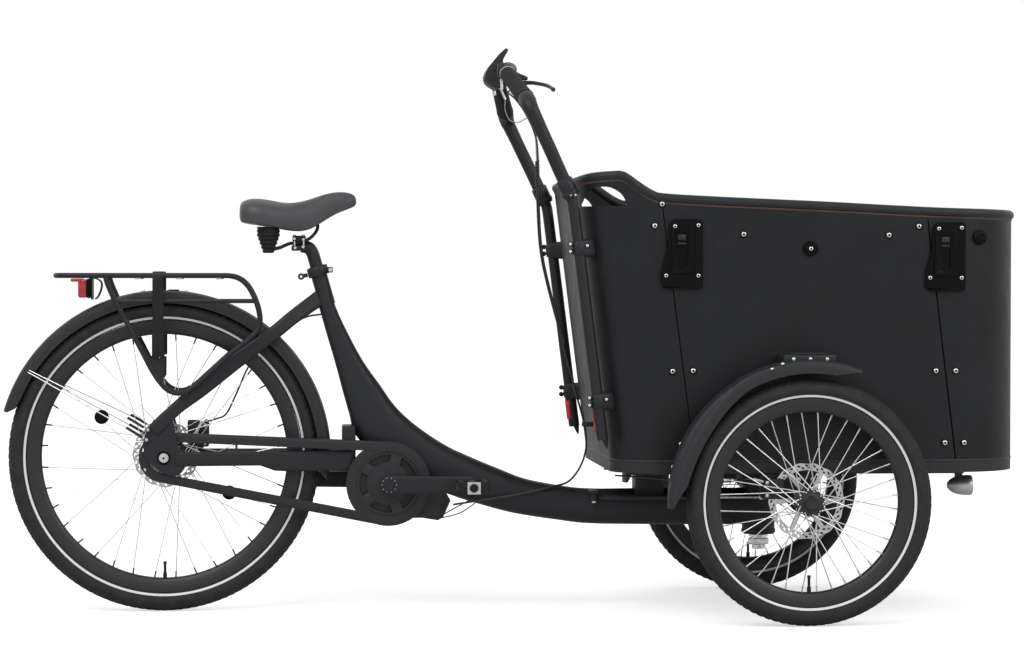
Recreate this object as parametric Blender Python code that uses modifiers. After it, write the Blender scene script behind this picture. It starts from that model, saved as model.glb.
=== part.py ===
"""Electric cargo tricycle with a box between its two front wheels.

Every separate piece is one named object. Metres, +X forward, +Y to the rider's left, +Z up. Points are written
from the rear axle in X, from the middle plane in Y and from the ground in Z. One empty carries the whole and
moves the middle of its footprint to the world origin.
"""

import math

import bmesh
import bpy
from mathutils import Matrix, Vector

# Clearances
GAP = 0.0003  # between pieces that touch
RUNNING_GAP = 0.0005  # round shafts and between turning faces

# Wheels
WHEELBASE = 1.302
HALF_TRACK = 0.380
SPOKES = 36
SPOKE_RADIUS = 0.0010
SPOKE_LEAN = math.radians(48)  # between a spoke's hole in the hub and its hole in the rim
REAR_TYRE_RADIUS = 0.326
REAR_TYRE_WIDTH = 0.050
REAR_RIM_INNER = 0.2562
REAR_RIM_DEPTH = 0.0303
FRONT_TYRE_RADIUS = 0.250
FRONT_TYRE_WIDTH = 0.045
FRONT_RIM_INNER = 0.1813
FRONT_RIM_DEPTH = 0.0292
RIM_WIDTH = 0.029
DISC_THICKNESS = 0.0018
REAR_DISC_RADIUS = 0.0705
FRONT_DISC_RADIUS = 0.078

# Rear hub and axle, distances along the axle from the middle plane
AXLE_RADIUS = 0.005
REAR_FLANGE_RADIUS = 0.045
REAR_FLANGE_Y = 0.030
FLANGE_THICKNESS = 0.005
HUB_NOSE_RADIUS = 0.010
REAR_DISC_Y = 0.0564
DROPOUT_Y = 0.069
DROPOUT_THICKNESS = 0.006

# Front hubs, distances along the axle from the middle plane
STUB_RADIUS = 0.010
FRONT_FLANGE_RADIUS = 0.028
FRONT_INNER_FLANGE_Y = 0.360
FRONT_OUTER_FLANGE_Y = 0.402
FRONT_DISC_Y = 0.350
HUB_CAP_RADIUS = 0.0135
HUB_CAP_Y = 0.415

# Mudguards
GUARD_SHEET = 0.002
GUARD_CROWN = 0.0045
GUARD_SHOULDER = 0.90  # share of the half width where the skirts start
REAR_GUARD_RADIUS = 0.349
REAR_GUARD_WIDTH = 0.062
REAR_GUARD_SKIRT = 0.022
REAR_GUARD_ARC = (-8.0, 164.0)
FRONT_GUARD_RADIUS = 0.289
FRONT_GUARD_WIDTH = 0.062
FRONT_GUARD_SKIRT = 0.028
FRONT_GUARD_Y = 0.381
FRONT_GUARD_ARC = (69.0, 182.0)

# Drive
CRANK_X = 0.468
CRANK_Z = 0.269
CRANK_LENGTH = 0.170
CRANK_AXLE_RADIUS = 0.010
CRANK_ARM_INNER_Y = 0.088
CRANK_ARM_THICKNESS = 0.012
CHAIN_Y = -0.0535
CHAIN_WIDTH = 0.007
CHAIN_HALF_HEIGHT = 0.004
CHAINRING_PITCH_RADIUS = 0.0769
SPROCKET_PITCH_RADIUS = 0.0406
RING_THICKNESS = 0.003
CASE_FRONT_RADIUS = 0.0885
CASE_REAR_RADIUS = 0.0526
CASE_FRONT_HOLE = 0.0675
CASE_REAR_HOLE = 0.033
CASE_SHEET = 0.0015
CASE_OUTER_Y = -0.0610
CASE_INNER_Y = -0.0485
MOTOR_RADIUS = 0.075
MOTOR_RIGHT_Y = -0.046
MOTOR_LEFT_Y = 0.058
MOTOR_SEAT = 0.0008
PEDAL_LENGTH = 0.066
PEDAL_WIDTH = 0.095
PEDAL_HEIGHT = 0.028
PEDAL_INNER_Y = 0.112
SPINDLE_RADIUS = 0.0055

# Seat
SEAT_ANGLE = math.radians(16)
SEAT_TUBE_TOP = (0.3185, 0.7255)
SEAT_TUBE_RADIUS = 0.017
POST_RADIUS = 0.0135
POST_INSERTED = 0.235
POST_BORE_DEPTH = 0.290
COLLAR_THICKNESS = 0.0045
COLLAR_HEIGHT = 0.020
CLAMP_EAR_Y = 0.008
CLAMP_HINGE_X = 0.3475
CLAMP_BARREL_RADIUS = 0.0045
RAIL_RADIUS = 0.0035
RAIL_Y = 0.022
BELLOWS_X = 0.2175
BELLOWS_Y = 0.052
BELLOWS_TOP = 0.808
BELLOWS_RIBS = 5

# Rack
RACK_TUBE_RADIUS = 0.0055
RACK_Y = 0.080
RACK_DECK_Z = 0.7055
STRAP_X = -0.011
GUSSET_TOP = 0.534
STRAP_WIDTH = 0.028
STRAP_THICKNESS = 0.003

# Steering
STEERING_X = 1.262
HEAD_TUBE_RADIUS = 0.035
HEAD_TUBE_BOTTOM = 0.155
HEAD_TUBE_TOP = 0.262
KINGPIN_RADIUS = 0.012
BEAM_HEIGHT = 0.0377
BEAM_LENGTH = 0.036
BEAM_HALF_WIDTH = 0.300
END_PLATE_THICKNESS = 0.018
DAMPER_Y = -0.052
DAMPER_Z = 0.237
DAMPER_RADIUS = 0.0065
DAMPER_ROD_RADIUS = 0.004

# Box
BOX_HALF_WIDTH = 0.310
WALL = 0.009
TRAY_BOTTOM = 0.3045
TRAY_TOP = 0.330
BOX_REAR_X = 0.845  # outer face of the rear wall at the height below
BOX_REAR_X_Z = 0.887
REAR_LEAN = 0.125  # metres of X for each metre of height
BOX_FRONT_X = 1.765
REAR_CORNER = 0.090
FRONT_CORNER = 0.150
REAR_SEAM = (BOX_REAR_X + 0.167, 0.852, 0.1297)  # X at a height, and metres of X for each metre down
FRONT_SEAM = (1.558, 0.826, 0.1207)
RIM_RADIUS = 0.010
RIM_SEAT = -0.0004
RIM_LINE = (  # height of the rim's top along X
    (BOX_REAR_X - 0.009, 0.903), (BOX_REAR_X + 0.023, 0.914), (BOX_REAR_X + 0.066, 0.918),
    (BOX_REAR_X + 0.088, 0.917), (BOX_REAR_X + 0.113, 0.900), (BOX_REAR_X + 0.143, 0.881),
    (BOX_REAR_X + 0.173, 0.873), (1.147, 0.866), (1.335, 0.858), (1.473, 0.851), (1.608, 0.845), (1.770, 0.842),
)
HAND_HOLE = (  # behind the rear face, and height
    (0.008, 0.847), (0.058, 0.847), (0.092, 0.848), (0.093, 0.858), (0.083, 0.873), (0.064, 0.884),
    (0.045, 0.886), (0.023, 0.880),
)
MAT_THICKNESS = 0.002
LAMP_PIN = (1.697, 0.2875)  # X and Z of the headlight's hinge
SOCKET_THICKNESS = 0.012
BENCH_TOP = 0.530
BENCH_FRONT_X = 1.170
BENCH_SHEET = 0.012

# Handlebar
HANDLE_Y = 0.280
LOWER_TUBE_RADIUS = 0.0105
UPRIGHT_RADIUS = 0.0135
SLEEVE_RADIUS = 0.0165
SLEEVE_LENGTH = 0.040
SLEEVE_BOTTOM = (BOX_REAR_X - 0.0140, 0.866)
SLEEVE_ANGLE = math.radians(25)
TUBE_INSERTED = 0.045
SLEEVE_BORE_DEPTH = 0.055
BAR_X = 0.7264
GRIP_RADIUS = 0.0185
GRIP_OUTER = (0.7390, 0.262, 1.0660)
GRIP_INNER = (0.7110, 0.125, 1.1270)
LEVER_PIVOT = (0.748, 0.106)
PERCH_BOTTOM = 1.112
CABLE_RADIUS = 0.002

COLLECTION = "cargo_trike"
CUTTERS = "cutters"
PLANES = {  # how a flat outline's own axes lie in the world
    "XY": Matrix.Identity(3),
    "XZ": Matrix(((1, 0, 0), (0, 0, -1), (0, 1, 0))),
    "YZ": Matrix(((0, 0, 1), (1, 0, 0), (0, 1, 0))),
}
BLACK_PAINT = ((0.020, 0.020, 0.022), 0.45, 0.0)
BLACK_RUBBER = ((0.018, 0.018, 0.018), 0.80, 0.0)
BLACK_PLASTIC = ((0.025, 0.025, 0.027), 0.55, 0.0)
PANEL_GREY = ((0.045, 0.046, 0.048), 0.50, 0.0)
SILVER = ((0.62, 0.63, 0.64), 0.30, 1.0)
STEEL = ((0.50, 0.50, 0.50), 0.35, 1.0)
RED_LENS = ((0.55, 0.01, 0.01), 0.20, 0.0)
WARM_PLASTIC = ((0.10, 0.10, 0.105), 0.45, 0.0)

SEAT_AXIS = Vector((-math.sin(SEAT_ANGLE), 0.0, math.cos(SEAT_ANGLE)))
SLEEVE_AXIS = Vector((-math.sin(SLEEVE_ANGLE), 0.0, math.cos(SLEEVE_ANGLE)))
REAR_AXLE = Vector((0.0, 0.0, REAR_TYRE_RADIUS))
CRANK_AXIS = Vector((CRANK_X, 0.0, CRANK_Z))
FRONT_AXLE = Vector((WHEELBASE, 0.0, FRONT_TYRE_RADIUS))


# Scene and materials


def clear_scene():
    for thing in list(bpy.data.objects):
        bpy.data.objects.remove(thing, do_unlink=True)


def collection(name):
    group = bpy.data.collections.get(name)
    if group is None:
        group = bpy.data.collections.new(name)
        bpy.context.scene.collection.children.link(group)
    return group


def paint(thing, look):
    """Give a piece its own Principled material."""
    colour, roughness, metallic = look
    material = bpy.data.materials.new(thing.name + "_surface")
    material.use_nodes = True
    shader = material.node_tree.nodes["Principled BSDF"]
    shader.inputs["Base Color"].default_value = (*colour, 1.0)
    shader.inputs["Roughness"].default_value = roughness
    shader.inputs["Metallic"].default_value = metallic
    thing.data.materials.clear()
    thing.data.materials.append(material)
    return thing


# Shapes


def put(name, data, place=(0.0, 0.0, 0.0), turn=None):
    thing = bpy.data.objects.new(name, data)
    collection(COLLECTION).objects.link(thing)
    thing.location = place
    if turn is not None:
        thing.rotation_euler = turn.to_euler()
    return thing


def mesh_from(name, shape, place=(0.0, 0.0, 0.0), turn=None, smooth=True):
    """An object from a bmesh, with round stretches shaded smooth."""
    mesh = bpy.data.meshes.new(name)
    shape.to_mesh(mesh)
    shape.free()
    if smooth:
        mesh.shade_smooth()
        mesh.set_sharp_from_angle(angle=math.radians(35))
    return put(name, mesh, place, turn)


def block(name, low, high, turn=None):
    """A box between two corners, turned about its own centre."""
    low, high = Vector(low), Vector(high)
    shape = bmesh.new()
    bmesh.ops.create_cube(shape, size=1.0)
    bmesh.ops.scale(shape, vec=high - low, verts=shape.verts)
    return mesh_from(name, shape, (low + high) / 2, turn, smooth=False)


def rod(name, start, end, radius, sides=12, end_radius=None):
    """A round bar from one point to another, or a cone with an end radius of its own."""
    start, end = Vector(start), Vector(end)
    shape = bmesh.new()
    bmesh.ops.create_cone(
        shape, cap_ends=True, segments=sides, radius1=radius,
        radius2=radius if end_radius is None else end_radius, depth=(end - start).length,
    )
    turn = (end - start).to_track_quat("Z", "Y").to_matrix()
    return mesh_from(name, shape, (start + end) / 2, turn)


def turned(name, profile, centre, steps, axis="Y", angle=360.0, start=0.0, ring=True):
    """A turned shape: the profile's points are (radius, distance along the axis), seen from the centre."""
    area = 0.0
    for (r0, h0), (r1, h1) in zip(profile, profile[1:] + profile[:1]):
        area += r0 * h1 - r1 * h0
    points = list(profile) if area < 0 or not ring else list(reversed(profile))
    edges = [(i, i + 1) for i in range(len(points) - 1)]
    if ring and points[0][0] > 0:
        edges.append((len(points) - 1, 0))
    mesh = bpy.data.meshes.new(name)
    mesh.from_pydata([(radius, 0.0, height) for radius, height in points], edges, [])
    lie = Matrix.Rotation(-math.pi / 2, 3, "X") if axis == "Y" else Matrix.Identity(3)
    thing = put(name, mesh, centre, lie @ Matrix.Rotation(math.radians(start), 3, "Z"))
    screw = thing.modifiers.new("turn", "SCREW")
    screw.angle = math.radians(angle)
    screw.steps = steps
    screw.render_steps = steps
    screw.use_merge_vertices = True
    screw.merge_threshold = 0.00001
    screw.use_smooth_shade = True
    return thing


def solidify(thing, thickness):
    shell = thing.modifiers.new("sheet", "SOLIDIFY")
    shell.thickness = thickness
    shell.offset = 0.0
    shell.use_even_offset = True
    return thing


def bevel(thing, width, segments=1):
    edge = thing.modifiers.new("edges", "BEVEL")
    edge.width = width
    edge.segments = segments
    edge.limit_method = "ANGLE"
    edge.angle_limit = math.radians(40)
    return thing


def as_mesh(thing, flat=False):
    """The same piece as a plain mesh, a curve's caps welded to its sides and a flat piece's faces made whole."""
    view = bpy.context.evaluated_depsgraph_get()
    mesh = bpy.data.meshes.new_from_object(thing.evaluated_get(view))
    shape = bmesh.new()
    shape.from_mesh(mesh)
    bmesh.ops.remove_doubles(shape, verts=shape.verts, dist=0.000005)
    if flat:
        bmesh.ops.dissolve_limit(shape, angle_limit=0.0005, verts=shape.verts, edges=shape.edges)
    bmesh.ops.recalc_face_normals(shape, faces=shape.faces)
    name = thing.name
    world = thing.matrix_world.copy()
    bpy.data.meshes.remove(mesh)
    bpy.data.objects.remove(thing)
    solid = mesh_from(name, shape)
    solid.matrix_world = world
    return solid


def tube(name, points, radius, ring=2, loop=False):
    """A round tube along points."""
    curve = bpy.data.curves.new(name, "CURVE")
    curve.dimensions = "3D"
    curve.bevel_depth = radius
    curve.bevel_resolution = ring
    curve.use_fill_caps = True
    spline = curve.splines.new("POLY")
    spline.points.add(len(points) - 1)
    for spot, point in zip(spline.points, points):
        spot.co = (*point, 1.0)
    spline.use_cyclic_u = loop
    return put(name, curve)


def corners(outline):
    """The outline without the points that lie on a straight edge."""
    kept = []
    for i, here in enumerate(outline):
        before, after = Vector(outline[i - 1]), Vector(outline[(i + 1) % len(outline)])
        along = Vector(here) - before
        ahead = after - Vector(here)
        if abs(along.x * ahead.y - along.y * ahead.x) > 1e-6 * along.length:
            kept.append(here)
    return kept


def plate(name, outlines, plane, low, high):
    """A flat piece between two levels; the first outline is its edge and the others are its holes."""
    curve = bpy.data.curves.new(name, "CURVE")
    curve.dimensions = "2D"
    curve.fill_mode = "BOTH"
    curve.extrude = abs(high - low) / 2
    for outline in map(corners, outlines):
        spline = curve.splines.new("POLY")
        spline.points.add(len(outline) - 1)
        for spot, (across, up) in zip(spline.points, outline):
            spot.co = (across, up, 0.0, 1.0)
        spline.use_cyclic_u = True
    level = (low + high) / 2
    place = {"XY": (0, 0, level), "XZ": (0, level, 0), "YZ": (level, 0, 0)}[plane]
    return as_mesh(put(name, curve, place, PLANES[plane]), flat=True)


def loft(name, rings):
    """A skin over rings of equal counts, closed by flat ends."""
    shape = bmesh.new()
    rows = [[shape.verts.new(point) for point in ring] for ring in rings]
    for row, following in zip(rows, rows[1:]):
        for i in range(len(row)):
            j = (i + 1) % len(row)
            shape.faces.new((row[i], row[j], following[j], following[i]))
    shape.faces.new(rows[0])
    shape.faces.new(rows[-1])
    bmesh.ops.recalc_face_normals(shape, faces=shape.faces)
    return mesh_from(name, shape)


def ruled(name, lower, upper):
    """An open strip between two lines of points."""
    shape = bmesh.new()
    rows = [[shape.verts.new(point) for point in line] for line in (lower, upper)]
    for i in range(len(lower) - 1):
        shape.faces.new((rows[0][i], rows[0][i + 1], rows[1][i + 1], rows[1][i]))
    return mesh_from(name, shape)


def boolean(target, tools, operation):
    for tool in tools:
        for group in list(tool.users_collection):
            group.objects.unlink(tool)
        collection(CUTTERS).objects.link(tool)
        tool.parent = target
        tool.matrix_parent_inverse = target.matrix_basis.inverted()
        tool.hide_render = True
        tool.display_type = "WIRE"
        step = target.modifiers.new(operation.lower(), "BOOLEAN")
        step.solver = "EXACT"
        step.operation = operation
        step.object = tool
    return target


def unite(target, *tools):
    return boolean(target, tools, "UNION")


def cut(target, *tools):
    return boolean(target, tools, "DIFFERENCE")


# Lines and outlines


def smooth(points, per_span):
    """Points along a smooth line through the given ones."""
    spots = [Vector(point) for point in points]
    spots = [2 * spots[0] - spots[1]] + spots + [2 * spots[-1] - spots[-2]]
    line = []
    for a, b, c, d in zip(spots, spots[1:], spots[2:], spots[3:]):
        for i in range(per_span):
            t = i / per_span
            line.append(
                0.5 * (2 * b + (c - a) * t + (2 * a - 5 * b + 4 * c - d) * t**2 + (3 * b - a - 3 * c + d) * t**3)
            )
    return line + [spots[-2]]


def arc(centre, radius, start, end, count):
    """Points on a circle between two angles in degrees, both ends included."""
    turns = [math.radians(start + (end - start) * i / (count - 1)) for i in range(count)]
    return [(centre[0] + radius * math.cos(a), centre[1] + radius * math.sin(a)) for a in turns]


def circle(centre, radius, count):
    return arc(centre, radius, 0.0, 360.0 - 360.0 / count, count)


def belt(front_radius, rear_radius, count=14):
    """The outline round the crank axis and the rear axle, with straight runs between."""
    rear = Vector((REAR_AXLE.x, REAR_AXLE.z))
    front = Vector((CRANK_AXIS.x, CRANK_AXIS.z))
    way = front - rear
    lie = math.degrees(math.atan2(way.y, way.x))
    half = math.degrees(math.acos((rear_radius - front_radius) / way.length))
    back = arc(rear, rear_radius, lie + half, lie + 360 - half, count)
    ahead = arc(front, front_radius, lie - half, lie + half, count)
    return back + ahead


def interpolate(table, x):
    for (x0, z0), (x1, z1) in zip(table, table[1:]):
        if x <= x1:
            return z0 + (z1 - z0) * (max(x, x0) - x0) / (x1 - x0)
    return table[-1][1]


def section(centre, up, side, count=8, square=0.5):
    """A ring round a centre with two half axes, from an ellipse at 1 to nearly a rectangle at 0.3."""
    ring = []
    for i in range(count):
        a = 2 * math.pi * (i + 0.5) / count
        c, s = math.cos(a), math.sin(a)
        ring.append(
            Vector(centre)
            + Vector(up) * math.copysign(abs(c) ** square, c)
            + Vector(side) * math.copysign(abs(s) ** square, s)
        )
    return ring


def bore(radius, sides, gap=GAP):
    """Radius of a many-sided hole that clears a round bar by a gap."""
    return (radius + gap) / math.cos(math.pi / sides)


def both_sides(points):
    """A line given from the middle outwards on the left, made whole through its mirror image."""
    right = [(x, -y, z) for x, y, z in reversed(points)]
    return right + [point for point in points if abs(point[1]) > 0.00001]


# Frame


def main_tube():
    """The swept tube from the seat down into the low beam: front or top edge, rear or bottom edge, half width."""
    stations = (
        ((0.3475, 0.6785), (0.3145, 0.6690), 0.0170),
        ((0.3570, 0.6460), (0.3245, 0.6365), 0.0175),
        ((0.3760, 0.6020), (0.3375, 0.5900), 0.0190),
        ((0.4140, 0.5300), (0.3585, 0.5180), 0.0220),
        ((0.4530, 0.4740), (0.3745, 0.4580), 0.0250),
        ((0.4820, 0.4330), (0.3870, 0.4140), 0.0270),
        ((0.5150, 0.4000), (0.4000, 0.3700), 0.0290),
        ((0.5560, 0.3690), (0.4450, 0.3250), 0.0310),
        ((0.5980, 0.3430), (0.5350, 0.2700), 0.0330),
        ((0.6500, 0.3190), (0.5990, 0.2420), 0.0340),
        ((0.7050, 0.2960), (0.6570, 0.2230), 0.0350),
        ((0.7630, 0.2740), (0.7350, 0.2020), 0.0350),
        ((0.8400, 0.2590), (0.8280, 0.1870), 0.0350),
        ((0.9000, 0.2530), (0.8940, 0.1790), 0.0350),
        ((1.0000, 0.2530), (1.0000, 0.1765), 0.0350),
        ((1.1500, 0.2530), (1.1500, 0.1750), 0.0350),
        ((STEERING_X, 0.2530), (STEERING_X, 0.1750), 0.0335),
    )
    rings = []
    for top, bottom, half_width in stations:
        top = Vector((top[0], 0.0, top[1]))
        bottom = Vector((bottom[0], 0.0, bottom[1]))
        rings.append(section((top + bottom) / 2, (top - bottom) / 2, (0, half_width, 0), 8, 0.70))
    return loft("frame", rings)


def seat_stay(side):
    """A flat stay from the seat tube to the dropout: top edge, bottom edge, distance from the middle plane."""
    stations = (
        ((0.3180, 0.6740), (0.3300, 0.6420), 0.0100),
        ((0.2600, 0.6290), (0.2790, 0.6070), 0.0350),
        ((0.2190, 0.5950), (0.2430, 0.5780), 0.0460),
        ((0.1430, 0.5420), (0.1630, 0.5160), 0.0540),
        ((0.0720, 0.4860), (0.0870, 0.4560), 0.0630),
        ((0.0180, 0.4380), (0.0370, 0.4200), DROPOUT_Y),
        ((-0.0130, 0.4100), (0.0070, 0.3900), DROPOUT_Y),
        ((-0.0300, 0.3930), (-0.0120, 0.3720), DROPOUT_Y),
    )
    rings = []
    for top, bottom, out in stations:
        top = Vector((top[0], side * out, top[1]))
        bottom = Vector((bottom[0], side * out, bottom[1]))
        rings.append(section((top + bottom) / 2, (top - bottom) / 2, (0, 0.007, 0), 8, 0.5))
    return loft("seat_stay", rings)


def chain_stay(side):
    """A deep flat stay from the dropout to the bridge behind the motor."""
    stations = (
        (0.0260, DROPOUT_Y + 0.0005, 0.3380, 0.3080),
        (0.2000, 0.0520, 0.3380, 0.3080),
        (0.2300, 0.0500, 0.3385, 0.2970),
        (0.3600, 0.0405, 0.3400, 0.2950),
        (0.3900, 0.0405, 0.3400, 0.2950),
    )
    rings = []
    for x, out, top, bottom in stations:
        rings.append(
            section((x, side * out, (top + bottom) / 2), (0, 0, (top - bottom) / 2), (0, 0.0065, 0), 8, 0.5)
        )
    return loft("chain_stay", rings)


def dropout(side):
    outline = (
        (-0.027, 0.398), (-0.042, 0.362), (-0.038, 0.328), (-0.021, 0.309), (0.000, 0.294), (0.028, 0.289),
        (0.045, 0.308), (0.045, 0.332), (0.030, 0.345), (0.020, 0.400), (0.000, 0.405),
    )
    inner = DROPOUT_Y - DROPOUT_THICKNESS / 2
    outer = DROPOUT_Y + DROPOUT_THICKNESS / 2
    slot = circle((REAR_AXLE.x, REAR_AXLE.z), bore(AXLE_RADIUS, 12), 12)
    return plate("dropout", [outline, slot], "XZ", side * inner, side * outer)


def motor_outline(grow):
    """Side view of the motor: a round body with a nose under the beam."""
    centre = (CRANK_X, CRANK_Z)
    body = arc(centre, MOTOR_RADIUS + grow, 35.0, 280.0, 16)
    nose = [(0.573, 0.190 - grow), (0.584 + grow, 0.196), (0.600 + grow, 0.232), (0.592 + grow, 0.246)]
    return body + nose


def frame():
    """Welded frame: tubes, stays, dropouts, head tube and the pad that the box slides on."""
    whole = main_tube()
    top = Vector((SEAT_TUBE_TOP[0], 0.0, SEAT_TUBE_TOP[1]))
    unite(whole, rod("seat_tube", top - SEAT_AXIS * 0.085, top, SEAT_TUBE_RADIUS, 16))
    head = (STEERING_X, 0.0, HEAD_TUBE_BOTTOM), (STEERING_X, 0.0, HEAD_TUBE_TOP)
    unite(whole, rod("head_tube", *head, HEAD_TUBE_RADIUS, 14))
    for side in (1, -1):
        stay = seat_stay(side)
        unite(whole, stay)
        unite(whole, chain_stay(side))
        unite(whole, dropout(side))
        seat = RACK_Y - RACK_TUBE_RADIUS - GAP
        unite(whole, rod("rack_boss", (0.043, side * 0.064, 0.457), (0.043, side * seat, 0.457), 0.007, 8))
    unite(whole, block("stay_bridge", (0.3725, -0.0440, 0.2965), (0.4000, 0.0440, 0.3900)))
    unite(whole, block("box_pad", (0.993, -0.030, 0.240), (1.055, 0.030, TRAY_BOTTOM - RUNNING_GAP)))
    unite(whole, block("damper_ear", (0.893, DAMPER_Y - 0.009, 0.2445), (0.911, -0.015, 0.2525)))
    motor_room = motor_outline(MOTOR_SEAT)
    cut(whole, plate("motor_room", [motor_room], "XZ", -0.060, 0.060))
    post_end = top - SEAT_AXIS * POST_BORE_DEPTH
    cut(whole, rod("post_bore", post_end, top + SEAT_AXIS * 0.01, bore(POST_RADIUS, 12), 12))
    pin = (STEERING_X, 0.0, HEAD_TUBE_BOTTOM - 0.01), (STEERING_X, 0.0, HEAD_TUBE_TOP + 0.01)
    cut(whole, rod("pin_bore", *pin, bore(KINGPIN_RADIUS, 12, RUNNING_GAP), 12))
    return paint(whole, BLACK_PAINT)


# Seat


def seat_clamp():
    """Collar round the top of the seat tube with ears in front and an eyelet behind."""
    inner = bore(SEAT_TUBE_RADIUS, 16)
    outer = inner + COLLAR_THICKNESS
    top = Vector((SEAT_TUBE_TOP[0], 0.0, SEAT_TUBE_TOP[1]))
    low = top - SEAT_AXIS * (COLLAR_HEIGHT + 0.001)
    collar = rod("seat_clamp", low, top - SEAT_AXIS * 0.001, outer, 16)
    ear = CLAMP_EAR_Y
    unite(collar, block("clamp_ears", (0.334, -ear, 0.7125), (CLAMP_HINGE_X + 0.005, ear, 0.7235)))
    unite(collar, rod("clamp_eyelet", (0.308, 0.0, 0.7090), (0.286, 0.0, 0.7035), 0.0045, 8))
    cut(collar, rod("collar_bore", low - SEAT_AXIS * 0.01, top + SEAT_AXIS * 0.01, inner, 16))
    return paint(collar, BLACK_PAINT)


def clamp_hinge():
    """Middle of the quick release's upright cam barrel beside the left ear."""
    return Vector((CLAMP_HINGE_X, CLAMP_EAR_Y + GAP + CLAMP_BARREL_RADIUS, 0.7180))


def seat_clamp_lever():
    """Quick release lever: a cam barrel with an arm back along the collar."""
    middle = clamp_hinge()
    half = Vector((0.0, 0.0, 0.0055))
    hinge = rod("seat_clamp_lever", middle - half, middle + half, CLAMP_BARREL_RADIUS, 12)
    arm = smooth([middle, (0.3320, 0.0265, 0.7165), (0.3000, 0.0300, 0.7130)], 3)
    unite(hinge, as_mesh(tube("clamp_arm", arm, 0.0028, 1)))
    return paint(hinge, BLACK_PAINT)


def rail_line():
    """One wire through both saddle rails, from one rear spring round the nose to the other."""
    left = [
        (0.336, 0.0, BELLOWS_TOP + 0.0070), (0.328, 0.012, BELLOWS_TOP - 0.0020), (0.314, RAIL_Y, 0.7880),
        (0.300, RAIL_Y, 0.7745),
        (0.280, RAIL_Y, 0.7730), (0.262, RAIL_Y, 0.7730), (0.240, 0.038, 0.7640), (BELLOWS_X, BELLOWS_Y, 0.7600),
    ]
    return smooth(both_sides(left), 2)


def seat_post():
    """Post with a head bent back over it and a block that grips the rails."""
    top = Vector((SEAT_TUBE_TOP[0], 0.0, SEAT_TUBE_TOP[1]))
    low = top - SEAT_AXIS * POST_INSERTED
    shoulder = top + SEAT_AXIS * 0.026
    bend = smooth([shoulder, (0.3035, 0.0, 0.7630), (0.2880, 0.0, 0.7680)], 2)
    post = as_mesh(tube("seat_post", [low] + bend, POST_RADIUS, 3))
    head = bevel(block("post_head", (0.265, -0.030, 0.757), (0.2985, 0.030, 0.790)), 0.004)
    unite(post, head)
    for side in (1, -1):
        hole = rod("rail_hole", (0.245, side * RAIL_Y, 0.773), (0.3005, side * RAIL_Y, 0.773), 0.0056, 8)
        hole_end = rod("rail_hole", (0.285, side * RAIL_Y, 0.7735), (0.306, side * RAIL_Y, 0.781), 0.0066, 8)
        cut(post, hole, hole_end)
    return paint(post, BLACK_PAINT)


def saddle_rails():
    """Rail wire with the two ribbed rubber springs at its rear ends."""
    wire = as_mesh(tube("saddle_rails", rail_line(), RAIL_RADIUS, 1))
    for side in (1, -1):
        ribs = [(0.0, 0.755)]
        for i in range(BELLOWS_RIBS + 1):
            share = i / BELLOWS_RIBS
            radius = 0.0115 + 0.0125 * min(1.0, 1.6 * share)
            height = 0.755 + (BELLOWS_TOP - 0.755) * share
            ribs.append((radius, height))
            if i < BELLOWS_RIBS:
                ribs.append((radius - 0.0010, height + 0.0055))
        ribs.append((0.0, BELLOWS_TOP))
        unite(wire, turned("bellows", ribs, (BELLOWS_X, side * BELLOWS_Y, 0.0), 8, axis="Z"))
    return paint(wire, BLACK_RUBBER)


def saddle():
    """Padded shell: a coarse cage with a crown and a skirt, smoothed."""
    stations = (  # X, top and lower edge above the springs, half width
        (0.1565, 0.0460, 0.0120, 0.062),
        (0.165, 0.0560, 0.0085, 0.079),
        (0.190, 0.0615, 0.0045, 0.090),
        (0.226, 0.0560, -0.0005, 0.088),
        (0.262, 0.0480, -0.0090, 0.066),
        (0.305, 0.0580, -0.0110, 0.040),
        (0.350, 0.0755, 0.0250, 0.029),
        (0.392, 0.0740, 0.0400, 0.023),
        (0.403, 0.0620, 0.0460, 0.014),
    )
    cushion_bottom = BELLOWS_TOP + GAP + 0.0026
    rings = []
    for x, above, below, half in stations:
        top, low = BELLOWS_TOP + above, BELLOWS_TOP + below
        crown = top - low
        recess = max(low, cushion_bottom, BELLOWS_TOP + 0.0135 if x > 0.31 else 0.0)
        ring = [
            (x, 0.0, top), (x, half * 0.60, top - crown * 0.05), (x, half, top - crown * 0.42),
            (x, half * 0.98, low), (x, half * 0.93, low + 0.001), (x, half * 0.89, recess), (x, 0.0, recess),
        ]
        mirror = [(x, -y, z) for x, y, z in reversed(ring[1:-1])]
        rings.append(ring + mirror)
    cushion = loft("saddle", rings)
    soft = cushion.modifiers.new("soft", "SUBSURF")
    soft.levels = 1
    soft.render_levels = 1
    return paint(cushion, BLACK_RUBBER)


# Drive


def motor():
    centre = (CRANK_X, CRANK_Z)
    shaft_hole = circle(centre, bore(CRANK_AXLE_RADIUS, 16, RUNNING_GAP), 16)
    body = plate("motor", [motor_outline(0.0), shaft_hole], "XZ", MOTOR_RIGHT_Y, MOTOR_LEFT_Y)
    return paint(body, BLACK_PLASTIC)


def crank_arm(name, side, reach):
    """A tapered arm; reach is +1 forward or -1 back."""
    tip = (CRANK_X + reach * CRANK_LENGTH, CRANK_Z)
    turn = 0.0 if reach > 0 else 180.0
    outline = arc((CRANK_X, CRANK_Z), 0.019, turn + 90, turn + 270, 9) + arc(tip, 0.016, turn - 90, turn + 90, 9)
    outer = CRANK_ARM_INNER_Y + CRANK_ARM_THICKNESS
    return plate(name, [outline], "XZ", side * CRANK_ARM_INNER_Y, side * outer)


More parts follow.
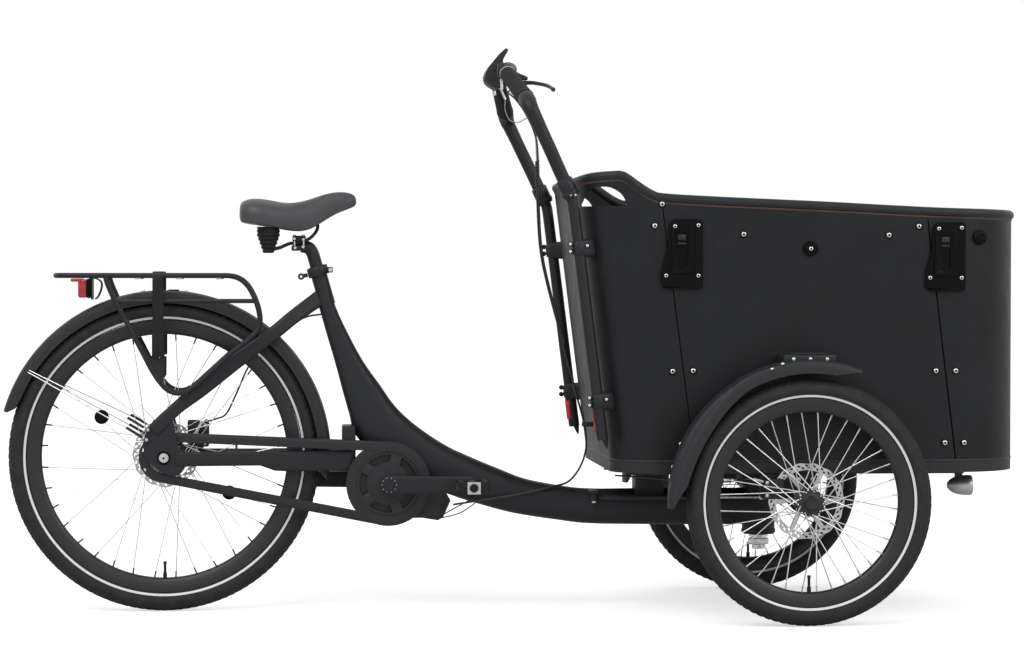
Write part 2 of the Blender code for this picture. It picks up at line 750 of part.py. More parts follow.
def pedal_spindle(side, reach):
    tip_x = CRANK_X + reach * CRANK_LENGTH
    end = PEDAL_INNER_Y + PEDAL_WIDTH - 0.010
    return rod("spindle", (tip_x, side * 0.094, CRANK_Z), (tip_x, side * end, CRANK_Z), SPINDLE_RADIUS, 8)


def crank_right():
    """Right arm with its boss, its pedal spindle and the hole that the crank axle fills."""
    arm = bevel(crank_arm("crank_right", -1, 1), 0.002)
    boss = rod("crank_boss", (CRANK_X, -0.0655, CRANK_Z), (CRANK_X, -0.0900, CRANK_Z), 0.016, 12)
    unite(arm, boss, pedal_spindle(-1, 1))
    ends = (CRANK_X, -0.060, CRANK_Z), (CRANK_X, -0.0985, CRANK_Z)
    cut(arm, rod("axle_hole", *ends, bore(CRANK_AXLE_RADIUS, 16), 16))
    return paint(arm, BLACK_PAINT)


def crank_left():
    """Left arm in one piece with the crank axle."""
    arm = bevel(crank_arm("crank_left", 1, -1), 0.002)
    boss = rod("crank_boss", (CRANK_X, 0.0655, CRANK_Z), (CRANK_X, 0.0900, CRANK_Z), 0.016, 12)
    axle = rod("crank_axle", (CRANK_X, 0.0940, CRANK_Z), (CRANK_X, -0.0975, CRANK_Z), CRANK_AXLE_RADIUS, 16)
    unite(arm, boss, axle, pedal_spindle(1, -1))
    return paint(arm, BLACK_PAINT)


def pedal(name, side, reach):
    tip_x = CRANK_X + reach * CRANK_LENGTH
    near = side * PEDAL_INNER_Y
    far = side * (PEDAL_INNER_Y + PEDAL_WIDTH)
    low = (tip_x - PEDAL_LENGTH / 2, min(near, far), CRANK_Z - PEDAL_HEIGHT / 2)
    high = (tip_x + PEDAL_LENGTH / 2, max(near, far), CRANK_Z + PEDAL_HEIGHT / 2)
    body = bevel(block(name, low, high), 0.004)
    end = side * (PEDAL_INNER_Y + PEDAL_WIDTH - 0.0085)
    hole = bore(SPINDLE_RADIUS, 8, RUNNING_GAP)
    cut(body, rod("spindle_hole", (tip_x, side * 0.100, CRANK_Z), (tip_x, end, CRANK_Z), hole, 8))
    return paint(body, BLACK_RUBBER)


def chainring():
    """Toothed ring's body under the chain, with five windows."""
    centre = (CRANK_X, CRANK_Z)
    edge = circle(centre, CHAINRING_PITCH_RADIUS - CHAIN_HALF_HEIGHT - 2 * RUNNING_GAP, 32)
    hole = circle(centre, bore(CRANK_AXLE_RADIUS, 16), 16)
    windows = []
    for i in range(5):
        start = 72.0 * i + 12
        windows.append(arc(centre, 0.058, start, start + 48, 4) + arc(centre, 0.034, start + 48, start, 3))
    low, high = CHAIN_Y - RING_THICKNESS / 2, CHAIN_Y + RING_THICKNESS / 2
    return paint(plate("chainring", [edge, hole] + windows, "XZ", low, high), STEEL)


def rear_sprocket():
    centre = (REAR_AXLE.x, REAR_AXLE.z)
    edge = circle(centre, SPROCKET_PITCH_RADIUS - CHAIN_HALF_HEIGHT - 2 * RUNNING_GAP, 24)
    hole = circle(centre, bore(HUB_NOSE_RADIUS, 16, RUNNING_GAP), 16)
    low, high = CHAIN_Y - RING_THICKNESS / 2, CHAIN_Y + RING_THICKNESS / 2
    return paint(plate("rear_sprocket", [edge, hole], "XZ", low, high), STEEL)


def chain():
    """The chain as one loop with its runs; it lies inside the case."""
    outer = belt(CHAINRING_PITCH_RADIUS + CHAIN_HALF_HEIGHT, SPROCKET_PITCH_RADIUS + CHAIN_HALF_HEIGHT)
    inner = belt(CHAINRING_PITCH_RADIUS - CHAIN_HALF_HEIGHT, SPROCKET_PITCH_RADIUS - CHAIN_HALF_HEIGHT)
    low, high = CHAIN_Y - CHAIN_WIDTH / 2, CHAIN_Y + CHAIN_WIDTH / 2
    return paint(plate("chain", [outer, inner], "XZ", low, high), STEEL)


def chain_case():
    """Cover over the chain's outer side and edge, open towards the crank axis and the wheel."""
    outer = belt(CASE_FRONT_RADIUS, CASE_REAR_RADIUS)
    hole = belt(CASE_FRONT_HOLE, CASE_REAR_HOLE)
    case = plate("chain_case", [outer, hole], "XZ", CASE_OUTER_Y, CASE_INNER_Y)
    inside = belt(CASE_FRONT_RADIUS - CASE_SHEET, CASE_REAR_RADIUS - CASE_SHEET)
    cut(case, plate("case_room", [inside], "XZ", CASE_OUTER_Y + CASE_SHEET, CASE_INNER_Y + 0.005))
    foot = ((0.112, 0.3382), (0.128, 0.3382), (0.128, 0.3620), (0.112, 0.3620))
    unite(case, plate("case_foot", [foot], "XZ", CASE_OUTER_Y + 0.0003, CASE_OUTER_Y + CASE_SHEET - 0.0003))
    return paint(case, BLACK_PLASTIC)


# Wheels


def spoke_set(flanges, rim_radius, hub_radius, centre):
    """Crossed spokes as slim bars; flanges are the two distances along the axle, rim centre at the last one."""
    near, far, middle = flanges
    whole = bmesh.new()
    for i in range(SPOKES):
        flange = near if i % 2 else far
        lean = SPOKE_LEAN if (i // 2) % 2 else -SPOKE_LEAN
        layer = 0.0015 if (i // 2) % 2 else -0.0015
        at_rim = 2 * math.pi * (i + 0.5) / SPOKES
        at_hub = at_rim + lean
        side = math.copysign(0.003, flange - middle)
        start = Vector((hub_radius * math.cos(at_hub), flange + layer, hub_radius * math.sin(at_hub)))
        end = Vector((rim_radius * math.cos(at_rim), middle + side, rim_radius * math.sin(at_rim)))
        turn = (end - start).to_track_quat("Z", "Y").to_matrix().to_4x4()
        bmesh.ops.create_cone(
            whole, cap_ends=True, segments=3, radius1=SPOKE_RADIUS, radius2=SPOKE_RADIUS,
            depth=(end - start).length, matrix=Matrix.Translation((start + end) / 2) @ turn,
        )
    return mesh_from("spokes", whole, centre)


def rim(inner, depth, middle, centre):
    outer = inner + depth
    profile = [
        (outer, middle + RIM_WIDTH / 2), (outer, middle - RIM_WIDTH / 2),
        (inner, middle - 0.0075), (inner, middle + 0.0075),
    ]
    return turned("rim", profile, centre, 24)


def tyre(name, radius, width, flange, centre, steps=32):
    """Tyre round its rim; its flats reach the radius, and one of them lies on the ground."""
    height = radius - flange
    inner = flange + GAP
    sides = (
        (inner, 0.36), (inner + 0.45 * height, 0.50), (inner + 0.85 * height, 0.36), (radius, 0.14),
    )
    half = [(r, share * width) for r, share in sides]
    profile = half + [(r, -y) for r, y in reversed(half)]
    full = 1 / math.cos(math.pi / steps)
    profile = [(r * full, y) for r, y in profile]
    return paint(turned(name, profile, centre, steps, start=180.0 / steps), BLACK_RUBBER)


def disc(name, radius, hole, low, high, centre):
    """Brake disc with five windows between its arms."""
    edge = circle(centre, radius, 28)
    windows = []
    for i in range(5):
        start = 72.0 * i + 10
        windows.append(arc(centre, radius - 0.016, start, start + 52, 3) + arc(centre, hole + 0.010, start + 34, start + 12, 2))
    middle = circle(centre, hole, 12)
    return paint(plate(name, [edge, middle] + windows, "XZ", low, high), SILVER)


def rear_wheel():
    """Hub, crossed spokes and rim, laced into one wheel."""
    hole = bore(AXLE_RADIUS, 12, RUNNING_GAP)
    inner = DROPOUT_Y - DROPOUT_THICKNESS / 2 - RUNNING_GAP
    disc_face = REAR_DISC_Y - DISC_THICKNESS / 2 - GAP
    ring_face = CHAIN_Y + RING_THICKNESS / 2 + RUNNING_GAP
    thick = FLANGE_THICKNESS / 2
    profile = [
        (hole, inner), (HUB_NOSE_RADIUS, inner), (HUB_NOSE_RADIUS, disc_face), (0.018, disc_face),
        (0.018, REAR_FLANGE_Y + thick), (REAR_FLANGE_RADIUS, REAR_FLANGE_Y + thick),
        (REAR_FLANGE_RADIUS, REAR_FLANGE_Y - thick), (0.021, REAR_FLANGE_Y - thick),
        (0.021, -REAR_FLANGE_Y + thick), (REAR_FLANGE_RADIUS, -REAR_FLANGE_Y + thick),
        (REAR_FLANGE_RADIUS, -REAR_FLANGE_Y - thick), (0.018, -REAR_FLANGE_Y - thick),
        (0.018, ring_face), (HUB_NOSE_RADIUS, ring_face), (HUB_NOSE_RADIUS, -inner), (hole, -inner),
    ]
    wheel = turned("rear_wheel", profile, REAR_AXLE, 12)
    flanges = (-REAR_FLANGE_Y, REAR_FLANGE_Y, 0.0)
    unite(wheel, spoke_set(flanges, REAR_RIM_INNER + 0.003, REAR_FLANGE_RADIUS - 0.004, REAR_AXLE))
    unite(wheel, rim(REAR_RIM_INNER, REAR_RIM_DEPTH, 0.0, REAR_AXLE))
    return paint(wheel, STEEL)


def rear_axle():
    """Fixed axle with a nut outside each dropout."""
    face = DROPOUT_Y + DROPOUT_THICKNESS / 2 + GAP
    profile = [
        (0.0, face + 0.010), (AXLE_RADIUS, face + 0.010), (AXLE_RADIUS, face + 0.007), (0.0095, face + 0.007),
        (0.0095, face), (AXLE_RADIUS, face), (AXLE_RADIUS, -face), (0.0095, -face), (0.0095, -face - 0.007),
        (AXLE_RADIUS, -face - 0.007), (AXLE_RADIUS, -face - 0.010), (0.0, -face - 0.010),
    ]
    return paint(turned("rear_axle", profile, REAR_AXLE, 8), SILVER)


def caliper(name, low, high, slot_low, slot_high):
    """Brake caliper: a block with a slot for the disc."""
    body = bevel(block(name, low, high), 0.003)
    cut(body, block("disc_slot", slot_low, slot_high))
    return paint(body, BLACK_PAINT)


def rear_brake_caliper():
    half = DISC_THICKNESS / 2 + RUNNING_GAP
    low, high = (0.046, 0.0460, 0.3395), (0.092, 0.0690, 0.400)
    slot = (0.030, REAR_DISC_Y - half, 0.330), (0.073, REAR_DISC_Y + half, 0.410)
    return caliper("rear_brake_caliper", low, high, *slot)


def front_wheel(name, side):
    """Small hub with its cap, crossed spokes and rim, on one side of the box."""
    hole = bore(STUB_RADIUS, 12, RUNNING_GAP)
    thick = FLANGE_THICKNESS / 2
    inner_face = FRONT_DISC_Y - DISC_THICKNESS / 2 - 0.001
    disc_face = FRONT_DISC_Y + DISC_THICKNESS / 2 + GAP
    profile = [
        (hole, inner_face), (0.014, inner_face), (0.014, disc_face), (0.020, disc_face),
        (0.020, FRONT_INNER_FLANGE_Y - thick), (FRONT_FLANGE_RADIUS, FRONT_INNER_FLANGE_Y - thick),
        (FRONT_FLANGE_RADIUS, FRONT_INNER_FLANGE_Y + thick), (0.0155, FRONT_INNER_FLANGE_Y + thick),
        (0.0155, FRONT_OUTER_FLANGE_Y - thick), (FRONT_FLANGE_RADIUS, FRONT_OUTER_FLANGE_Y - thick),
        (FRONT_FLANGE_RADIUS, FRONT_OUTER_FLANGE_Y + thick), (HUB_CAP_RADIUS, FRONT_OUTER_FLANGE_Y + thick),
        (HUB_CAP_RADIUS, HUB_CAP_Y), (0.0, HUB_CAP_Y), (0.0, FRONT_OUTER_FLANGE_Y - 0.002),
        (hole, FRONT_OUTER_FLANGE_Y - 0.002),
    ]
    wheel = front_hub(name, [(r, side * y) for r, y in profile])
    flanges = (side * FRONT_INNER_FLANGE_Y, side * FRONT_OUTER_FLANGE_Y, side * HALF_TRACK)
    unite(wheel, spoke_set(flanges, FRONT_RIM_INNER + 0.003, FRONT_FLANGE_RADIUS - 0.004, FRONT_AXLE))
    unite(wheel, rim(FRONT_RIM_INNER, FRONT_RIM_DEPTH, side * HALF_TRACK, FRONT_AXLE))
    return paint(wheel, SILVER)


def front_hub(name, profile):
    """A turned hub whose profile meets the axis in the middle of its list, so it starts and ends there."""
    first = next(i for i, point in enumerate(profile) if point[0] == 0.0)
    around = profile[first + 1:] + profile[:first + 1]
    return turned(name, around, FRONT_AXLE, 12)


def front_brake_caliper(name, side):
    half = DISC_THICKNESS / 2 + RUNNING_GAP
    inner = BEAM_HALF_WIDTH + END_PLATE_THICKNESS + GAP
    ys = sorted((side * inner, side * 0.3565))
    slot = sorted((side * (FRONT_DISC_Y - half), side * (FRONT_DISC_Y + half)))
    x, z = FRONT_AXLE.x, FRONT_AXLE.z
    low, high = (x - 0.084, ys[0], z + 0.004), (x - 0.046, ys[1], z + 0.046)
    slot_low, slot_high = (x - 0.0795, slot[0], z - 0.010), (x - 0.030, slot[1], z + 0.060)
    return caliper(name, low, high, slot_low, slot_high)


# Mudguards


def guard_sheet(name, radius, width, skirt, middle, centre, degrees, steps):
    """A crowned strip with two side skirts round part of a wheel."""
    half = width / 2
    sheet = radius - GUARD_SHEET / 2
    shoulder = GUARD_SHOULDER * half
    profile = [
        (sheet - skirt, middle + half), (sheet - GUARD_CROWN, middle + shoulder), (sheet, middle),
        (sheet - GUARD_CROWN, middle - shoulder), (sheet - skirt, middle - half),
    ]
    start, end = degrees
    strip = turned(name, profile, centre, steps, angle=end - start, start=-end, ring=False)
    return solidify(strip, GUARD_SHEET)


def rear_mudguard():
    """Long guard with two wire stays down to the dropouts."""
    size = REAR_GUARD_RADIUS, REAR_GUARD_WIDTH, REAR_GUARD_SKIRT
    guard = guard_sheet("rear_mudguard", *size, 0.0, REAR_AXLE, REAR_GUARD_ARC, 20)
    face = DROPOUT_Y + DROPOUT_THICKNESS / 2 + GAP
    at_guard = arc((REAR_AXLE.x, REAR_AXLE.z), REAR_GUARD_RADIUS - GUARD_CROWN + 0.001, 148.0, 149.0, 2)[0]
    for side in (1, -1):
        wire = [(*at_guard, side * 0.0290), (-0.270, 0.4945, side * 0.038), (-0.036, 0.368, side * (face + 0.003))]
        wire = [(x, y, z) for x, z, y in wire]
        stay = as_mesh(tube("guard_stay", wire, 0.0025, 1))
        eye = rod("guard_eye", (-0.034, side * face, 0.367), (-0.034, side * (face + 0.006), 0.367), 0.006, 10)
        unite(guard, stay, eye)
    return paint(guard, BLACK_PLASTIC)


def front_mudguard(name, side):
    """Short guard with the step bracket that carries it on the box."""
    size = FRONT_GUARD_RADIUS, FRONT_GUARD_WIDTH, FRONT_GUARD_SKIRT
    guard = guard_sheet(name, *size, side * FRONT_GUARD_Y, FRONT_AXLE, FRONT_GUARD_ARC, 12)
    ys = sorted((side * (BOX_HALF_WIDTH + GAP), side * (FRONT_GUARD_Y + 0.010)))
    bracket = bevel(block("guard_bracket", (1.248, ys[0], 0.530), (1.355, ys[1], 0.548)), 0.004)
    unite(guard, bracket)
    return paint(guard, BLACK_PLASTIC)


# Rack


def rack_side_line():
    """One side of the rack on the left, from the top of the rear strut round the loop to the rear of the deck."""
    strut = [(-0.107, 0.698), (-0.065, 0.598), (-0.023, 0.512)]
    foot = [(-0.011, 0.489), (0.004, 0.470), (0.022, 0.461), (0.042, 0.461), (0.063, 0.474)]
    front = [(0.143, 0.547), (0.180, 0.576), (0.196, 0.592), (0.201, 0.610), (0.197, 0.637), (0.188, 0.662)]
    deck = [(0.176, 0.684), (0.160, 0.699), (0.140, RACK_DECK_Z), (-0.190, RACK_DECK_Z)]
    return strut + foot + front + deck


def rear_rack():
    """Tube rack: two side loops joined round the rear, cross bars, lower rails, gussets and the lamp plate."""
    left = [(x, RACK_Y, z) for x, z in rack_side_line()]
    corner = [(-0.2100, RACK_Y - 0.008, RACK_DECK_Z), (-0.2185, RACK_Y - 0.030, RACK_DECK_Z)]
    half = left + corner
    path = half + [(x, -y, z) for x, y, z in reversed(half)]
    rack = as_mesh(tube("rear_rack", path, RACK_TUBE_RADIUS, 1))
    for x in (-0.1505, STRAP_X, 0.120):
        ends = (x, -RACK_Y, RACK_DECK_Z), (x, RACK_Y, RACK_DECK_Z)
        unite(rack, rod("deck_bar", *ends, 0.004, 8))
    unite(rack, block("lamp_plate", (-0.1520, -0.030, 0.655), (-0.1490, 0.030, RACK_DECK_Z)))
    gusset = ((-0.036, GUSSET_TOP), (0.0015, GUSSET_TOP), (0.0010, 0.494), (-0.0060, 0.484), (-0.012, 0.487))
    for side in (1, -1):
        y = side * RACK_Y
        rail = rod("lower_rail", (-0.090, y, 0.649), (0.194, y, 0.649), 0.0045, 8)
        sheet = plate("gusset", [gusset], "XZ", y - 0.0015, y + 0.0015)
        unite(rack, rail, sheet)
    return paint(rack, BLACK_PAINT)


def rack_strap():
    """Elastic strap over the deck, hooked on the gussets at both sides."""
    half = STRAP_THICKNESS / 2
    out = RACK_Y + RACK_TUBE_RADIUS + GAP + half
    over = RACK_DECK_Z + RACK_TUBE_RADIUS + GAP + half
    low = GUSSET_TOP + GAP + half
    left = [(out - 0.0075, low), (out, low), (out, over - 0.005), (out - 0.005, over)]
    line = left + [(-y, z) for y, z in reversed(left)]
    edges = [[(x, y, z) for y, z in line] for x in (STRAP_X - STRAP_WIDTH / 2, STRAP_X + STRAP_WIDTH / 2)]
    return paint(solidify(ruled("rack_strap", *edges), STRAP_THICKNESS), BLACK_RUBBER)


def tail_light():
    body = block("tail_light", (-0.1915, -0.034, 0.6580), (-0.1520 - GAP, 0.034, 0.6990))
    return paint(bevel(body, 0.005, 2), RED_LENS)


# Steering and front axle


def damper_cylinder():
    """Damper body with its eye under the frame's ear and a bore for the rod."""
    body = rod("damper_cylinder", (0.922, DAMPER_Y, DAMPER_Z), (1.120, DAMPER_Y, DAMPER_Z), DAMPER_RADIUS, 12)
    neck = rod("damper_neck", (0.902, DAMPER_Y, DAMPER_Z), (0.930, DAMPER_Y, DAMPER_Z), 0.004, 8)
    eye = rod("damper_eye", (0.902, DAMPER_Y, 0.2300), (0.902, DAMPER_Y, 0.2445 - GAP), 0.0085, 12)
    unite(body, neck, eye)
    hole = bore(DAMPER_ROD_RADIUS, 8, RUNNING_GAP)
    cut(body, rod("damper_bore", (0.945, DAMPER_Y, DAMPER_Z), (1.130, DAMPER_Y, DAMPER_Z), hole, 8))
    return paint(body, BLACK_PAINT)


def damper_rod():
    """Sliding rod; its eye lies under the front carrier's lug with an open pivot."""
    shaft = rod("damper_rod", (1.000, DAMPER_Y, DAMPER_Z), (STEERING_X, DAMPER_Y, DAMPER_Z), DAMPER_ROD_RADIUS, 8)
    eye = rod("rod_eye", (STEERING_X, DAMPER_Y, 0.2320), (STEERING_X, DAMPER_Y, 0.2420), 0.009, 12)
    return paint(unite(shaft, eye), SILVER)


def steering_pin():
    """Kingpin that turns with the carrier: nut below the head tube, washer above it."""
    low = HEAD_TUBE_BOTTOM - RUNNING_GAP
    washer = HEAD_TUBE_TOP + RUNNING_GAP
    washer_top = TRAY_BOTTOM - GAP - BEAM_HEIGHT - 0.002 - GAP
    top = TRAY_BOTTOM - 0.010
    profile = [
        (0.0, top), (KINGPIN_RADIUS, top), (KINGPIN_RADIUS, washer_top), (0.030, washer_top), (0.030, washer),
        (KINGPIN_RADIUS, washer), (KINGPIN_RADIUS, low), (0.020, low), (0.020, low - 0.006), (0.014, low - 0.006),
        (0.014, low - 0.032), (0.0, low - 0.032),
    ]
    return paint(turned("steering_pin", profile, (STEERING_X, 0.0, 0.0), 12, axis="Z"), SILVER)


def front_axle_beam():
    """Cross tube with end plates and stub axles, a boss on the kingpin and the damper's lug."""
    top = TRAY_BOTTOM - GAP
    low = top - BEAM_HEIGHT
    x = FRONT_AXLE.x
    beam = block("front_axle_beam", (x - BEAM_LENGTH / 2, -0.302, low), (x + BEAM_LENGTH / 2, 0.302, top))
    unite(beam, rod("pin_boss", (STEERING_X, 0.0, low - 0.002), (STEERING_X, 0.0, top - 0.001), 0.046, 24))
    lug_low = (STEERING_X - 0.012, DAMPER_Y - 0.009, 0.2432)
    unite(beam, block("damper_lug", lug_low, (STEERING_X + 0.012, DAMPER_Y + 0.009, low + 0.010)))
    unite(beam, block("lug_arm", (STEERING_X - 0.012, DAMPER_Y - 0.009, low), (x, -0.030, top - 0.002)))
    outline = [
        (x - 0.088, FRONT_AXLE.z + 0.002), (x - 0.088, top - 0.001), (x + 0.030, top - 0.001),
        (x + 0.030, FRONT_AXLE.z - 0.010), (x + 0.015, FRONT_AXLE.z - 0.025), (x - 0.015, FRONT_AXLE.z - 0.025),
        (x - 0.040, FRONT_AXLE.z + 0.002),
    ]
    for side in (1, -1):
        inner = side * BEAM_HALF_WIDTH
        outer = side * (BEAM_HALF_WIDTH + END_PLATE_THICKNESS)
        unite(beam, plate("end_plate", [outline], "XZ", inner, outer))
        stub = (x, side * 0.310, FRONT_AXLE.z), (x, side * (FRONT_OUTER_FLANGE_Y - 0.004), FRONT_AXLE.z)
        unite(beam, rod("stub_axle", *stub, STUB_RADIUS, 16))
    hole = bore(KINGPIN_RADIUS, 12)
    cut(beam, rod("boss_bore", (STEERING_X, 0.0, low - 0.01), (STEERING_X, 0.0, TRAY_BOTTOM - 0.0097), hole, 12))
    return paint(beam, BLACK_PAINT)


# Box


def rear_x(z):
    """Outer face of the leaning rear wall at a height."""
    return BOX_REAR_X + (BOX_REAR_X_Z - z) * REAR_LEAN


def seam_x(seam, z):
    x, at, lean = seam
    return x + (at - z) * lean


def wall_top(x):
    """Upper edge of the walls, under the rim tube whatever its slope."""
    step = 0.008
    slope = max(
        abs(interpolate(RIM_LINE, x + step) - interpolate(RIM_LINE, x)),
        abs(interpolate(RIM_LINE, x) - interpolate(RIM_LINE, x - step)),
    ) / step
    return interpolate(RIM_LINE, x) - RIM_RADIUS * (1 + math.hypot(1, slope)) - RIM_SEAT


def on_wall(column, high):
    """The point of a wall column at its upper edge or at the tray, clear of it by the lean of the wall."""
    z = TRAY_TOP + GAP + WALL / 2 * REAR_LEAN
    if high:
        for _ in range(6):
            z = wall_top(column(z)[0])
    return (*column(z), z)


def rear_columns(inset):
    """Upright lines of the rear wall on the left, from the seam round the corner to the middle."""
    half = BOX_HALF_WIDTH - inset
    radius = REAR_CORNER - inset
    columns = []
    for share in (1.0, 0.69, 0.30):
        columns.append(
            lambda z, share=share: (
                rear_x(z) + inset + radius + share * (seam_x(REAR_SEAM, z) - GAP - rear_x(z) - inset - radius), half
            )
        )
    for angle in (0, 18, 36, 54, 72, 90):
        a = math.radians(angle)
        columns.append(
            lambda z, a=a: (
                rear_x(z) + inset + radius - radius * math.sin(a), half - radius + radius * math.cos(a)
            )
        )
    return columns


def front_columns(inset):
    """Upright lines of the front wall on the left, from the seam round the corner to the middle."""
    half = BOX_HALF_WIDTH - inset
    radius = FRONT_CORNER - inset
    middle = BOX_FRONT_X - inset - radius
    columns = [lambda z: (seam_x(FRONT_SEAM, z) + GAP, half)]
    columns.append(lambda z: (max(middle, seam_x(FRONT_SEAM, z) + 0.004), half))
    for angle in (15, 30, 45, 60, 75, 90):
        a = math.radians(angle)
        point = (middle + radius * math.sin(a), half - radius + radius * math.cos(a))
        columns.append(lambda z, point=point: point)
    return columns


def wrap(name, columns):
    """A wall that goes round two corners, from seam to seam."""
    lines = []
    for high in (False, True):
        left = [on_wall(column, high) for column in columns]
        lines.append(left + [(x, -y, z) for x, y, z in reversed(left)])
    return solidify(ruled(name, *lines), WALL)


def box_rear():
    """Leaning rear wall with its two corners and a hand hole in each."""
    wall = wrap("box_rear", rear_columns(WALL / 2))
    outline = [(BOX_REAR_X + ahead, z) for ahead, z in HAND_HOLE]
    for side in (1, -1):
        cut(wall, plate("hand_hole", [outline], "XZ", side * 0.235, side * 0.340))
    return paint(wall, PANEL_GREY)


def box_front():
    return paint(wrap("box_front", front_columns(WALL / 2)), PANEL_GREY)


def side_tops():
    """X positions of the rim's bends along a side panel."""
    first = seam_x(REAR_SEAM, 0.852)
    last = seam_x(FRONT_SEAM, 0.826)
    return [x for x, _ in RIM_LINE if first + 0.03 < x < last - 0.03]


def box_side(name, side):
    """Flat side panel between the two seams."""
    rear = on_wall(lambda z: (seam_x(REAR_SEAM, z) + GAP, 0.0), True)
    front = on_wall(lambda z: (seam_x(FRONT_SEAM, z) - GAP, 0.0), True)
    low = TRAY_TOP + GAP
    outline = [(rear[0], rear[2])]
    outline += [(x, wall_top(x)) for x in side_tops()]
    outline += [(front[0], front[2]), (seam_x(FRONT_SEAM, low) - GAP, low), (seam_x(REAR_SEAM, low) + GAP, low)]
    ys = side * BOX_HALF_WIDTH, side * (BOX_HALF_WIDTH - WALL)
    return paint(plate(name, [outline], "XZ", *ys), PANEL_GREY)


def box_rim():
    """Closed tube round the upper edge of the walls."""
    inset = WALL / 2
    rear = [on_wall(column, True) for column in rear_columns(inset)]
    front = [on_wall(column, True) for column in front_columns(inset)]
    half = BOX_HALF_WIDTH - inset
    left = [(x, y) for x, y, _ in reversed(rear)]
    left += [(x, half) for x in side_tops()]
    left += [(x, y) for x, y, _ in front]
    ring = left + [(x, -y) for x, y in reversed(left)]
    path = [(x, y, interpolate(RIM_LINE, x) - RIM_RADIUS) for x, y in ring]
    return paint(as_mesh(tube("box_rim", path, RIM_RADIUS, 1, loop=True)), BLACK_PAINT)


def box_floor():
    """Floor tray with the plan of the walls, a raised mat and a lug for the headlight under its front."""
    left = [column(TRAY_TOP) for column in reversed(rear_columns(0.0))]
    left += [column(TRAY_TOP) for column in front_columns(0.0)]
    ring = left + [(x, -y) for x, y in reversed(left)]
    tray = plate("box_floor", [ring], "XY", TRAY_BOTTOM, TRAY_TOP)
    half = BOX_HALF_WIDTH - WALL - 0.016
    mat_rear, mat_front = BENCH_FRONT_X + 0.015, BOX_FRONT_X - FRONT_CORNER
    unite(tray, block("mat", (mat_rear, -half, TRAY_TOP - 0.002), (mat_front, half, TRAY_TOP + MAT_THICKNESS)))
    x, z = LAMP_PIN
    unite(tray, block("light_lug", (x - 0.008, -0.004, z - 0.0055), (x + 0.008, 0.004, TRAY_BOTTOM + 0.005)))
    cut(tray, rod("light_bolt_hole", (x, -0.010, z), (x, 0.010, z), bore(0.003, 8, RUNNING_GAP), 8))
    return paint(tray, BLACK_PLASTIC)


def socket(name, side, outline, slot):
    """Tent pole socket: a thick plate on the outside of the wall with a slot."""
    face = BOX_HALF_WIDTH + GAP
    body = plate(name, [outline], "XZ", side * face, side * (face + SOCKET_THICKNESS))
    bevel(body, 0.003)
    ys = sorted((side * (face + SOCKET_THICKNESS - 0.0035), side * (face + SOCKET_THICKNESS + 0.010)))
    cut(body, block("pole_slot", (slot[0], ys[0], slot[1]), (slot[2], ys[1], slot[3])))
    return paint(body, BLACK_PLASTIC)


def rear_socket(name, side):
    x = REAR_SEAM[0]
    outline = [
        (x - 0.002, 0.677), (x + 0.080, 0.677), (x + 0.082, 0.700), (x + 0.082, 0.812), (x + 0.074, 0.820),
        (x + 0.006, 0.820), (x + 0.004, 0.720), (x - 0.003, 0.700),
    ]
    return socket(name, side, outline, (x + 0.030, 0.719, x + 0.049, 0.778))


def front_socket(name, side):
    outline = [
        (1.553, 0.673), (1.634, 0.673), (1.635, 0.700), (1.635, 0.806), (1.627, 0.815), (1.562, 0.815),
        (1.560, 0.715), (1.552, 0.695),
    ]
    return socket(name, side, outline, (1.584, 0.715, 1.603, 0.774))


def bench():
    """Seat board across the box with its front board."""
    inset = WALL + RUNNING_GAP
    rear = [column(BENCH_TOP - BENCH_SHEET) for column in reversed(rear_columns(inset)[3:])]
    left = rear + [(BENCH_FRONT_X, BOX_HALF_WIDTH - inset)]
    ring = left + [(x, -y) for x, y in reversed(left)]
    board = plate("bench", [ring], "XY", BENCH_TOP - BENCH_SHEET, BENCH_TOP)
    half = BOX_HALF_WIDTH - inset - 0.001
    front = (BENCH_FRONT_X - 0.020, -half, TRAY_TOP + GAP), (BENCH_FRONT_X - 0.008, half, BENCH_TOP - 0.005)
    return paint(unite(board, block("bench_front", *front)), WARM_PLASTIC)


def battery():
    body = block("battery", (BOX_REAR_X + 0.095, -0.150, TRAY_TOP + GAP), (BENCH_FRONT_X - 0.050, 0.150, 0.440))
    return paint(bevel(body, 0.008), BLACK_PLASTIC)


# Handlebar


def lower_tube_x(z):
    return BOX_REAR_X - 0.012 + (0.864 - z) * 0.126


def handlebar_tube(name, side):
    """Lower tube on a rear corner of the box with its two clamps."""
    y = side * HANDLE_Y
    sleeve = Vector((SLEEVE_BOTTOM[0], y, SLEEVE_BOTTOM[1]))
    straight = [(lower_tube_x(z), y, z) for z in (0.372, 0.600, 0.820)]
    bend = [(lower_tube_x(0.864) + 0.0025, y, 0.848)]
    inside = [sleeve - SLEEVE_AXIS * 0.006, sleeve + SLEEVE_AXIS * TUBE_INSERTED]
    whole = as_mesh(tube(name, straight + bend + inside, LOWER_TUBE_RADIUS, 3))
    corner_y = BOX_HALF_WIDTH - REAR_CORNER
    for z in (0.772, 0.462):
        centre = Vector((rear_x(z) + REAR_CORNER, side * corner_y, z))
        tube_centre = Vector((lower_tube_x(z), y, z))
        away = (tube_centre - centre).normalized()
        seat = centre + away * (REAR_CORNER + GAP + 0.0002)
        across = Vector((-away.y, away.x, 0.0)) * 0.013
        up = Vector((-REAR_LEAN * 0.019, 0.0, 0.019))
        rings = []
        for point in (seat, tube_centre + away * 0.004):
            rings.append([point + across + up, point - across + up, point - across - up, point + across - up])
        unite(whole, loft("corner_clamp", rings))
    return paint(whole, BLACK_PAINT)


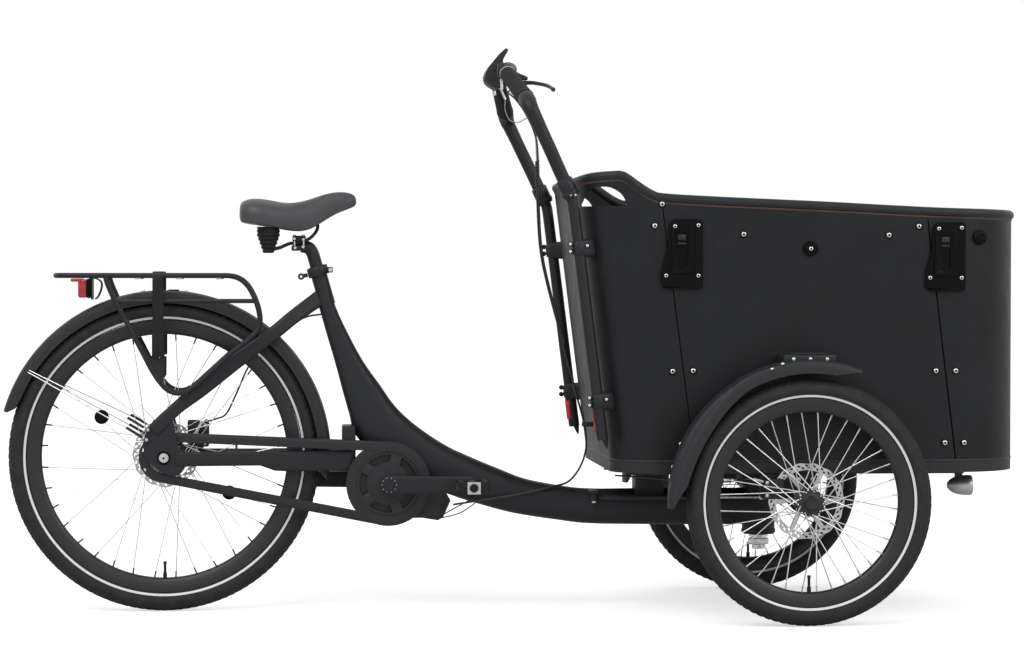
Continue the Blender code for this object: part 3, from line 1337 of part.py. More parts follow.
def arch_line():
    """Left half of the arch, from the middle of the bar down to the sleeve."""
    sleeve = Vector((SLEEVE_BOTTOM[0], HANDLE_Y, SLEEVE_BOTTOM[1]))
    middle = [(BAR_X, 0.0, 1.1405), (BAR_X, 0.036, 1.1405), (0.7160, 0.080, 1.1390), (0.7088, 0.1142, 1.1318)]
    elbow = smooth(
        [
            GRIP_OUTER, (0.7412, 0.2728, 1.0612), (0.7435, 0.2850, 1.0530), (0.7475, 0.2910, 1.0430),
            (0.7540, 0.2925, 1.0300), (0.7872, 0.2860, 0.9600), sleeve + SLEEVE_AXIS * (SLEEVE_BORE_DEPTH + 0.004),
        ],
        2,
    )
    return [Vector(point) for point in middle + [GRIP_INNER]] + elbow + [sleeve]


def handlebar_arch():
    """Upper bar: two uprights with sleeves over the lower tubes, the top bar and the lever perches."""
    arch = as_mesh(tube("handlebar_arch", both_sides([tuple(point) for point in arch_line()]), UPRIGHT_RADIUS, 2))
    for side in (1, -1):
        low = Vector((SLEEVE_BOTTOM[0], side * HANDLE_Y, SLEEVE_BOTTOM[1]))
        unite(arch, rod("sleeve", low - SLEEVE_AXIS * 0.0005, low + SLEEVE_AXIS * SLEEVE_LENGTH, SLEEVE_RADIUS, 16))
        ys = sorted((side * (LEVER_PIVOT[1] - 0.009), side * (LEVER_PIVOT[1] + 0.008)))
        perch = block("perch", (0.700, ys[0], PERCH_BOTTOM), (LEVER_PIVOT[0] + 0.008, ys[1], PERCH_BOTTOM + 0.016))
        unite(arch, bevel(perch, 0.003))
    for side in (1, -1):
        low = Vector((SLEEVE_BOTTOM[0], side * HANDLE_Y, SLEEVE_BOTTOM[1]))
        ends = low - SLEEVE_AXIS * 0.010, low + SLEEVE_AXIS * SLEEVE_BORE_DEPTH
        cut(arch, rod("sleeve_bore", *ends, bore(LOWER_TUBE_RADIUS, 12), 12))
    return paint(arch, BLACK_PAINT)


def grip(name, side):
    outer = Vector((GRIP_OUTER[0], side * GRIP_OUTER[1], GRIP_OUTER[2]))
    inner = Vector((GRIP_INNER[0], side * GRIP_INNER[1], GRIP_INNER[2]))
    way = (outer - inner).normalized()
    body = rod(name, inner + way * 0.003, outer - way * 0.003, GRIP_RADIUS, 16)
    cut(body, rod("grip_bore", inner - way * 0.01, outer + way * 0.01, bore(UPRIGHT_RADIUS, 12), 12))
    return paint(body, BLACK_RUBBER)


def brake_lever(name, side):
    x, y = LEVER_PIVOT
    top = PERCH_BOTTOM - GAP
    eye = rod(name, (x, side * y, top - 0.009), (x, side * y, top), 0.0075, 12)
    blade = smooth(
        [(x, side * y, top - 0.0045), (x + 0.020, side * 0.128, 1.1060), (0.788, side * 0.180, 1.0980),
         (0.797, side * 0.245, 1.0850)],
        3,
    )
    unite(eye, as_mesh(tube("blade", blade, 0.0042, 1)))
    return paint(eye, SILVER)


def display():
    """Centre display with its face to the rider, seated on the bar."""
    seat = BAR_X - UPRIGHT_RADIUS * math.cos(math.pi / 12) - GAP  # the bar is a tube of twelve flats
    outline = (
        (0.7193, 1.1856), (0.7121, 1.1823), (0.6770, 1.1400), (0.6715, 1.1237), (0.6770, 1.1108), (0.6998, 1.0964),
        (0.7060, 1.1207), (seat, 1.1290), (seat, 1.1500), (0.7100, 1.1560), (0.7225, 1.1790),
    )
    return paint(bevel(plate("display", [outline], "XZ", -0.034, 0.034), 0.002), BLACK_PLASTIC)


def headlight():
    """Bullet lamp in a fork on the tray's lug."""
    x, z = LAMP_PIN
    shape = (0.0, 0.028), (0.021, 0.028), (0.022, 0.018), (0.020, -0.002), (0.012, -0.019), (0.0, -0.026)
    profile = [(radius, x + ahead) for radius, ahead in shape]
    lamp = turned("headlight", profile, (0.0, 0.0, z - 0.0315), 16, axis="Z")
    lamp.rotation_euler = (0.0, math.pi / 2, 0.0)
    for side in (1, -1):
        ys = sorted((side * (0.004 + RUNNING_GAP), side * 0.009))
        unite(lamp, block("lamp_ear", (x - 0.007, ys[0], z - 0.0225), (x + 0.007, ys[1], z + 0.0065)))
    unite(lamp, rod("lamp_bolt", (x, -0.008, z), (x, 0.008, z), 0.003, 8))
    return paint(lamp, SILVER)


def control_cable():
    """Main cable: from the bar down the rear of the box, over the gap to the frame and along it to the motor."""
    wall = BOX_REAR_X
    route = (
        (0.7284, 0.000, 1.1268), (0.7520, 0.000, 1.0790), (wall - 0.0660, 0.000, 1.0250),
        (wall - 0.0590, 0.000, 0.9500), (wall - 0.0585, 0.000, 0.8570), (wall - 0.0520, 0.000, 0.7600),
        (wall - 0.0350, 0.000, 0.6780), (wall - 0.0030, 0.000, 0.5600), (wall + 0.0210, 0.000, 0.4680),
        (wall + 0.0420, 0.000, 0.3900), (wall + 0.0460, 0.000, 0.3400), (wall + 0.0330, -0.003, 0.2990),
        (wall + 0.0070, -0.014, 0.2690), (0.8150, -0.031, 0.2590), (0.7700, -0.0405, 0.2490),
        (0.7000, -0.0405, 0.2370), (0.6050, -0.0380, 0.2230),
    )
    line = smooth(route, 2)
    return paint(as_mesh(tube("control_cable", line, CABLE_RADIUS, 1)), BLACK_RUBBER)


# Assembly


def pivot(name, point, above=None):
    """An empty on a joint's axis, in the same coordinates as the pieces."""
    empty = bpy.data.objects.new(name, None)
    bpy.context.scene.collection.objects.link(empty)
    empty.empty_display_size = 0.05
    empty.location = point
    if above is not None:
        hang(empty, above)
    return empty


def hang(thing, above):
    """Parent a piece or a pivot, both written in the same coordinates."""
    thing.parent = above
    if above.parent is not None:
        thing.matrix_parent_inverse = Matrix.Translation(above.location).inverted()


def sided(name, side):
    return name + ("_left" if side > 0 else "_right")


def build_fixed(root):
    """Pieces that stay with the frame."""
    pieces = [frame(), seat_clamp(), motor(), chain(), chain_case(), rear_axle(), rear_brake_caliper()]
    pieces += [rear_mudguard(), rear_rack(), rack_strap(), tail_light(), damper_cylinder()]
    for piece in pieces:
        hang(piece, root)
    hang(damper_rod(), pivot("damper_slide", (1.120, DAMPER_Y, DAMPER_Z), root))


def build_seat(root):
    slide = pivot("seat_post_slide", (SEAT_TUBE_TOP[0], 0, SEAT_TUBE_TOP[1]), root)
    for piece in (seat_post(), saddle_rails(), saddle()):
        hang(piece, slide)
    hang(seat_clamp_lever(), pivot("seat_clamp_hinge", clamp_hinge(), root))


def build_drive(root):
    crank = pivot("crank_axis", CRANK_AXIS, root)
    for piece in (crank_right(), crank_left(), chainring()):
        hang(piece, crank)
    for side, reach in ((-1, 1), (1, -1)):
        spindle = pivot(sided("pedal_axis", side), CRANK_AXIS + Vector((reach * CRANK_LENGTH, 0, 0)), crank)
        hang(pedal(sided("pedal", side), side, reach), spindle)
    hang(rear_sprocket(), pivot("sprocket_axis", REAR_AXLE, root))


def build_rear_wheel(root):
    axis = pivot("rear_wheel_axis", REAR_AXLE, root)
    flange = REAR_RIM_INNER + REAR_RIM_DEPTH
    low, high = REAR_DISC_Y - DISC_THICKNESS / 2, REAR_DISC_Y + DISC_THICKNESS / 2
    hole = bore(HUB_NOSE_RADIUS, 12)
    hang(rear_wheel(), axis)
    hang(tyre("rear_tyre", REAR_TYRE_RADIUS, REAR_TYRE_WIDTH, flange, REAR_AXLE), axis)
    hang(disc("rear_brake_disc", REAR_DISC_RADIUS, hole, low, high, (REAR_AXLE.x, REAR_AXLE.z)), axis)


def build_front_wheel(steering, side):
    axis = pivot(sided("front_wheel_axis", side), FRONT_AXLE + Vector((0, side * HALF_TRACK, 0)), steering)
    flange = FRONT_RIM_INNER + FRONT_RIM_DEPTH
    faces = side * (FRONT_DISC_Y - DISC_THICKNESS / 2), side * (FRONT_DISC_Y + DISC_THICKNESS / 2)
    hole = bore(0.014, 12)
    middle = Vector((0, side * HALF_TRACK, 0))
    rubber = tyre(sided("front_tyre", side), FRONT_TYRE_RADIUS, FRONT_TYRE_WIDTH, flange, FRONT_AXLE + middle)
    hang(rubber, axis)
    hang(front_wheel(sided("front_wheel", side), side), axis)
    plan = (FRONT_AXLE.x, FRONT_AXLE.z)
    hang(disc(sided("front_brake_disc", side), FRONT_DISC_RADIUS, hole, *faces, plan), axis)


def build_box(steering):
    """Everything that turns with the box, apart from its wheels."""
    pieces = [steering_pin(), front_axle_beam(), box_floor(), box_rear(), box_front(), box_rim(), bench(), battery()]
    pieces.append(control_cable())
    for side in (1, -1):
        pieces.append(box_side(sided("box_side", side), side))
        pieces.append(rear_socket(sided("tent_socket_rear", side), side))
        pieces.append(front_socket(sided("tent_socket_front", side), side))
        pieces.append(front_mudguard(sided("front_mudguard", side), side))
        pieces.append(front_brake_caliper(sided("front_brake_caliper", side), side))
        pieces.append(handlebar_tube(sided("handlebar_tube", side), side))
        build_front_wheel(steering, side)
    for piece in pieces:
        hang(piece, steering)
    hang(headlight(), pivot("headlight_hinge", (LAMP_PIN[0], 0, LAMP_PIN[1]), steering))


def build_handlebar(steering):
    slide = pivot("handlebar_slide", (SLEEVE_BOTTOM[0], 0, SLEEVE_BOTTOM[1]), steering)
    pieces = [handlebar_arch(), display()]
    for side in (1, -1):
        pieces.append(grip(sided("grip", side), side))
        x, y = LEVER_PIVOT
        hinge = pivot(sided("brake_lever_hinge", side), (x, side * y, PERCH_BOTTOM), slide)
        hang(brake_lever(sided("brake_lever", side), side), hinge)
    for piece in pieces:
        hang(piece, slide)


def stand_on_origin(root):
    """Move the whole so that the world origin is the middle of its footprint."""
    view = bpy.context.evaluated_depsgraph_get()
    low, high = [1e9, 1e9], [-1e9, -1e9]
    for piece in collection(COLLECTION).objects:
        solid = piece.evaluated_get(view)
        mesh = solid.to_mesh()
        for vertex in mesh.vertices:
            point = solid.matrix_world @ vertex.co
            for axis in (0, 1):
                low[axis] = min(low[axis], point[axis])
                high[axis] = max(high[axis], point[axis])
        solid.to_mesh_clear()
    root.location = (-(low[0] + high[0]) / 2, -(low[1] + high[1]) / 2, 0.0)


def main():
    clear_scene()
    root = pivot("trike_origin", (0, 0, 0))
    build_fixed(root)
    build_seat(root)
    build_drive(root)
    build_rear_wheel(root)
    steering = pivot("steering", (STEERING_X, 0, HEAD_TUBE_TOP), root)
    build_box(steering)
    build_handlebar(steering)
    stand_on_origin(root)


if __name__ == "__main__":
    main()
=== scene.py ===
"""Looks of an electric cargo tricycle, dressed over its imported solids.

Lengths are metres. Points are written from the rear axle in X, from the middle plane in Y and from the ground in
Z, and every mesh moves by REAR_X at the end, so that it lies in the frame of the solids.
"""

import math

import bmesh
import bpy
from bpy.props import FloatProperty, FloatVectorProperty, IntProperty, PointerProperty
from mathutils import Matrix, Vector, noise


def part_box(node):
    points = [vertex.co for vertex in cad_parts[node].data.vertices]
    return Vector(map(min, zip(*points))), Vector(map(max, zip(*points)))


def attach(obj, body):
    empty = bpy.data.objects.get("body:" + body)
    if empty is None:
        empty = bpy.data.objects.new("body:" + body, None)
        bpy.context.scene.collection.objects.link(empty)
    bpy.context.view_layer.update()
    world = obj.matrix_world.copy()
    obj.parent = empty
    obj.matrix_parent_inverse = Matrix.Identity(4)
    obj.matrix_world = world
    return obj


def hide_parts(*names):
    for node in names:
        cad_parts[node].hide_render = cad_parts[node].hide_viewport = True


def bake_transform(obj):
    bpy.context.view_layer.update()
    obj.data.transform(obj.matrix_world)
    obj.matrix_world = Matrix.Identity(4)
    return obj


bl_info = {
    "name": "Cargo tricycle looks",
    "version": (1, 0, 0),
    "blender": (4, 5, 0),
    "location": "3D View > Sidebar > Tricycle",
    "description": "Builds the visible pieces and finishes of a cargo tricycle",
    "category": "Object",
}

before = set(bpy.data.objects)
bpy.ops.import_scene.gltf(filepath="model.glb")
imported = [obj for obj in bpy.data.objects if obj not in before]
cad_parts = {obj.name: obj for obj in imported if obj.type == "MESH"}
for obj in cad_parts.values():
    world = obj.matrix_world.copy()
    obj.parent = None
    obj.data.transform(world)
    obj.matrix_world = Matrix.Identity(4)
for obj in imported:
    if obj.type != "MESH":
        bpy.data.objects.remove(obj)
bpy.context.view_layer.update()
REAR_X = (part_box("rear_tyre")[0].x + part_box("rear_tyre")[1].x) / 2
REAR_AXLE = Vector((0.0, 0.0, 0.326))
FRONT_AXLE = Vector((1.302, 0.0, 0.25))
CRANK = Vector((0.468, 0.0, 0.269))
HALF_TRACK = 0.38
STEERING_X = 1.262
CHAIN_Y = -0.0535
CHAIN_PITCH = 0.0127
HOSE_RADIUS = 0.0019


def srgb(code):
    """Linear colour from an sRGB hex value."""
    parts = [int(code[i : i + 2], 16) / 255 for i in (0, 2, 4)]
    return tuple(v / 12.92 if v <= 0.04045 else ((v + 0.055) / 1.055) ** 2.4 for v in parts)


def colour(code, name, words):
    """A colour that the user can change."""
    return FloatVectorProperty(name=name, description=words, subtype="COLOR", min=0.0, max=1.0, default=srgb(code))


def length(value, name, words):
    """A length that the user can change."""
    return FloatProperty(name=name, description=words, subtype="DISTANCE", unit="LENGTH", min=0.0, default=value)


class TrikeSizes(bpy.types.PropertyGroup):
    """Sizes of the dressed pieces."""

    rear_stripe: length(0.2914, "Rear stripe", "Radius of the reflective stripe on the rear tyre")
    front_stripe: length(0.2148, "Front stripe", "Radius of the reflective stripe on the front tyres")
    spokes: IntProperty(name="Spokes", description="Spokes in each wheel", min=12, max=48, default=36)
    spoke_radius: length(0.0009, "Spoke radius", "Half the thickness of a spoke")
    screw_radius: length(0.0058, "Screw radius", "Half the width of a screw head on the box")
    cable_radius: length(0.0022, "Cable radius", "Half the thickness of a control cable")


class TrikeColours(bpy.types.PropertyGroup):
    """Colours of the finishes."""

    coat: colour("212225", "Powder coat", "Satin black of the frame and the handlebar")
    panel: colour("1a1b1d", "Panels", "Film on the plywood of the box")
    plastic: colour("232426", "Mouldings", "Black of the mudguards, chain case and sockets")
    rubber: colour("232323", "Tyres", "Black of the tyres")
    saddle: colour("36373a", "Saddle", "Cover of the saddle")
    lens: colour("c01420", "Rear lens", "Red of the tail light")


# Finishes


def add(tree, kind, settings=None, links=None):
    """Add a node with its settings, and links from sockets to its inputs."""
    node = tree.nodes.new(kind)
    for key, value in (settings or {}).items():
        if isinstance(key, int) or key in node.inputs:
            node.inputs[key].default_value = value
        else:
            setattr(node, key, value)
    for key, source in (links or {}).items():
        tree.links.new(source, node.inputs[key])
    return node


def surface(name, tint, roughness, metallic=0.0, **more):
    """A material with its shader and the point on the piece; more sets other sockets."""
    material = bpy.data.materials.new(name)
    material.use_nodes = True
    tree = material.node_tree
    shader = tree.nodes["Principled BSDF"]
    settings = {"Base Color": (*tint, 1.0), "Roughness": roughness, "Metallic": metallic}
    settings.update({key.replace("_", " "): value for key, value in more.items()})
    for key, value in settings.items():
        shader.inputs[key].default_value = value
    spot = add(tree, "ShaderNodeTexCoord").outputs["Object"]
    return material, tree, shader, spot


def grain(tree, spot, scale, detail=2.0, roughness=0.5):
    """Noise with features of about one part of scale to the metre."""
    return add(
        tree, "ShaderNodeTexNoise", {"Scale": scale, "Detail": detail, "Roughness": roughness}, {"Vector": spot}
    ).outputs["Fac"]


def ramp(tree, value, low, high):
    """Two colours over a value."""
    node = add(tree, "ShaderNodeValToRGB", None, {"Fac": value})
    for stop, (place, tint) in zip(node.color_ramp.elements, (low, high)):
        stop.position = place
        stop.color = (*tint, 1.0)
    return node.outputs["Color"]


def span(tree, value, low, high, start=0.3, end=0.7):
    """A value stretched between two limits."""
    node = add(
        tree, "ShaderNodeMapRange", {"From Min": start, "From Max": end, "To Min": low, "To Max": high},
        {"Value": value},
    )
    return node.outputs["Result"]


def emboss(tree, shader, height, strength, distance):
    """Bump on a shader."""
    bump = add(tree, "ShaderNodeBump", {"Strength": strength, "Distance": distance}, {"Height": height})
    tree.links.new(bump.outputs["Normal"], shader.inputs["Normal"])


def pebbles(tree, spot, scale):
    """Distance to scattered points that lie about one part of scale to the metre apart."""
    return add(tree, "ShaderNodeTexVoronoi", {"Scale": scale}, {"Vector": spot}).outputs["Distance"]


def worn(tree, shader, value, low, high):
    """Roughness that drifts between two limits with a value."""
    tree.links.new(span(tree, value, low, high), shader.inputs["Roughness"])


def tinted(tree, shader, value, low, high):
    """Base colour that drifts between two (place, colour) stops with a value."""
    tree.links.new(ramp(tree, value, low, high), shader.inputs["Base Color"])


def tones(tint, share):
    """A colour made darker and lighter by a share."""
    return tuple(v * (1 - share) for v in tint), tuple(min(1.0, v * (1 + share)) for v in tint)


def powder_coat(colours):
    # Baked powder paint: satin black with a fine orange peel of about a millimetre
    material, tree, shader, spot = surface("satin_powder_coat", colours.coat, 0.42, Specular_IOR_Level=0.25)
    worn(tree, shader, grain(tree, spot, 60), 0.38, 0.5)
    emboss(tree, shader, grain(tree, spot, 900, 3), 0.25, 0.0002)
    return material


def film_panel(colours):
    # Phenolic film on plywood: dull black with faint clouds and a smooth pressed skin
    material, tree, shader, spot = surface("film_faced_panel", colours.panel, 0.4, Specular_IOR_Level=0.2)
    dark, light = tones(colours.panel, 0.16)
    cloud = grain(tree, spot, 9, 5, 0.6)
    tinted(tree, shader, cloud, (0.35, dark), (0.68, light))
    worn(tree, shader, grain(tree, spot, 30, 4), 0.36, 0.48)
    emboss(tree, shader, grain(tree, spot, 700, 3), 0.12, 0.0002)
    return material


def plywood_edge(colours):
    # Sawn edge of plywood, stained brown, with plies about a millimetre thick
    material, tree, shader, spot = surface("stained_ply_edge", srgb("33261f"), 0.7)
    stretched = add(tree, "ShaderNodeMapping", {"Scale": (20, 900, 900)}, {"Vector": spot}).outputs["Vector"]
    plies = grain(tree, stretched, 1.0, 2)
    tinted(tree, shader, plies, (0.35, srgb("241a16")), (0.7, srgb("5a3d2e")))
    return material


def moulded_plastic(colours):
    # Injection moulded polypropylene: spark grain of about half a millimetre, soft shine
    material, tree, shader, spot = surface("moulded_black_plastic", colours.plastic, 0.5, Specular_IOR_Level=0.3)
    worn(tree, shader, grain(tree, spot, 40), 0.44, 0.56)
    emboss(tree, shader, grain(tree, spot, 1800, 2), 0.3, 0.0002)
    return material


def gloss_plastic(colours):
    # Polished ABS of pole sockets, knobs, display, rear reflectors and tail light: dark, with a sharp shine; it also
    # makes the washers and the black plugs that paint shade into sockets
    material, tree, shader, spot = surface("polished_black_plastic", srgb("07080a"), 0.25, Specular_IOR_Level=0.1)
    worn(tree, shader, grain(tree, spot, 50), 0.2, 0.3)
    return material


def tyre_rubber(colours):
    # Vulcanised rubber: dull, with faint dusty clouds
    material, tree, shader, spot = surface("vulcanised_tyre_rubber", colours.rubber, 0.72, Specular_IOR_Level=0.3)
    dark, light = tones(colours.rubber, 0.25)
    tinted(tree, shader, grain(tree, spot, 45, 4), (0.35, dark), (0.7, light))
    emboss(tree, shader, grain(tree, spot, 1200, 2), 0.3, 0.0002)
    return material


def soft_rubber(colours):
    # Moulded soft rubber of grips, pedals, strap and springs: dull, with a fine grain
    material, tree, shader, spot = surface("soft_black_rubber", srgb("1a1a1b"), 0.62, Specular_IOR_Level=0.2)
    emboss(tree, shader, grain(tree, spot, 1500, 2), 0.25, 0.0002)
    return material


def reflective_tape(colours):
    # Glass bead tape: pale grey with a sparkle of about a millimetre
    material, tree, shader, spot = surface("glass_bead_stripe", srgb("d2d4d6"), 0.35, Metallic=0.0)
    cells = pebbles(tree, spot, 900)
    tinted(tree, shader, cells, (0.1, srgb("c2c4c6")), (0.6, srgb("e2e3e4")))
    return material


def bright_steel(colours):
    # Drawn stainless wire and plated steel: bright, slightly uneven
    material, tree, shader, spot = surface("drawn_stainless_steel", srgb("cfcfce"), 0.24, 1.0)
    worn(tree, shader, grain(tree, spot, 120), 0.18, 0.34)
    return material


def ground_steel(colours):
    # Ground brake disc steel: grey shine broken up by fine scratches
    material, tree, shader, spot = surface("ground_disc_steel", srgb("bcbdbe"), 0.3, 1.0)
    worn(tree, shader, grain(tree, spot, 700, 3), 0.24, 0.42)
    emboss(tree, shader, grain(tree, spot, 1600, 2), 0.1, 0.0001)
    return material


def oiled_steel(colours):
    # Chain and sprocket steel, dark with oil in its corners
    material, tree, shader, spot = surface("oiled_chain_steel", srgb("77787a"), 0.38, 1.0)
    tinted(tree, shader, grain(tree, spot, 160, 3), (0.35, srgb("4c4d4f")), (0.65, srgb("8b8c8e")))
    return material


def cast_alloy(colours):
    # Bead blasted aluminium casting, pale and dull
    material, tree, shader, spot = surface("blasted_aluminium", srgb("b6b8ba"), 0.42, 1.0)
    emboss(tree, shader, grain(tree, spot, 1500, 2), 0.2, 0.0001)
    return material


def black_anodised(colours):
    # Black anodised aluminium of hubs, rims, chain ring and lever blades: dark with a metallic sheen
    material, tree, shader, spot = surface("black_anodised_aluminium", srgb("262729"), 0.38, 0.35)
    worn(tree, shader, grain(tree, spot, 200), 0.33, 0.45)
    return material


def saddle_cover(colours):
    # Embossed vinyl over foam: small pebbles of about a millimetre, soft shine
    material, tree, shader, spot = surface("embossed_saddle_vinyl", colours.saddle, 0.46)
    cells = pebbles(tree, spot, 850)
    emboss(tree, shader, cells, 0.25, 0.0003)
    worn(tree, shader, grain(tree, spot, 30), 0.42, 0.52)
    return material


def cable_jacket(colours):
    # Extruded PVC jacket of cables and hoses: smooth and black
    material, tree, shader, spot = surface("extruded_cable_jacket", srgb("1d1d1f"), 0.4)
    emboss(tree, shader, grain(tree, spot, 800), 0.1, 0.0001)
    return material


def cable_painted_highlight(colours):
    # Painted highlight: the cable jacket is coloured pale grey where the light catches it
    material, tree, shader, spot = surface("cable_jacket_painted_highlight", srgb("8b8d90"), 0.4)
    emboss(tree, shader, grain(tree, spot, 800), 0.1, 0.0001)
    return material


def red_lens(colours):
    # Moulded red acrylic with small prisms, 2 mm apart
    material, tree, shader, spot = surface(
        "moulded_red_acrylic", colours.lens, 0.14, Transmission_Weight=0.25, Coat_Weight=0.6, IOR=1.49
    )
    cells = pebbles(tree, spot, 480)
    emboss(tree, shader, cells, 0.5, 0.0006)
    return material


def clear_lens(colours):
    # Clear polycarbonate of the headlight's glass and the pedals' reflectors
    material, tree, shader, spot = surface(
        "clear_polycarbonate", srgb("e8ecef"), 0.06, Transmission_Weight=0.9, IOR=1.58
    )
    emboss(tree, shader, grain(tree, spot, 300), 0.05, 0.0002)
    return material


def bench_board(colours):
    # Dark stained bench board, film faced with an open grain along the width
    material, tree, shader, spot = surface("stained_bench_board", srgb("34302c"), 0.5)
    stretched = add(tree, "ShaderNodeMapping", {"Scale": (90, 6, 90)}, {"Vector": spot}).outputs["Vector"]
    wood = grain(tree, stretched, 1.0, 4, 0.6)
    tinted(tree, shader, wood, (0.35, srgb("27241f")), (0.68, srgb("433c34")))
    emboss(tree, shader, wood, 0.15, 0.0003)
    return material


MAKERS = {
    "coat": powder_coat,
    "panel": film_panel,
    "ply": plywood_edge,
    "plastic": moulded_plastic,
    "gloss": gloss_plastic,
    "tyre": tyre_rubber,
    "rubber": soft_rubber,
    "stripe": reflective_tape,
    "steel": bright_steel,
    "disc": ground_steel,
    "oiled": oiled_steel,
    "alloy": cast_alloy,
    "anodised": black_anodised,
    "saddle": saddle_cover,
    "cable": cable_jacket,
    "grey_cable": cable_painted_highlight,
    "red": red_lens,
    "clear": clear_lens,
    "bench": bench_board,
}
made = {}


def finish(key):
    """The material of a finish, made on first use."""
    if key not in made:
        made[key] = MAKERS[key](bpy.context.scene.trike_colours)
    return made[key]


# Shapes, each a bmesh


def spline(points, per_span):
    """Points along a smooth line through the given ones."""
    spots = [Vector(point) for point in points]
    spots = [2 * spots[0] - spots[1]] + spots + [2 * spots[-1] - spots[-2]]
    line = []
    for a, b, c, d in zip(spots, spots[1:], spots[2:], spots[3:]):
        for i in range(per_span):
            t = i / per_span
            line.append(
                0.5 * (2 * b + (c - a) * t + (2 * a - 5 * b + 4 * c - d) * t**2 + (3 * b - a - 3 * c + d) * t**3)
            )
    return line + [spots[-2]]


def arc(centre, radius, start, end, count):
    """Points on a circle between two angles in degrees."""
    turns = [math.radians(start + (end - start) * i / (count - 1)) for i in range(count)]
    return [(centre[0] + radius * math.cos(a), centre[1] + radius * math.sin(a)) for a in turns]


def circle(centre, radius, count):
    """Points all round a circle."""
    return arc(centre, radius, 0.0, 360.0 - 360.0 / count, count)


def skin(rings, closed=False):
    """Faces between rings of equal counts; the ends of an open row are capped."""
    shape = bmesh.new()
    rows = [[shape.verts.new(point) for point in ring] for ring in rings]
    pairs = list(zip(rows, rows[1:]))
    if closed:
        pairs.append((rows[-1], rows[0]))
    for row, following in pairs:
        for i in range(len(row)):
            j = (i + 1) % len(row)
            shape.faces.new((row[i], row[j], following[j], following[i]))
    if not closed:
        shape.faces.new(rows[0])
        shape.faces.new(rows[-1])
    bmesh.ops.recalc_face_normals(shape, faces=shape.faces)
    return shape


def section(centre, up, side, count=24, square=0.7):
    """A ring round a centre with two half axes, an ellipse at 1 and nearly a rectangle at 0.3."""
    ring = []
    for i in range(count):
        a = 2 * math.pi * (i + 0.5) / count
        c, s = math.cos(a), math.sin(a)
        ring.append(
            Vector(centre)
            + Vector(up) * math.copysign(abs(c) ** square, c)
            + Vector(side) * math.copysign(abs(s) ** square, s)
        )
    return ring


def tube(points, radius, sides=16, closed=False, flat=1.0, up=(0.0, 1.0, 0.0)):
    """A bar along points; radius is one number or one for each point, flat squeezes it along up."""
    spots = [Vector(point) for point in points]
    count = len(spots)
    radii = [radius] * count if isinstance(radius, float) else list(radius)
    rings = []
    side = None
    for i, spot in enumerate(spots):
        before = spots[i - 1] if i or closed else spot
        after = spots[(i + 1) % count] if i < count - 1 or closed else spot
        way = (after - before).normalized()
        if side is None:
            side = Vector(up)
        side = (side - way * side.dot(way)).normalized()
        other = way.cross(side)
        ring = []
        for k in range(sides):
            a = 2 * math.pi * k / sides
            ring.append(spot + (side * math.cos(a) * flat + other * math.sin(a)) * radii[i])
        rings.append(ring)
    return skin(rings, closed)


def lathe(profile, centre, axis="Y", steps=96, bands=None):
    """A closed profile of (radius, distance along the axis) turned about it; bands gives a material for a span."""
    shape = bmesh.new()
    rows = []
    for i in range(steps):
        a = 2 * math.pi * i / steps
        c, s = math.cos(a), math.sin(a)
        row = []
        for radius, along in profile:
            place = {
                "X": (along, radius * c, radius * s), "Y": (radius * c, along, radius * s),
                "Z": (radius * c, radius * s, along),
            }[axis]
            row.append(shape.verts.new(Vector(centre) + Vector(place)))
        rows.append(row)
    count = len(profile)
    for i in range(steps):
        for j in range(count):
            k = (j + 1) % count
            if profile[j][0] == 0 and profile[k][0] == 0:
                continue
            corner = (rows[i][j], rows[(i + 1) % steps][j], rows[(i + 1) % steps][k], rows[i][k])
            face = shape.faces.new(corner)
            if bands:
                face.material_index = bands.get(j, 0)
    bmesh.ops.remove_doubles(shape, verts=shape.verts, dist=1e-7)
    bmesh.ops.dissolve_degenerate(shape, edges=shape.edges, dist=1e-8)
    bmesh.ops.recalc_face_normals(shape, faces=shape.faces)
    return shape


def turned(profile, steps):
    """A closed profile of (radius, height) turned about Z on the origin."""
    return lathe(profile, (0, 0, 0), "Z", steps)


def slab(outlines, plane, low, high):
    """A flat piece between two levels; the first outline is its edge and the others are its holes."""
    curve = bpy.data.curves.new("outline", "CURVE")
    curve.dimensions = "2D"
    curve.fill_mode = "BOTH"
    curve.extrude = abs(high - low) / 2
    for outline in outlines:
        row = curve.splines.new("POLY")
        row.points.add(len(outline) - 1)
        for spot, (across, up) in zip(row.points, outline):
            spot.co = (across, up, 0.0, 1.0)
        row.use_cyclic_u = True
    holder = bpy.data.objects.new("outline", curve)
    bpy.context.scene.collection.objects.link(holder)
    view = bpy.context.evaluated_depsgraph_get()
    mesh = bpy.data.meshes.new_from_object(holder.evaluated_get(view))
    shape = bmesh.new()
    shape.from_mesh(mesh)
    bpy.data.objects.remove(holder)
    bpy.data.curves.remove(curve)
    bpy.data.meshes.remove(mesh)
    bmesh.ops.remove_doubles(shape, verts=shape.verts, dist=5e-6)
    level = (low + high) / 2
    lie = {
        "XY": Matrix.Translation((0, 0, level)),
        "XZ": Matrix.Translation((0, level, 0)) @ Matrix.Rotation(math.pi / 2, 4, "X"),
        "YZ": Matrix.Translation((level, 0, 0)) @ Matrix(((0, 0, 1, 0), (1, 0, 0, 0), (0, 1, 0, 0), (0, 0, 0, 1))),
    }[plane]
    bmesh.ops.transform(shape, matrix=lie, verts=shape.verts)
    bmesh.ops.recalc_face_normals(shape, faces=shape.faces)
    return shape


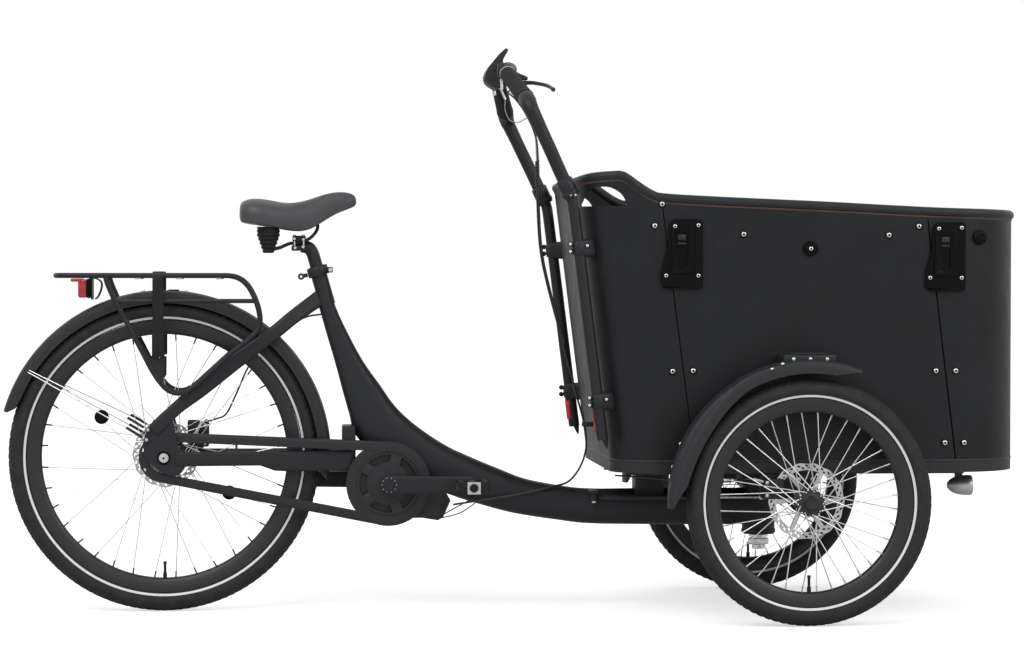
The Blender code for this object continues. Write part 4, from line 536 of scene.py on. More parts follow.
def block(low, high, edge=0.0, steps=2):
    """A box between two corners with rounded edges."""
    low, high = Vector(low), Vector(high)
    shape = bmesh.new()
    bmesh.ops.create_cube(shape, size=1.0)
    bmesh.ops.scale(shape, vec=high - low, verts=shape.verts)
    bmesh.ops.translate(shape, vec=(low + high) / 2, verts=shape.verts)
    if edge:
        bmesh.ops.bevel(
            shape, geom=shape.edges, offset=edge, segments=steps, profile=0.5, affect="EDGES", clamp_overlap=True
        )
    bmesh.ops.recalc_face_normals(shape, faces=shape.faces)
    return shape


def rod(start, end, radius, sides=20, edge=0.0):
    """A round bar between two points; edge chamfers its ends."""
    start, end = Vector(start), Vector(end)
    way = (end - start).normalized()
    if edge:
        points = [start, start + way * edge, end - way * edge, end]
        return tube(points, [radius - edge, radius, radius, radius - edge], sides, up=seed(way))
    return tube([start, end], [radius, radius], sides, up=seed(way))


def seed(way):
    """A direction well away from way."""
    return (0.0, 0.0, 1.0) if abs(way.z) < 0.8 else (1.0, 0.0, 0.0)


def mirrored(shape):
    """The same shape on the other side of the middle plane."""
    twin = shape.copy()
    bmesh.ops.scale(twin, vec=(1, -1, 1), verts=twin.verts)
    bmesh.ops.recalc_face_normals(twin, faces=twin.faces)
    return twin


def moved(shape, matrix):
    """The same shape, turned and shifted in place."""
    bmesh.ops.transform(shape, matrix=matrix, verts=shape.verts)
    return shape


def gather(shapes):
    """Several solids as one mesh, moved to the frame of the solids."""
    whole = bmesh.new()
    for shape in shapes:
        mesh = bpy.data.meshes.new("piece")
        shape.to_mesh(mesh)
        whole.from_mesh(mesh)
        bpy.data.meshes.remove(mesh)
        shape.free()
    bmesh.ops.translate(whole, vec=(REAR_X, 0, 0), verts=whole.verts)
    mesh = bpy.data.meshes.new("piece")
    whole.to_mesh(mesh)
    whole.free()
    return mesh


def piece(name, shapes, finishes, body, replaces=(), edge=0.0, steps=2, angle=35.0):
    """A finished piece that rides on a body; edge rounds its sharp edges."""
    shapes = shapes if isinstance(shapes, list) else [shapes]
    finishes = finishes if isinstance(finishes, list) else [finishes]
    mesh = gather(shapes)
    mesh.shade_smooth()
    mesh.set_sharp_from_angle(angle=math.radians(angle))
    for key in finishes:
        mesh.materials.append(finish(key))
    thing = bpy.data.objects.new(name, mesh)
    bpy.context.scene.collection.objects.link(thing)
    if edge:
        round_off = thing.modifiers.new("edges", "BEVEL")
        round_off.width = edge
        round_off.segments = steps
        round_off.limit_method = "ANGLE"
        round_off.angle_limit = math.radians(angle)
        round_off.miter_outer = "MITER_ARC"
    if body:
        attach(thing, body)
    if replaces:
        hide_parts(*([replaces] if isinstance(replaces, str) else replaces))
    return thing


def carve(thing, tools):
    """Cut shapes out of a finished piece."""
    for shape in tools:
        mesh = gather([shape])
        tool = bpy.data.objects.new("tool", mesh)
        bpy.context.scene.collection.objects.link(tool)
        step = thing.modifiers.new("cut", "BOOLEAN")
        step.solver = "EXACT"
        step.operation = "DIFFERENCE"
        step.object = tool
        view = bpy.context.evaluated_depsgraph_get()
        done = bpy.data.meshes.new_from_object(thing.evaluated_get(view))
        thing.modifiers.remove(step)
        old = thing.data
        thing.data = done
        bpy.data.meshes.remove(old)
        bpy.data.objects.remove(tool)
        bpy.data.meshes.remove(mesh)
    thing.data.shade_smooth()
    thing.data.set_sharp_from_angle(angle=math.radians(35))
    return thing


def repeat_tree():
    """Node tree that puts a piece on every point, turned and sized by the point's attributes."""
    tree = bpy.data.node_groups.get("repeat_on_points")
    if tree is not None:
        return tree
    tree = bpy.data.node_groups.new("repeat_on_points", "GeometryNodeTree")
    face = tree.interface
    face.new_socket("Points", in_out="INPUT", socket_type="NodeSocketGeometry")
    face.new_socket("Piece", in_out="INPUT", socket_type="NodeSocketObject")
    face.new_socket("Finish", in_out="INPUT", socket_type="NodeSocketMaterial")
    face.new_socket("Scale", in_out="INPUT", socket_type="NodeSocketFloat").default_value = 1.0
    face.new_socket("Result", in_out="OUTPUT", socket_type="NodeSocketGeometry")
    entry = add(tree, "NodeGroupInput").outputs
    turn = add(tree, "GeometryNodeInputNamedAttribute", {"data_type": "FLOAT_VECTOR", "Name": "turn"})
    size = add(tree, "GeometryNodeInputNamedAttribute", {"data_type": "FLOAT_VECTOR", "Name": "size"})
    rotation = add(tree, "FunctionNodeEulerToRotation", None, {"Euler": turn.outputs["Attribute"]})
    scale = add(
        tree, "ShaderNodeVectorMath", {"operation": "SCALE"}, {0: size.outputs["Attribute"], "Scale": entry["Scale"]}
    )
    model = add(tree, "GeometryNodeObjectInfo", None, {"Object": entry["Piece"]})
    copies = add(
        tree, "GeometryNodeInstanceOnPoints", None,
        {
            "Points": entry["Points"], "Instance": model.outputs["Geometry"],
            "Rotation": rotation.outputs["Rotation"], "Scale": scale.outputs["Vector"],
        },
    )
    real = add(tree, "GeometryNodeRealizeInstances", None, {"Geometry": copies.outputs["Instances"]})
    dressed = add(
        tree, "GeometryNodeSetMaterial", None, {"Geometry": real.outputs["Geometry"], "Material": entry["Finish"]}
    )
    add(tree, "NodeGroupOutput", None, {"Result": dressed.outputs["Geometry"]})
    return tree


def repeat(name, model, places, key, body, replaces=(), scale=1.0, angle=35.0):
    """Copies of a shape at (point, turn matrix, size) as one piece."""
    mesh = bpy.data.meshes.new("model")
    model.to_mesh(mesh)
    model.free()
    mesh.shade_smooth()
    mesh.set_sharp_from_angle(angle=math.radians(angle))
    source = bpy.data.objects.new("model", mesh)
    bpy.context.scene.collection.objects.link(source)
    spots = bpy.data.meshes.new("spots")
    spots.from_pydata([Vector(point) + Vector((REAR_X, 0, 0)) for point, _, _ in places], [], [])
    turns = spots.attributes.new("turn", "FLOAT_VECTOR", "POINT")
    sizes = spots.attributes.new("size", "FLOAT_VECTOR", "POINT")
    for i, (_, turn, size) in enumerate(places):
        turns.data[i].vector = turn.to_euler()
        sizes.data[i].vector = size if hasattr(size, "__len__") else (size, size, size)
    holder = bpy.data.objects.new("spots", spots)
    bpy.context.scene.collection.objects.link(holder)
    tree = repeat_tree()
    step = holder.modifiers.new("repeat", "NODES")
    step.node_group = tree
    names = {item.name: item.identifier for item in tree.interface.items_tree if item.in_out == "INPUT"}
    step[names["Piece"]] = source
    step[names["Finish"]] = finish(key)
    step[names["Scale"]] = float(scale)
    view = bpy.context.evaluated_depsgraph_get()
    done = bpy.data.meshes.new_from_object(holder.evaluated_get(view))
    bpy.data.objects.remove(holder)
    bpy.data.objects.remove(source)
    done.name = name
    done.materials.clear()
    done.materials.append(finish(key))
    thing = bpy.data.objects.new(name, done)
    bpy.context.scene.collection.objects.link(thing)
    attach(thing, body)
    if replaces:
        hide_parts(*([replaces] if isinstance(replaces, str) else replaces))
    return thing


def facing(way):
    """Turn that points a shape's Z along way."""
    way = Vector(way).normalized()
    return way.to_track_quat("Z", "Y").to_matrix()


def stood(shape, spot, way):
    """A shape made on the origin, stood on a spot with its Z along way."""
    return moved(shape, Matrix.Translation(spot) @ facing(way).to_4x4())


def rounded(points, reach, steps=4):
    """A line with its corners rounded over a reach."""
    spots = [Vector(point) for point in points]
    line = [spots[0]]
    for a, b, c in zip(spots, spots[1:], spots[2:]):
        before, after = (a - b), (c - b)
        start = b + before.normalized() * min(reach, before.length * 0.49)
        end = b + after.normalized() * min(reach, after.length * 0.49)
        for i in range(steps + 1):
            t = i / steps
            line.append(start * (1 - t) ** 2 + b * 2 * t * (1 - t) + end * t**2)
    return line + [spots[-1]]


def softened(outline, reach):
    """A closed flat outline with its corners rounded over a reach."""
    line = rounded([(across, up, 0) for across, up in outline + outline[:2]], reach, 4)
    return [(point.x, point.y) for point in line[1:-1]]


def both_sides(points):
    """A line given from the middle outwards on the left, made whole through its mirror image."""
    right = [(x, -y, z) for x, y, z in reversed(points)]
    return right + [tuple(point) for point in points if abs(point[1]) > 0.00001]


def table_value(table, x):
    """Height of a line of (x, height) points at x."""
    for (x0, z0), (x1, z1) in zip(table, table[1:]):
        if x <= x1:
            return z0 + (z1 - z0) * (max(x, x0) - x0) / (x1 - x0)
    return table[-1][1]


def belt(front_radius, rear_radius, count=48):
    """The outline round the crank axis and the rear axle, with straight runs between."""
    rear, front = Vector((REAR_AXLE.x, REAR_AXLE.z)), Vector((CRANK.x, CRANK.z))
    way = front - rear
    lie = math.degrees(math.atan2(way.y, way.x))
    half = math.degrees(math.acos((rear_radius - front_radius) / way.length))
    return arc(rear, rear_radius, lie + half, lie + 360 - half, count) + arc(
        front, front_radius, lie - half, lie + half, count
    )


def sides():
    """Name endings with their signs, left first."""
    return (("left", 1), ("right", -1))


def screw_head():
    """A domed head of radius 1 with a six-sided socket, standing on Z 0."""
    profile = [
        (0.0, 0.25), (0.42, 0.25), (0.46, 0.62), (0.62, 0.6), (0.86, 0.42), (1.0, 0.12), (1.0, 0.0), (0.0, 0.0)
    ]
    return turned(profile, 12)


def fitted_screws(name, places, body, washer=1.35):
    """Bright screws on dark washers, each with a black plug in its socket as painted shade."""
    disc = [(0.0, 0.0), (1.0, 0.0), (1.0, 0.12), (0.92, 0.16), (0.0, 0.16)]
    under = [(spot, turn, size * washer) for spot, turn, size in places]
    repeat(name + "_washers", turned(disc, 24), under, "gloss", body)
    lifted = [(Vector(spot) + turn @ Vector((0, 0, size * 0.16 * washer)), turn, size) for spot, turn, size in places]
    repeat(name, screw_head(), lifted, "steel", body)
    # Painted shade: a black six-sided plug fills the bottom of each screw's socket
    socket_shade_plug = turned([(0.0, 0.2), (0.43, 0.2), (0.43, 0.34), (0.0, 0.34)], 6)
    repeat(name + "_recesses", socket_shade_plug, lifted, "gloss", body)


def hexagon_nut(radius, height):
    """A six-sided nut standing on Z 0 with chamfered edges; its height is a share of its radius."""
    rings = []
    for z, share in ((0.0, 0.93), (0.08, 1.0), (height - 0.08, 1.0), (height, 0.9)):
        rings.append([
            Vector(
                (radius * share * math.cos(math.pi * k / 3), radius * share * math.sin(math.pi * k / 3), radius * z)
            )
            for k in range(6)
        ])
    return skin(rings)


# Wheels

WHEELS = (  # body, middle along Y, axle, tyre radius, tyre width, rim's inner radius, rim's depth
    ("rear_wheel", 0.0, REAR_AXLE, 0.326, 0.05, 0.2562, 0.0303),
    ("front_wheel_left", HALF_TRACK, FRONT_AXLE, 0.25, 0.045, 0.1813, 0.0292),
    ("front_wheel_right", -HALF_TRACK, FRONT_AXLE, 0.25, 0.045, 0.1813, 0.0292),
)
TYRES = {"rear_wheel": "rear_tyre", "front_wheel_left": "front_tyre_left", "front_wheel_right": "front_tyre_right"}


STRIPE_HALF = 0.0023
TREAD_PITCH = 0.0165
CASING_LOW, CASING_TOP = 0.47, 0.53  # shares of the casing's height under and over its widest line


def tyre_profile(radius, width, flange, stripe, middle):
    """Half round casing over two beads, with the stripe's edges as points of their own."""
    height = radius - flange
    centre = flange + CASING_LOW * height
    half = [(flange + 0.0003, 0.31 * width)]
    for i in range(15):
        a = math.radians(-48 + 138 * i / 14)
        rise = CASING_LOW * height if a < 0 else CASING_TOP * height - 0.0014
        half.append((centre + rise * math.sin(a), width / 2 * math.cos(a) * (1.0 if a < 1.5 else 0.0)))
    fine = []
    for (r0, y0), (r1, y1) in zip(half, half[1:]):
        fine.append((r0, y0))
        for edge in (stripe - STRIPE_HALF, stripe + STRIPE_HALF):
            if r0 < edge < r1:
                fine.append((edge, y0 + (y1 - y0) * (edge - r0) / (r1 - r0)))
    fine.append(half[-1])
    whole = [(r, middle + y) for r, y in fine] + [(r, middle - y) for r, y in reversed(fine[:-1])]
    bands = {}
    for j, ((r0, _), (r1, _)) in enumerate(zip(whole, whole[1:])):
        if abs((r0 + r1) / 2 - stripe) < STRIPE_HALF:
            bands[j] = 1
    return whole, bands


class BuildTyres(bpy.types.Operator):
    """Three tyres with a reflective stripe and a studded tread."""

    bl_idname = "trike.tyres"
    bl_label = "Tyres"

    def execute(self, context):
        sizes = context.scene.trike_sizes
        for body, middle, axle, radius, width, inner, depth in WHEELS:
            stripe = sizes.rear_stripe if body == "rear_wheel" else sizes.front_stripe
            profile, bands = tyre_profile(radius, width, inner + depth, stripe, middle)
            shape = lathe(profile, axle, "Y", 160, bands)
            piece(TYRES[body] + "_casing", shape, ["tyre", "stripe"], body, TYRES[body], angle=60)
            stud = block((-0.5, -0.5, -0.5), (0.5, 0.5, 0.5), 0.16, 1)
            places = []
            rows = ((0.0, 0.0068, 0.01, 0), (0.29, 0.0062, 0.009, 1), (-0.29, 0.0062, 0.009, 1),
                    (0.6, 0.005, 0.0085, 0), (-0.6, 0.005, 0.0085, 0))
            count = round(2 * math.pi * radius / TREAD_PITCH)
            height = radius - inner - depth
            for lean, across, along, shift in rows:
                a = lean * math.pi / 2
                out = inner + depth + CASING_LOW * height + (CASING_TOP * height - 0.001) * math.cos(a)
                y = middle + width / 2 * math.sin(a)
                for i in range(count):
                    t = 2 * math.pi * (i + 0.5 * shift) / count
                    way = Vector((math.cos(t), 0, math.sin(t)))
                    up = (way * math.cos(a) + Vector((0, math.sin(a), 0))).normalized()
                    ahead = Vector((-math.sin(t), 0, math.cos(t)))
                    side = ahead.cross(up)
                    turn = Matrix((side, ahead, up)).transposed()
                    spin = Matrix.Rotation(math.radians(22 if lean > 0 else -22 if lean < 0 else 0), 3, "Z")
                    spot = axle + way * (out - 0.0006) + Vector((0, y, 0))
                    places.append((spot, turn @ spin, (across, along, 0.0026)))
            repeat(TYRES[body] + "_tread", stud, places, "tyre", body)
        return {"FINISHED"}


def rim_profile(inner, depth, middle):
    """Box section rim with brake-free flanks and a rounded inner edge."""
    outer = inner + depth
    half = [
        (outer, 0.0125), (outer - 0.0005, 0.0145), (outer - 0.009, 0.0145), (outer - 0.0125, 0.014),
        (inner + 0.008, 0.0118), (inner + 0.003, 0.0095), (inner + 0.0008, 0.007), (inner, 0.004),
    ]
    return [(r, middle + y) for r, y in half] + [(r, middle - y) for r, y in reversed(half)]


def lacing(middle, near, far, hub_radius, rim_radius, count):
    """Ends of crossed spokes, as (at the hub, at the rim) from the axle."""
    ends = []
    for i in range(count):
        flange = near if i % 2 else far
        lean = math.radians(48) * (1 if (i // 2) % 2 else -1)
        layer = 0.0015 if (i // 2) % 2 else -0.0015
        at_rim = 2 * math.pi * (i + 0.5) / count
        at_hub = at_rim + lean
        side = math.copysign(0.003, flange - middle)
        start = Vector((hub_radius * math.cos(at_hub), flange + layer, hub_radius * math.sin(at_hub)))
        end = Vector((rim_radius * math.cos(at_rim), middle + side, rim_radius * math.sin(at_rim)))
        ends.append((start, end))
    return ends


class BuildWheels(bpy.types.Operator):
    """Hubs, rims, crossed spokes, nipples, valves and reflectors of the three wheels."""

    bl_idname = "trike.wheels"
    bl_label = "Wheels"

    def execute(self, context):
        sizes = context.scene.trike_sizes
        for body, middle, axle, _, _, inner, depth in WHEELS:
            self.rim(body, middle, axle, inner, depth)
            if body == "rear_wheel":
                near, far, flange = -0.03, 0.03, 0.045
                profile = [
                    (0.0055, 0.0655), (0.01, 0.0655), (0.01, 0.0552), (0.017, 0.0545), (0.0185, 0.05),
                    (0.0185, 0.034), (0.04, 0.033), (0.045, 0.0315), (0.045, 0.0285), (0.038, 0.0275),
                    (0.022, 0.026), (0.021, 0.02), (0.0205, 0.0),
                ]
                # The right end is thinner, so that the sprocket has room on it
                right = [(0.0101 if r == 0.017 else r, -y) for r, y in reversed(profile[:-1])]
                hub = lathe(profile + right, axle, "Y", 64)
            else:
                side = 1 if middle > 0 else -1
                near, far, flange = side * 0.36, side * 0.402, 0.028
                profile = [
                    (0.0105, 0.3485), (0.014, 0.3485), (0.014, 0.3515), (0.02, 0.3515), (0.0205, 0.357),
                    (0.027, 0.3575), (0.028, 0.359), (0.028, 0.3612), (0.0265, 0.3625), (0.019, 0.364),
                    (0.016, 0.37), (0.0155, 0.381), (0.016, 0.392), (0.019, 0.398), (0.0265, 0.3995),
                    (0.028, 0.4008), (0.028, 0.4032), (0.027, 0.4045), (0.0165, 0.4048), (0.0148, 0.406),
                    (0.014, 0.413), (0.0128, 0.415), (0.01, 0.415), (0.009, 0.4138), (0.0, 0.4136),
                    (0.0, 0.4), (0.0105, 0.4),
                ]
                hub = lathe([(r, side * y) for r, y in profile], axle, "Y", 64)
            piece(body + "_hub", hub, "anodised", body, body)
            self.spokes(body, axle, lacing(middle, near, far, flange - 0.004, inner + 0.004, sizes.spokes), sizes)
            if body != "rear_wheel":
                self.heads(body, axle, side, far)
        self.reflectors()
        return {"FINISHED"}

    def rim(self, body, middle, axle, inner, depth):
        """Box section rim with its valve."""
        piece(body + "_rim", lathe(rim_profile(inner, depth, middle), axle, "Y", 160), "anodised", body, angle=50)
        lie = math.radians(-90)  # the valve stands at the lowest point
        way = Vector((math.cos(lie), 0, math.sin(lie)))
        foot = axle + Vector((0, middle, 0)) + way * (inner + 0.002)
        stem = [
            foot, foot - way * 0.012, foot - way * 0.0125, foot - way * 0.03, foot - way * 0.0305, foot - way * 0.036
        ]
        valve = tube(stem, [0.0042, 0.0042, 0.0029, 0.0029, 0.0038, 0.0034], 14, up=(0, 1, 0))
        piece(body + "_valve", valve, "rubber", body)

    def spokes(self, body, axle, ends, sizes):
        """Wires, nipples at the rim and elbows at the hub."""
        wire = rod((0, 0, 0), (0, 0, 1), 1.0, 8)
        places = []
        # The small front wheels carry the load on stouter spokes
        thick = sizes.spoke_radius * (1.0 if body == "rear_wheel" else 1.3)
        for start, end in ends:
            way = end - start
            places.append((axle + start, facing(way), (thick, thick, way.length)))
        repeat(body + "_spokes", wire, places, "steel", body)
        nipple = turned([(0.0, 0.0), (1.0, 0.0), (1.0, 7.0), (1.35, 7.2), (1.35, 11.0), (0.0, 11.0)], 8)
        places = []
        for start, end in ends:
            way = (end - start).normalized()
            places.append((axle + end - way * 0.0165, facing(way), 0.0017))
        repeat(body + "_nipples", nipple, places, "anodised" if body == "rear_wheel" else "alloy", body)
        elbow = turned([(0.0, -1.0), (1.4, -0.6), (1.7, 0.0), (1.4, 0.6), (0.0, 1.0)], 8)
        places = []
        for start, _ in ends:
            out = math.copysign(0.0028, start.y - sum(e[0].y for e in ends) / len(ends))
            places.append((axle + start + Vector((0, out, 0)), facing((0, 1, 0)), 0.0011))
        repeat(body + "_spoke_ends", elbow, places, "steel", body)

    def heads(self, body, axle, side, far):
        """Spoke heads on the outer flange of a front hub."""
        head = turned([(0.0, 0.0), (1.0, 0.0), (0.85, 0.45), (0.5, 0.65), (0.0, 0.7)], 10)
        places = []
        for i in range(18):
            a = 2 * math.pi * (i + 0.25) / 18
            spot = axle + Vector((0.027 * math.cos(a), far + side * 0.0026, 0.027 * math.sin(a)))
            places.append((spot, facing((0, side, 0)), 0.0019))
        repeat(body + "_flange_heads", head, places, "steel", body)

    def reflectors(self):
        """Two round reflectors between the spokes of the rear wheel."""
        for index, degrees in enumerate((-30.0, 148.0)):
            a = math.radians(degrees)
            spot = REAR_AXLE + Vector((0.1555 * math.cos(a), 0.0, 0.1555 * math.sin(a)))
            lens = lathe(
                [(0.0, -0.0055), (0.013, -0.0055), (0.015, -0.0035), (0.015, 0.0035), (0.013, 0.0055), (0.0, 0.0055)],
                spot, "Y", 32,
            )
            piece(f"rear_reflector_{index + 1}", lens, "gloss", "rear_wheel")


DISC_ARMS = 6


def disc_outlines(centre, radius, hole, waves, slots):
    """Wavy edge, centre hole, arm windows and slanted vents of a brake disc."""
    count = waves * 12
    edge = []
    for i in range(count):
        a = 2 * math.pi * i / count
        out = radius - 0.0022 * (0.5 - 0.5 * math.cos(waves * a))
        edge.append((centre[0] + out * math.cos(a), centre[1] + out * math.sin(a)))
    outlines = [edge, circle(centre, hole, 40)]
    low, high = hole + 0.0125, radius - 0.015
    width = 360.0 / DISC_ARMS
    for i in range(DISC_ARMS):
        start = width * i
        far = arc(centre, high, start + 6, start + width - 3, 9)
        near = arc(centre, low, start + width - 16, start + 6, 5)
        outlines.append(far + near)
    for i in range(slots):
        a = 2 * math.pi * i / slots
        for inset, shift in ((0.006, 0.0), (0.0108, 0.5)):
            b = a + shift * 2 * math.pi / slots
            out = radius - inset
            spot = Vector((centre[0] + out * math.cos(b), centre[1] + out * math.sin(b)))
            lean = b + math.radians(58)
            along = Vector((math.cos(lean), math.sin(lean)))
            across = Vector((-along.y, along.x))
            ring = []
            for k in range(10):
                t = 2 * math.pi * k / 10
                ring.append(tuple(spot + along * 0.0037 * math.cos(t) + across * 0.002 * math.sin(t)))
            outlines.append(ring)
    return outlines


class BuildDiscs(bpy.types.Operator):
    """Wavy brake discs with their bolts."""

    bl_idname = "trike.discs"
    bl_label = "Brake discs"

    def execute(self, context):
        rear = (REAR_AXLE.x, REAR_AXLE.z)
        front = (FRONT_AXLE.x, FRONT_AXLE.z)
        rows = [("rear_brake_disc", "rear_wheel", rear, 0.0705, 0.0104, 0.0555, 0.0573, 12)]
        for ending, side in sides():
            name, body = f"front_brake_disc_{ending}", f"front_wheel_{ending}"
            rows.append((name, body, front, 0.078, 0.0146, side * 0.3491, side * 0.3509, 14))
        for name, body, centre, radius, hole, low, high, waves in rows:
            shape = slab(disc_outlines(centre, radius, hole, waves, waves * 2), "XZ", low, high)
            piece(name + "_plate", shape, "disc", body, name)
            # The bolts stand on the left face of the rear disc and on the inner faces of the front discs
            face, way = (high, 1.0) if body == "rear_wheel" else (low, -math.copysign(1.0, low))
            bolts = []
            for i in range(DISC_ARMS):
                a = math.radians(60 * i + 30)
                out = hole + 0.0058
                spot = (centre[0] + out * math.cos(a), face, centre[1] + out * math.sin(a))
                bolts.append((spot, facing((0, way, 0)), 0.0036))
            repeat(name + "_bolts", screw_head(), bolts, "steel", body)
        return {"FINISHED"}


# Frame

MAIN_TUBE = (  # front or top edge, rear or bottom edge, half width
    ((0.3475, 0.6785), (0.3145, 0.669), 0.017),
    ((0.357, 0.646), (0.3245, 0.6365), 0.0175),
    ((0.376, 0.602), (0.3375, 0.59), 0.019),
    ((0.414, 0.53), (0.3585, 0.518), 0.022),
    ((0.453, 0.474), (0.3745, 0.458), 0.025),
    ((0.482, 0.433), (0.387, 0.414), 0.027),
    ((0.515, 0.4), (0.4, 0.37), 0.029),
    ((0.556, 0.369), (0.445, 0.325), 0.031),
    ((0.598, 0.343), (0.535, 0.27), 0.033),
    ((0.65, 0.319), (0.599, 0.242), 0.034),
    ((0.705, 0.296), (0.657, 0.223), 0.035),
    ((0.763, 0.274), (0.735, 0.202), 0.035),
    ((0.84, 0.259), (0.828, 0.187), 0.035),
    ((0.9, 0.253), (0.894, 0.179), 0.035),
    ((1.0, 0.253), (1.0, 0.1765), 0.035),
    ((1.15, 0.253), (1.15, 0.175), 0.035),
    ((1.262, 0.253), (1.262, 0.175), 0.0335),
)
SEAT_STAY = (  # top edge, bottom edge, distance from the middle plane
    ((0.318, 0.674), (0.33, 0.642), 0.01),
    ((0.26, 0.629), (0.279, 0.607), 0.035),
    ((0.219, 0.595), (0.243, 0.578), 0.046),
    ((0.143, 0.542), (0.163, 0.516), 0.054),
    ((0.072, 0.486), (0.087, 0.456), 0.063),
    ((0.018, 0.438), (0.037, 0.42), 0.069),
    ((-0.013, 0.41), (0.007, 0.39), 0.069),
    ((-0.03, 0.393), (-0.012, 0.372), 0.069),
)
SEAT_AXIS = Vector((-math.sin(math.radians(16)), 0.0, math.cos(math.radians(16))))
SEAT_TOP = Vector((0.3185, 0.0, 0.7255))
MOTOR_NOSE = ((0.573, 0.19), (0.584, 0.196), (0.6, 0.232), (0.592, 0.246))


def lofted(stations, thick, square, count, per_span):
    """A bar through stations of two edges and a half width, on both sides of its own middle."""
    tops = spline([(*top, out) for (top, bottom, out) in stations], per_span)
    lows = spline([(*bottom, out) for (top, bottom, out) in stations], per_span)
    rings = []
    for top, low in zip(tops, lows):
        out = top.z
        high, foot = Vector((top.x, 0.0, top.y)), Vector((low.x, 0.0, low.y))
        middle = (high + foot) / 2
        if thick is None:
            rings.append(section(middle, (high - foot) / 2, (0, out, 0), count, square))
        else:
            middle.y = out
            rings.append(section(middle, (high - foot) / 2, (0, thick, 0), count, square))
    return skin(rings)


class BuildFrame(bpy.types.Operator):
    """Welded frame: swept tube, stays, dropouts, head tube and the pad under the box."""

    bl_idname = "trike.frame"
    bl_label = "Frame"

    def execute(self, context):
        shapes = [lofted(MAIN_TUBE, None, 0.78, 40, 6)]
        shapes.append(rod(SEAT_TOP - SEAT_AXIS * 0.085, SEAT_TOP, 0.017, 32))
        shapes.append(rod((STEERING_X, 0, 0.155), (STEERING_X, 0, 0.262), 0.035, 48, edge=0.002))
        shapes.append(rod((STEERING_X, 0, 0.157), (STEERING_X, 0, 0.166), 0.0365, 48, edge=0.001))
        for _, side in sides():
            stay = lofted(SEAT_STAY, 0.007, 0.55, 28, 6)
            chain = []
            for x, out, top, low in (
                (0.026, 0.0695, 0.338, 0.308), (0.1, 0.062, 0.338, 0.308), (0.2, 0.052, 0.338, 0.308),
                (0.23, 0.05, 0.3385, 0.297), (0.26, 0.0475, 0.339, 0.2952), (0.36, 0.0405, 0.34, 0.295),
                (0.39, 0.0405, 0.34, 0.295),
            ):
                middle = (x, out, (top + low) / 2)
                chain.append(section(middle, (0, 0, (top - low) / 2), (0, 0.0065, 0), 28, 0.5))
            outline = spline(
                [(x, z, 0) for x, z in (
                    (-0.027, 0.398), (-0.042, 0.362), (-0.038, 0.328), (-0.021, 0.309), (0.0, 0.294),
                    (0.028, 0.289), (0.045, 0.308), (0.045, 0.332), (0.03, 0.345), (0.02, 0.4), (0.0, 0.405),
                    (-0.027, 0.398),
                )], 5,
            )[:-1]
            plan = [(point.x, point.y) for point in outline]
            axle_hole = circle((REAR_AXLE.x, REAR_AXLE.z), 0.0056, 20)
            drop = slab([plan, axle_hole], "XZ", 0.066, 0.072)
            boss = rod((0.043, 0.064, 0.457), (0.043, 0.0742, 0.457), 0.007, 20)
            for shape in (stay, skin(chain), drop, boss):
                shapes.append(shape if side > 0 else mirrored(shape))
        shapes.append(block((0.3725, -0.044, 0.2965), (0.4, 0.044, 0.39), 0.004, 3))
        shapes.append(block((0.993, -0.03, 0.24), (1.055, 0.03, 0.304), 0.003, 2))
        shapes.append(block((0.893, -0.061, 0.2445), (0.911, -0.015, 0.2525), 0.001, 1))
        piece("frame_weldment", shapes, "coat", "frame", "frame", angle=40)
        rail = rod((1.0, -0.031, 0.296), (1.048, -0.031, 0.296), 0.003, 12)
        piece("box_pad_liner", rail, "plastic", "frame")
        return {"FINISHED"}


# Drive


class BuildMotor(bpy.types.Operator):
    """Mid motor with its two covers and their screws."""

    bl_idname = "trike.motor"
    bl_label = "Motor"

    def execute(self, context):
        centre = (CRANK.x, CRANK.z)
        body = arc(centre, 0.075, 35.0, 280.0, 60)
        nose = [(0.54, 0.1955)] + list(MOTOR_NOSE) + [(0.556, 0.285)]
        hole = circle(centre, 0.0112, 32)
        core = slab([body + nose, hole], "XZ", -0.04, 0.052)
        piece("motor_core", core, "plastic", "frame", "motor", edge=0.004, steps=3)
        shapes = []
        for low, high, near in ((-0.046, -0.0395, 0.071), (0.0515, 0.058, 0.071)):
            ring = arc(centre, near, 38.0, 276.0, 60) + [(0.534, 0.2), (0.571, 0.1945), (0.59, 0.233), (0.582, 0.246)]
            shapes.append(slab([ring, circle(centre, 0.0113, 32)], "XZ", low, high))
        piece("motor_covers", shapes, "plastic", "frame", edge=0.0025, steps=3)
        places = []
        for i in range(7):
            a = math.radians(60 + 33 * i)
            for y, way in ((-0.046, -1), (0.058, 1)):
                spot = (centre[0] + 0.065 * math.cos(a), y, centre[1] + 0.065 * math.sin(a))
                places.append((spot, facing((0, way, 0)), 0.0034))
        repeat("motor_screws", screw_head(), places, "steel", "frame")
        return {"FINISHED"}


def teeth_places(centre, radius, count, y):
    """Places of teeth round an axle, each pointing outwards."""
    places = []
    for i in range(count):
        a = 2 * math.pi * i / count
        way = Vector((math.cos(a), 0, math.sin(a)))
        turn = Matrix((Vector((0, 1, 0)).cross(way), Vector((0, 1, 0)), way)).transposed()
        places.append((Vector((centre.x, y, centre.z)) + way * radius, turn, 1.0))
    return places


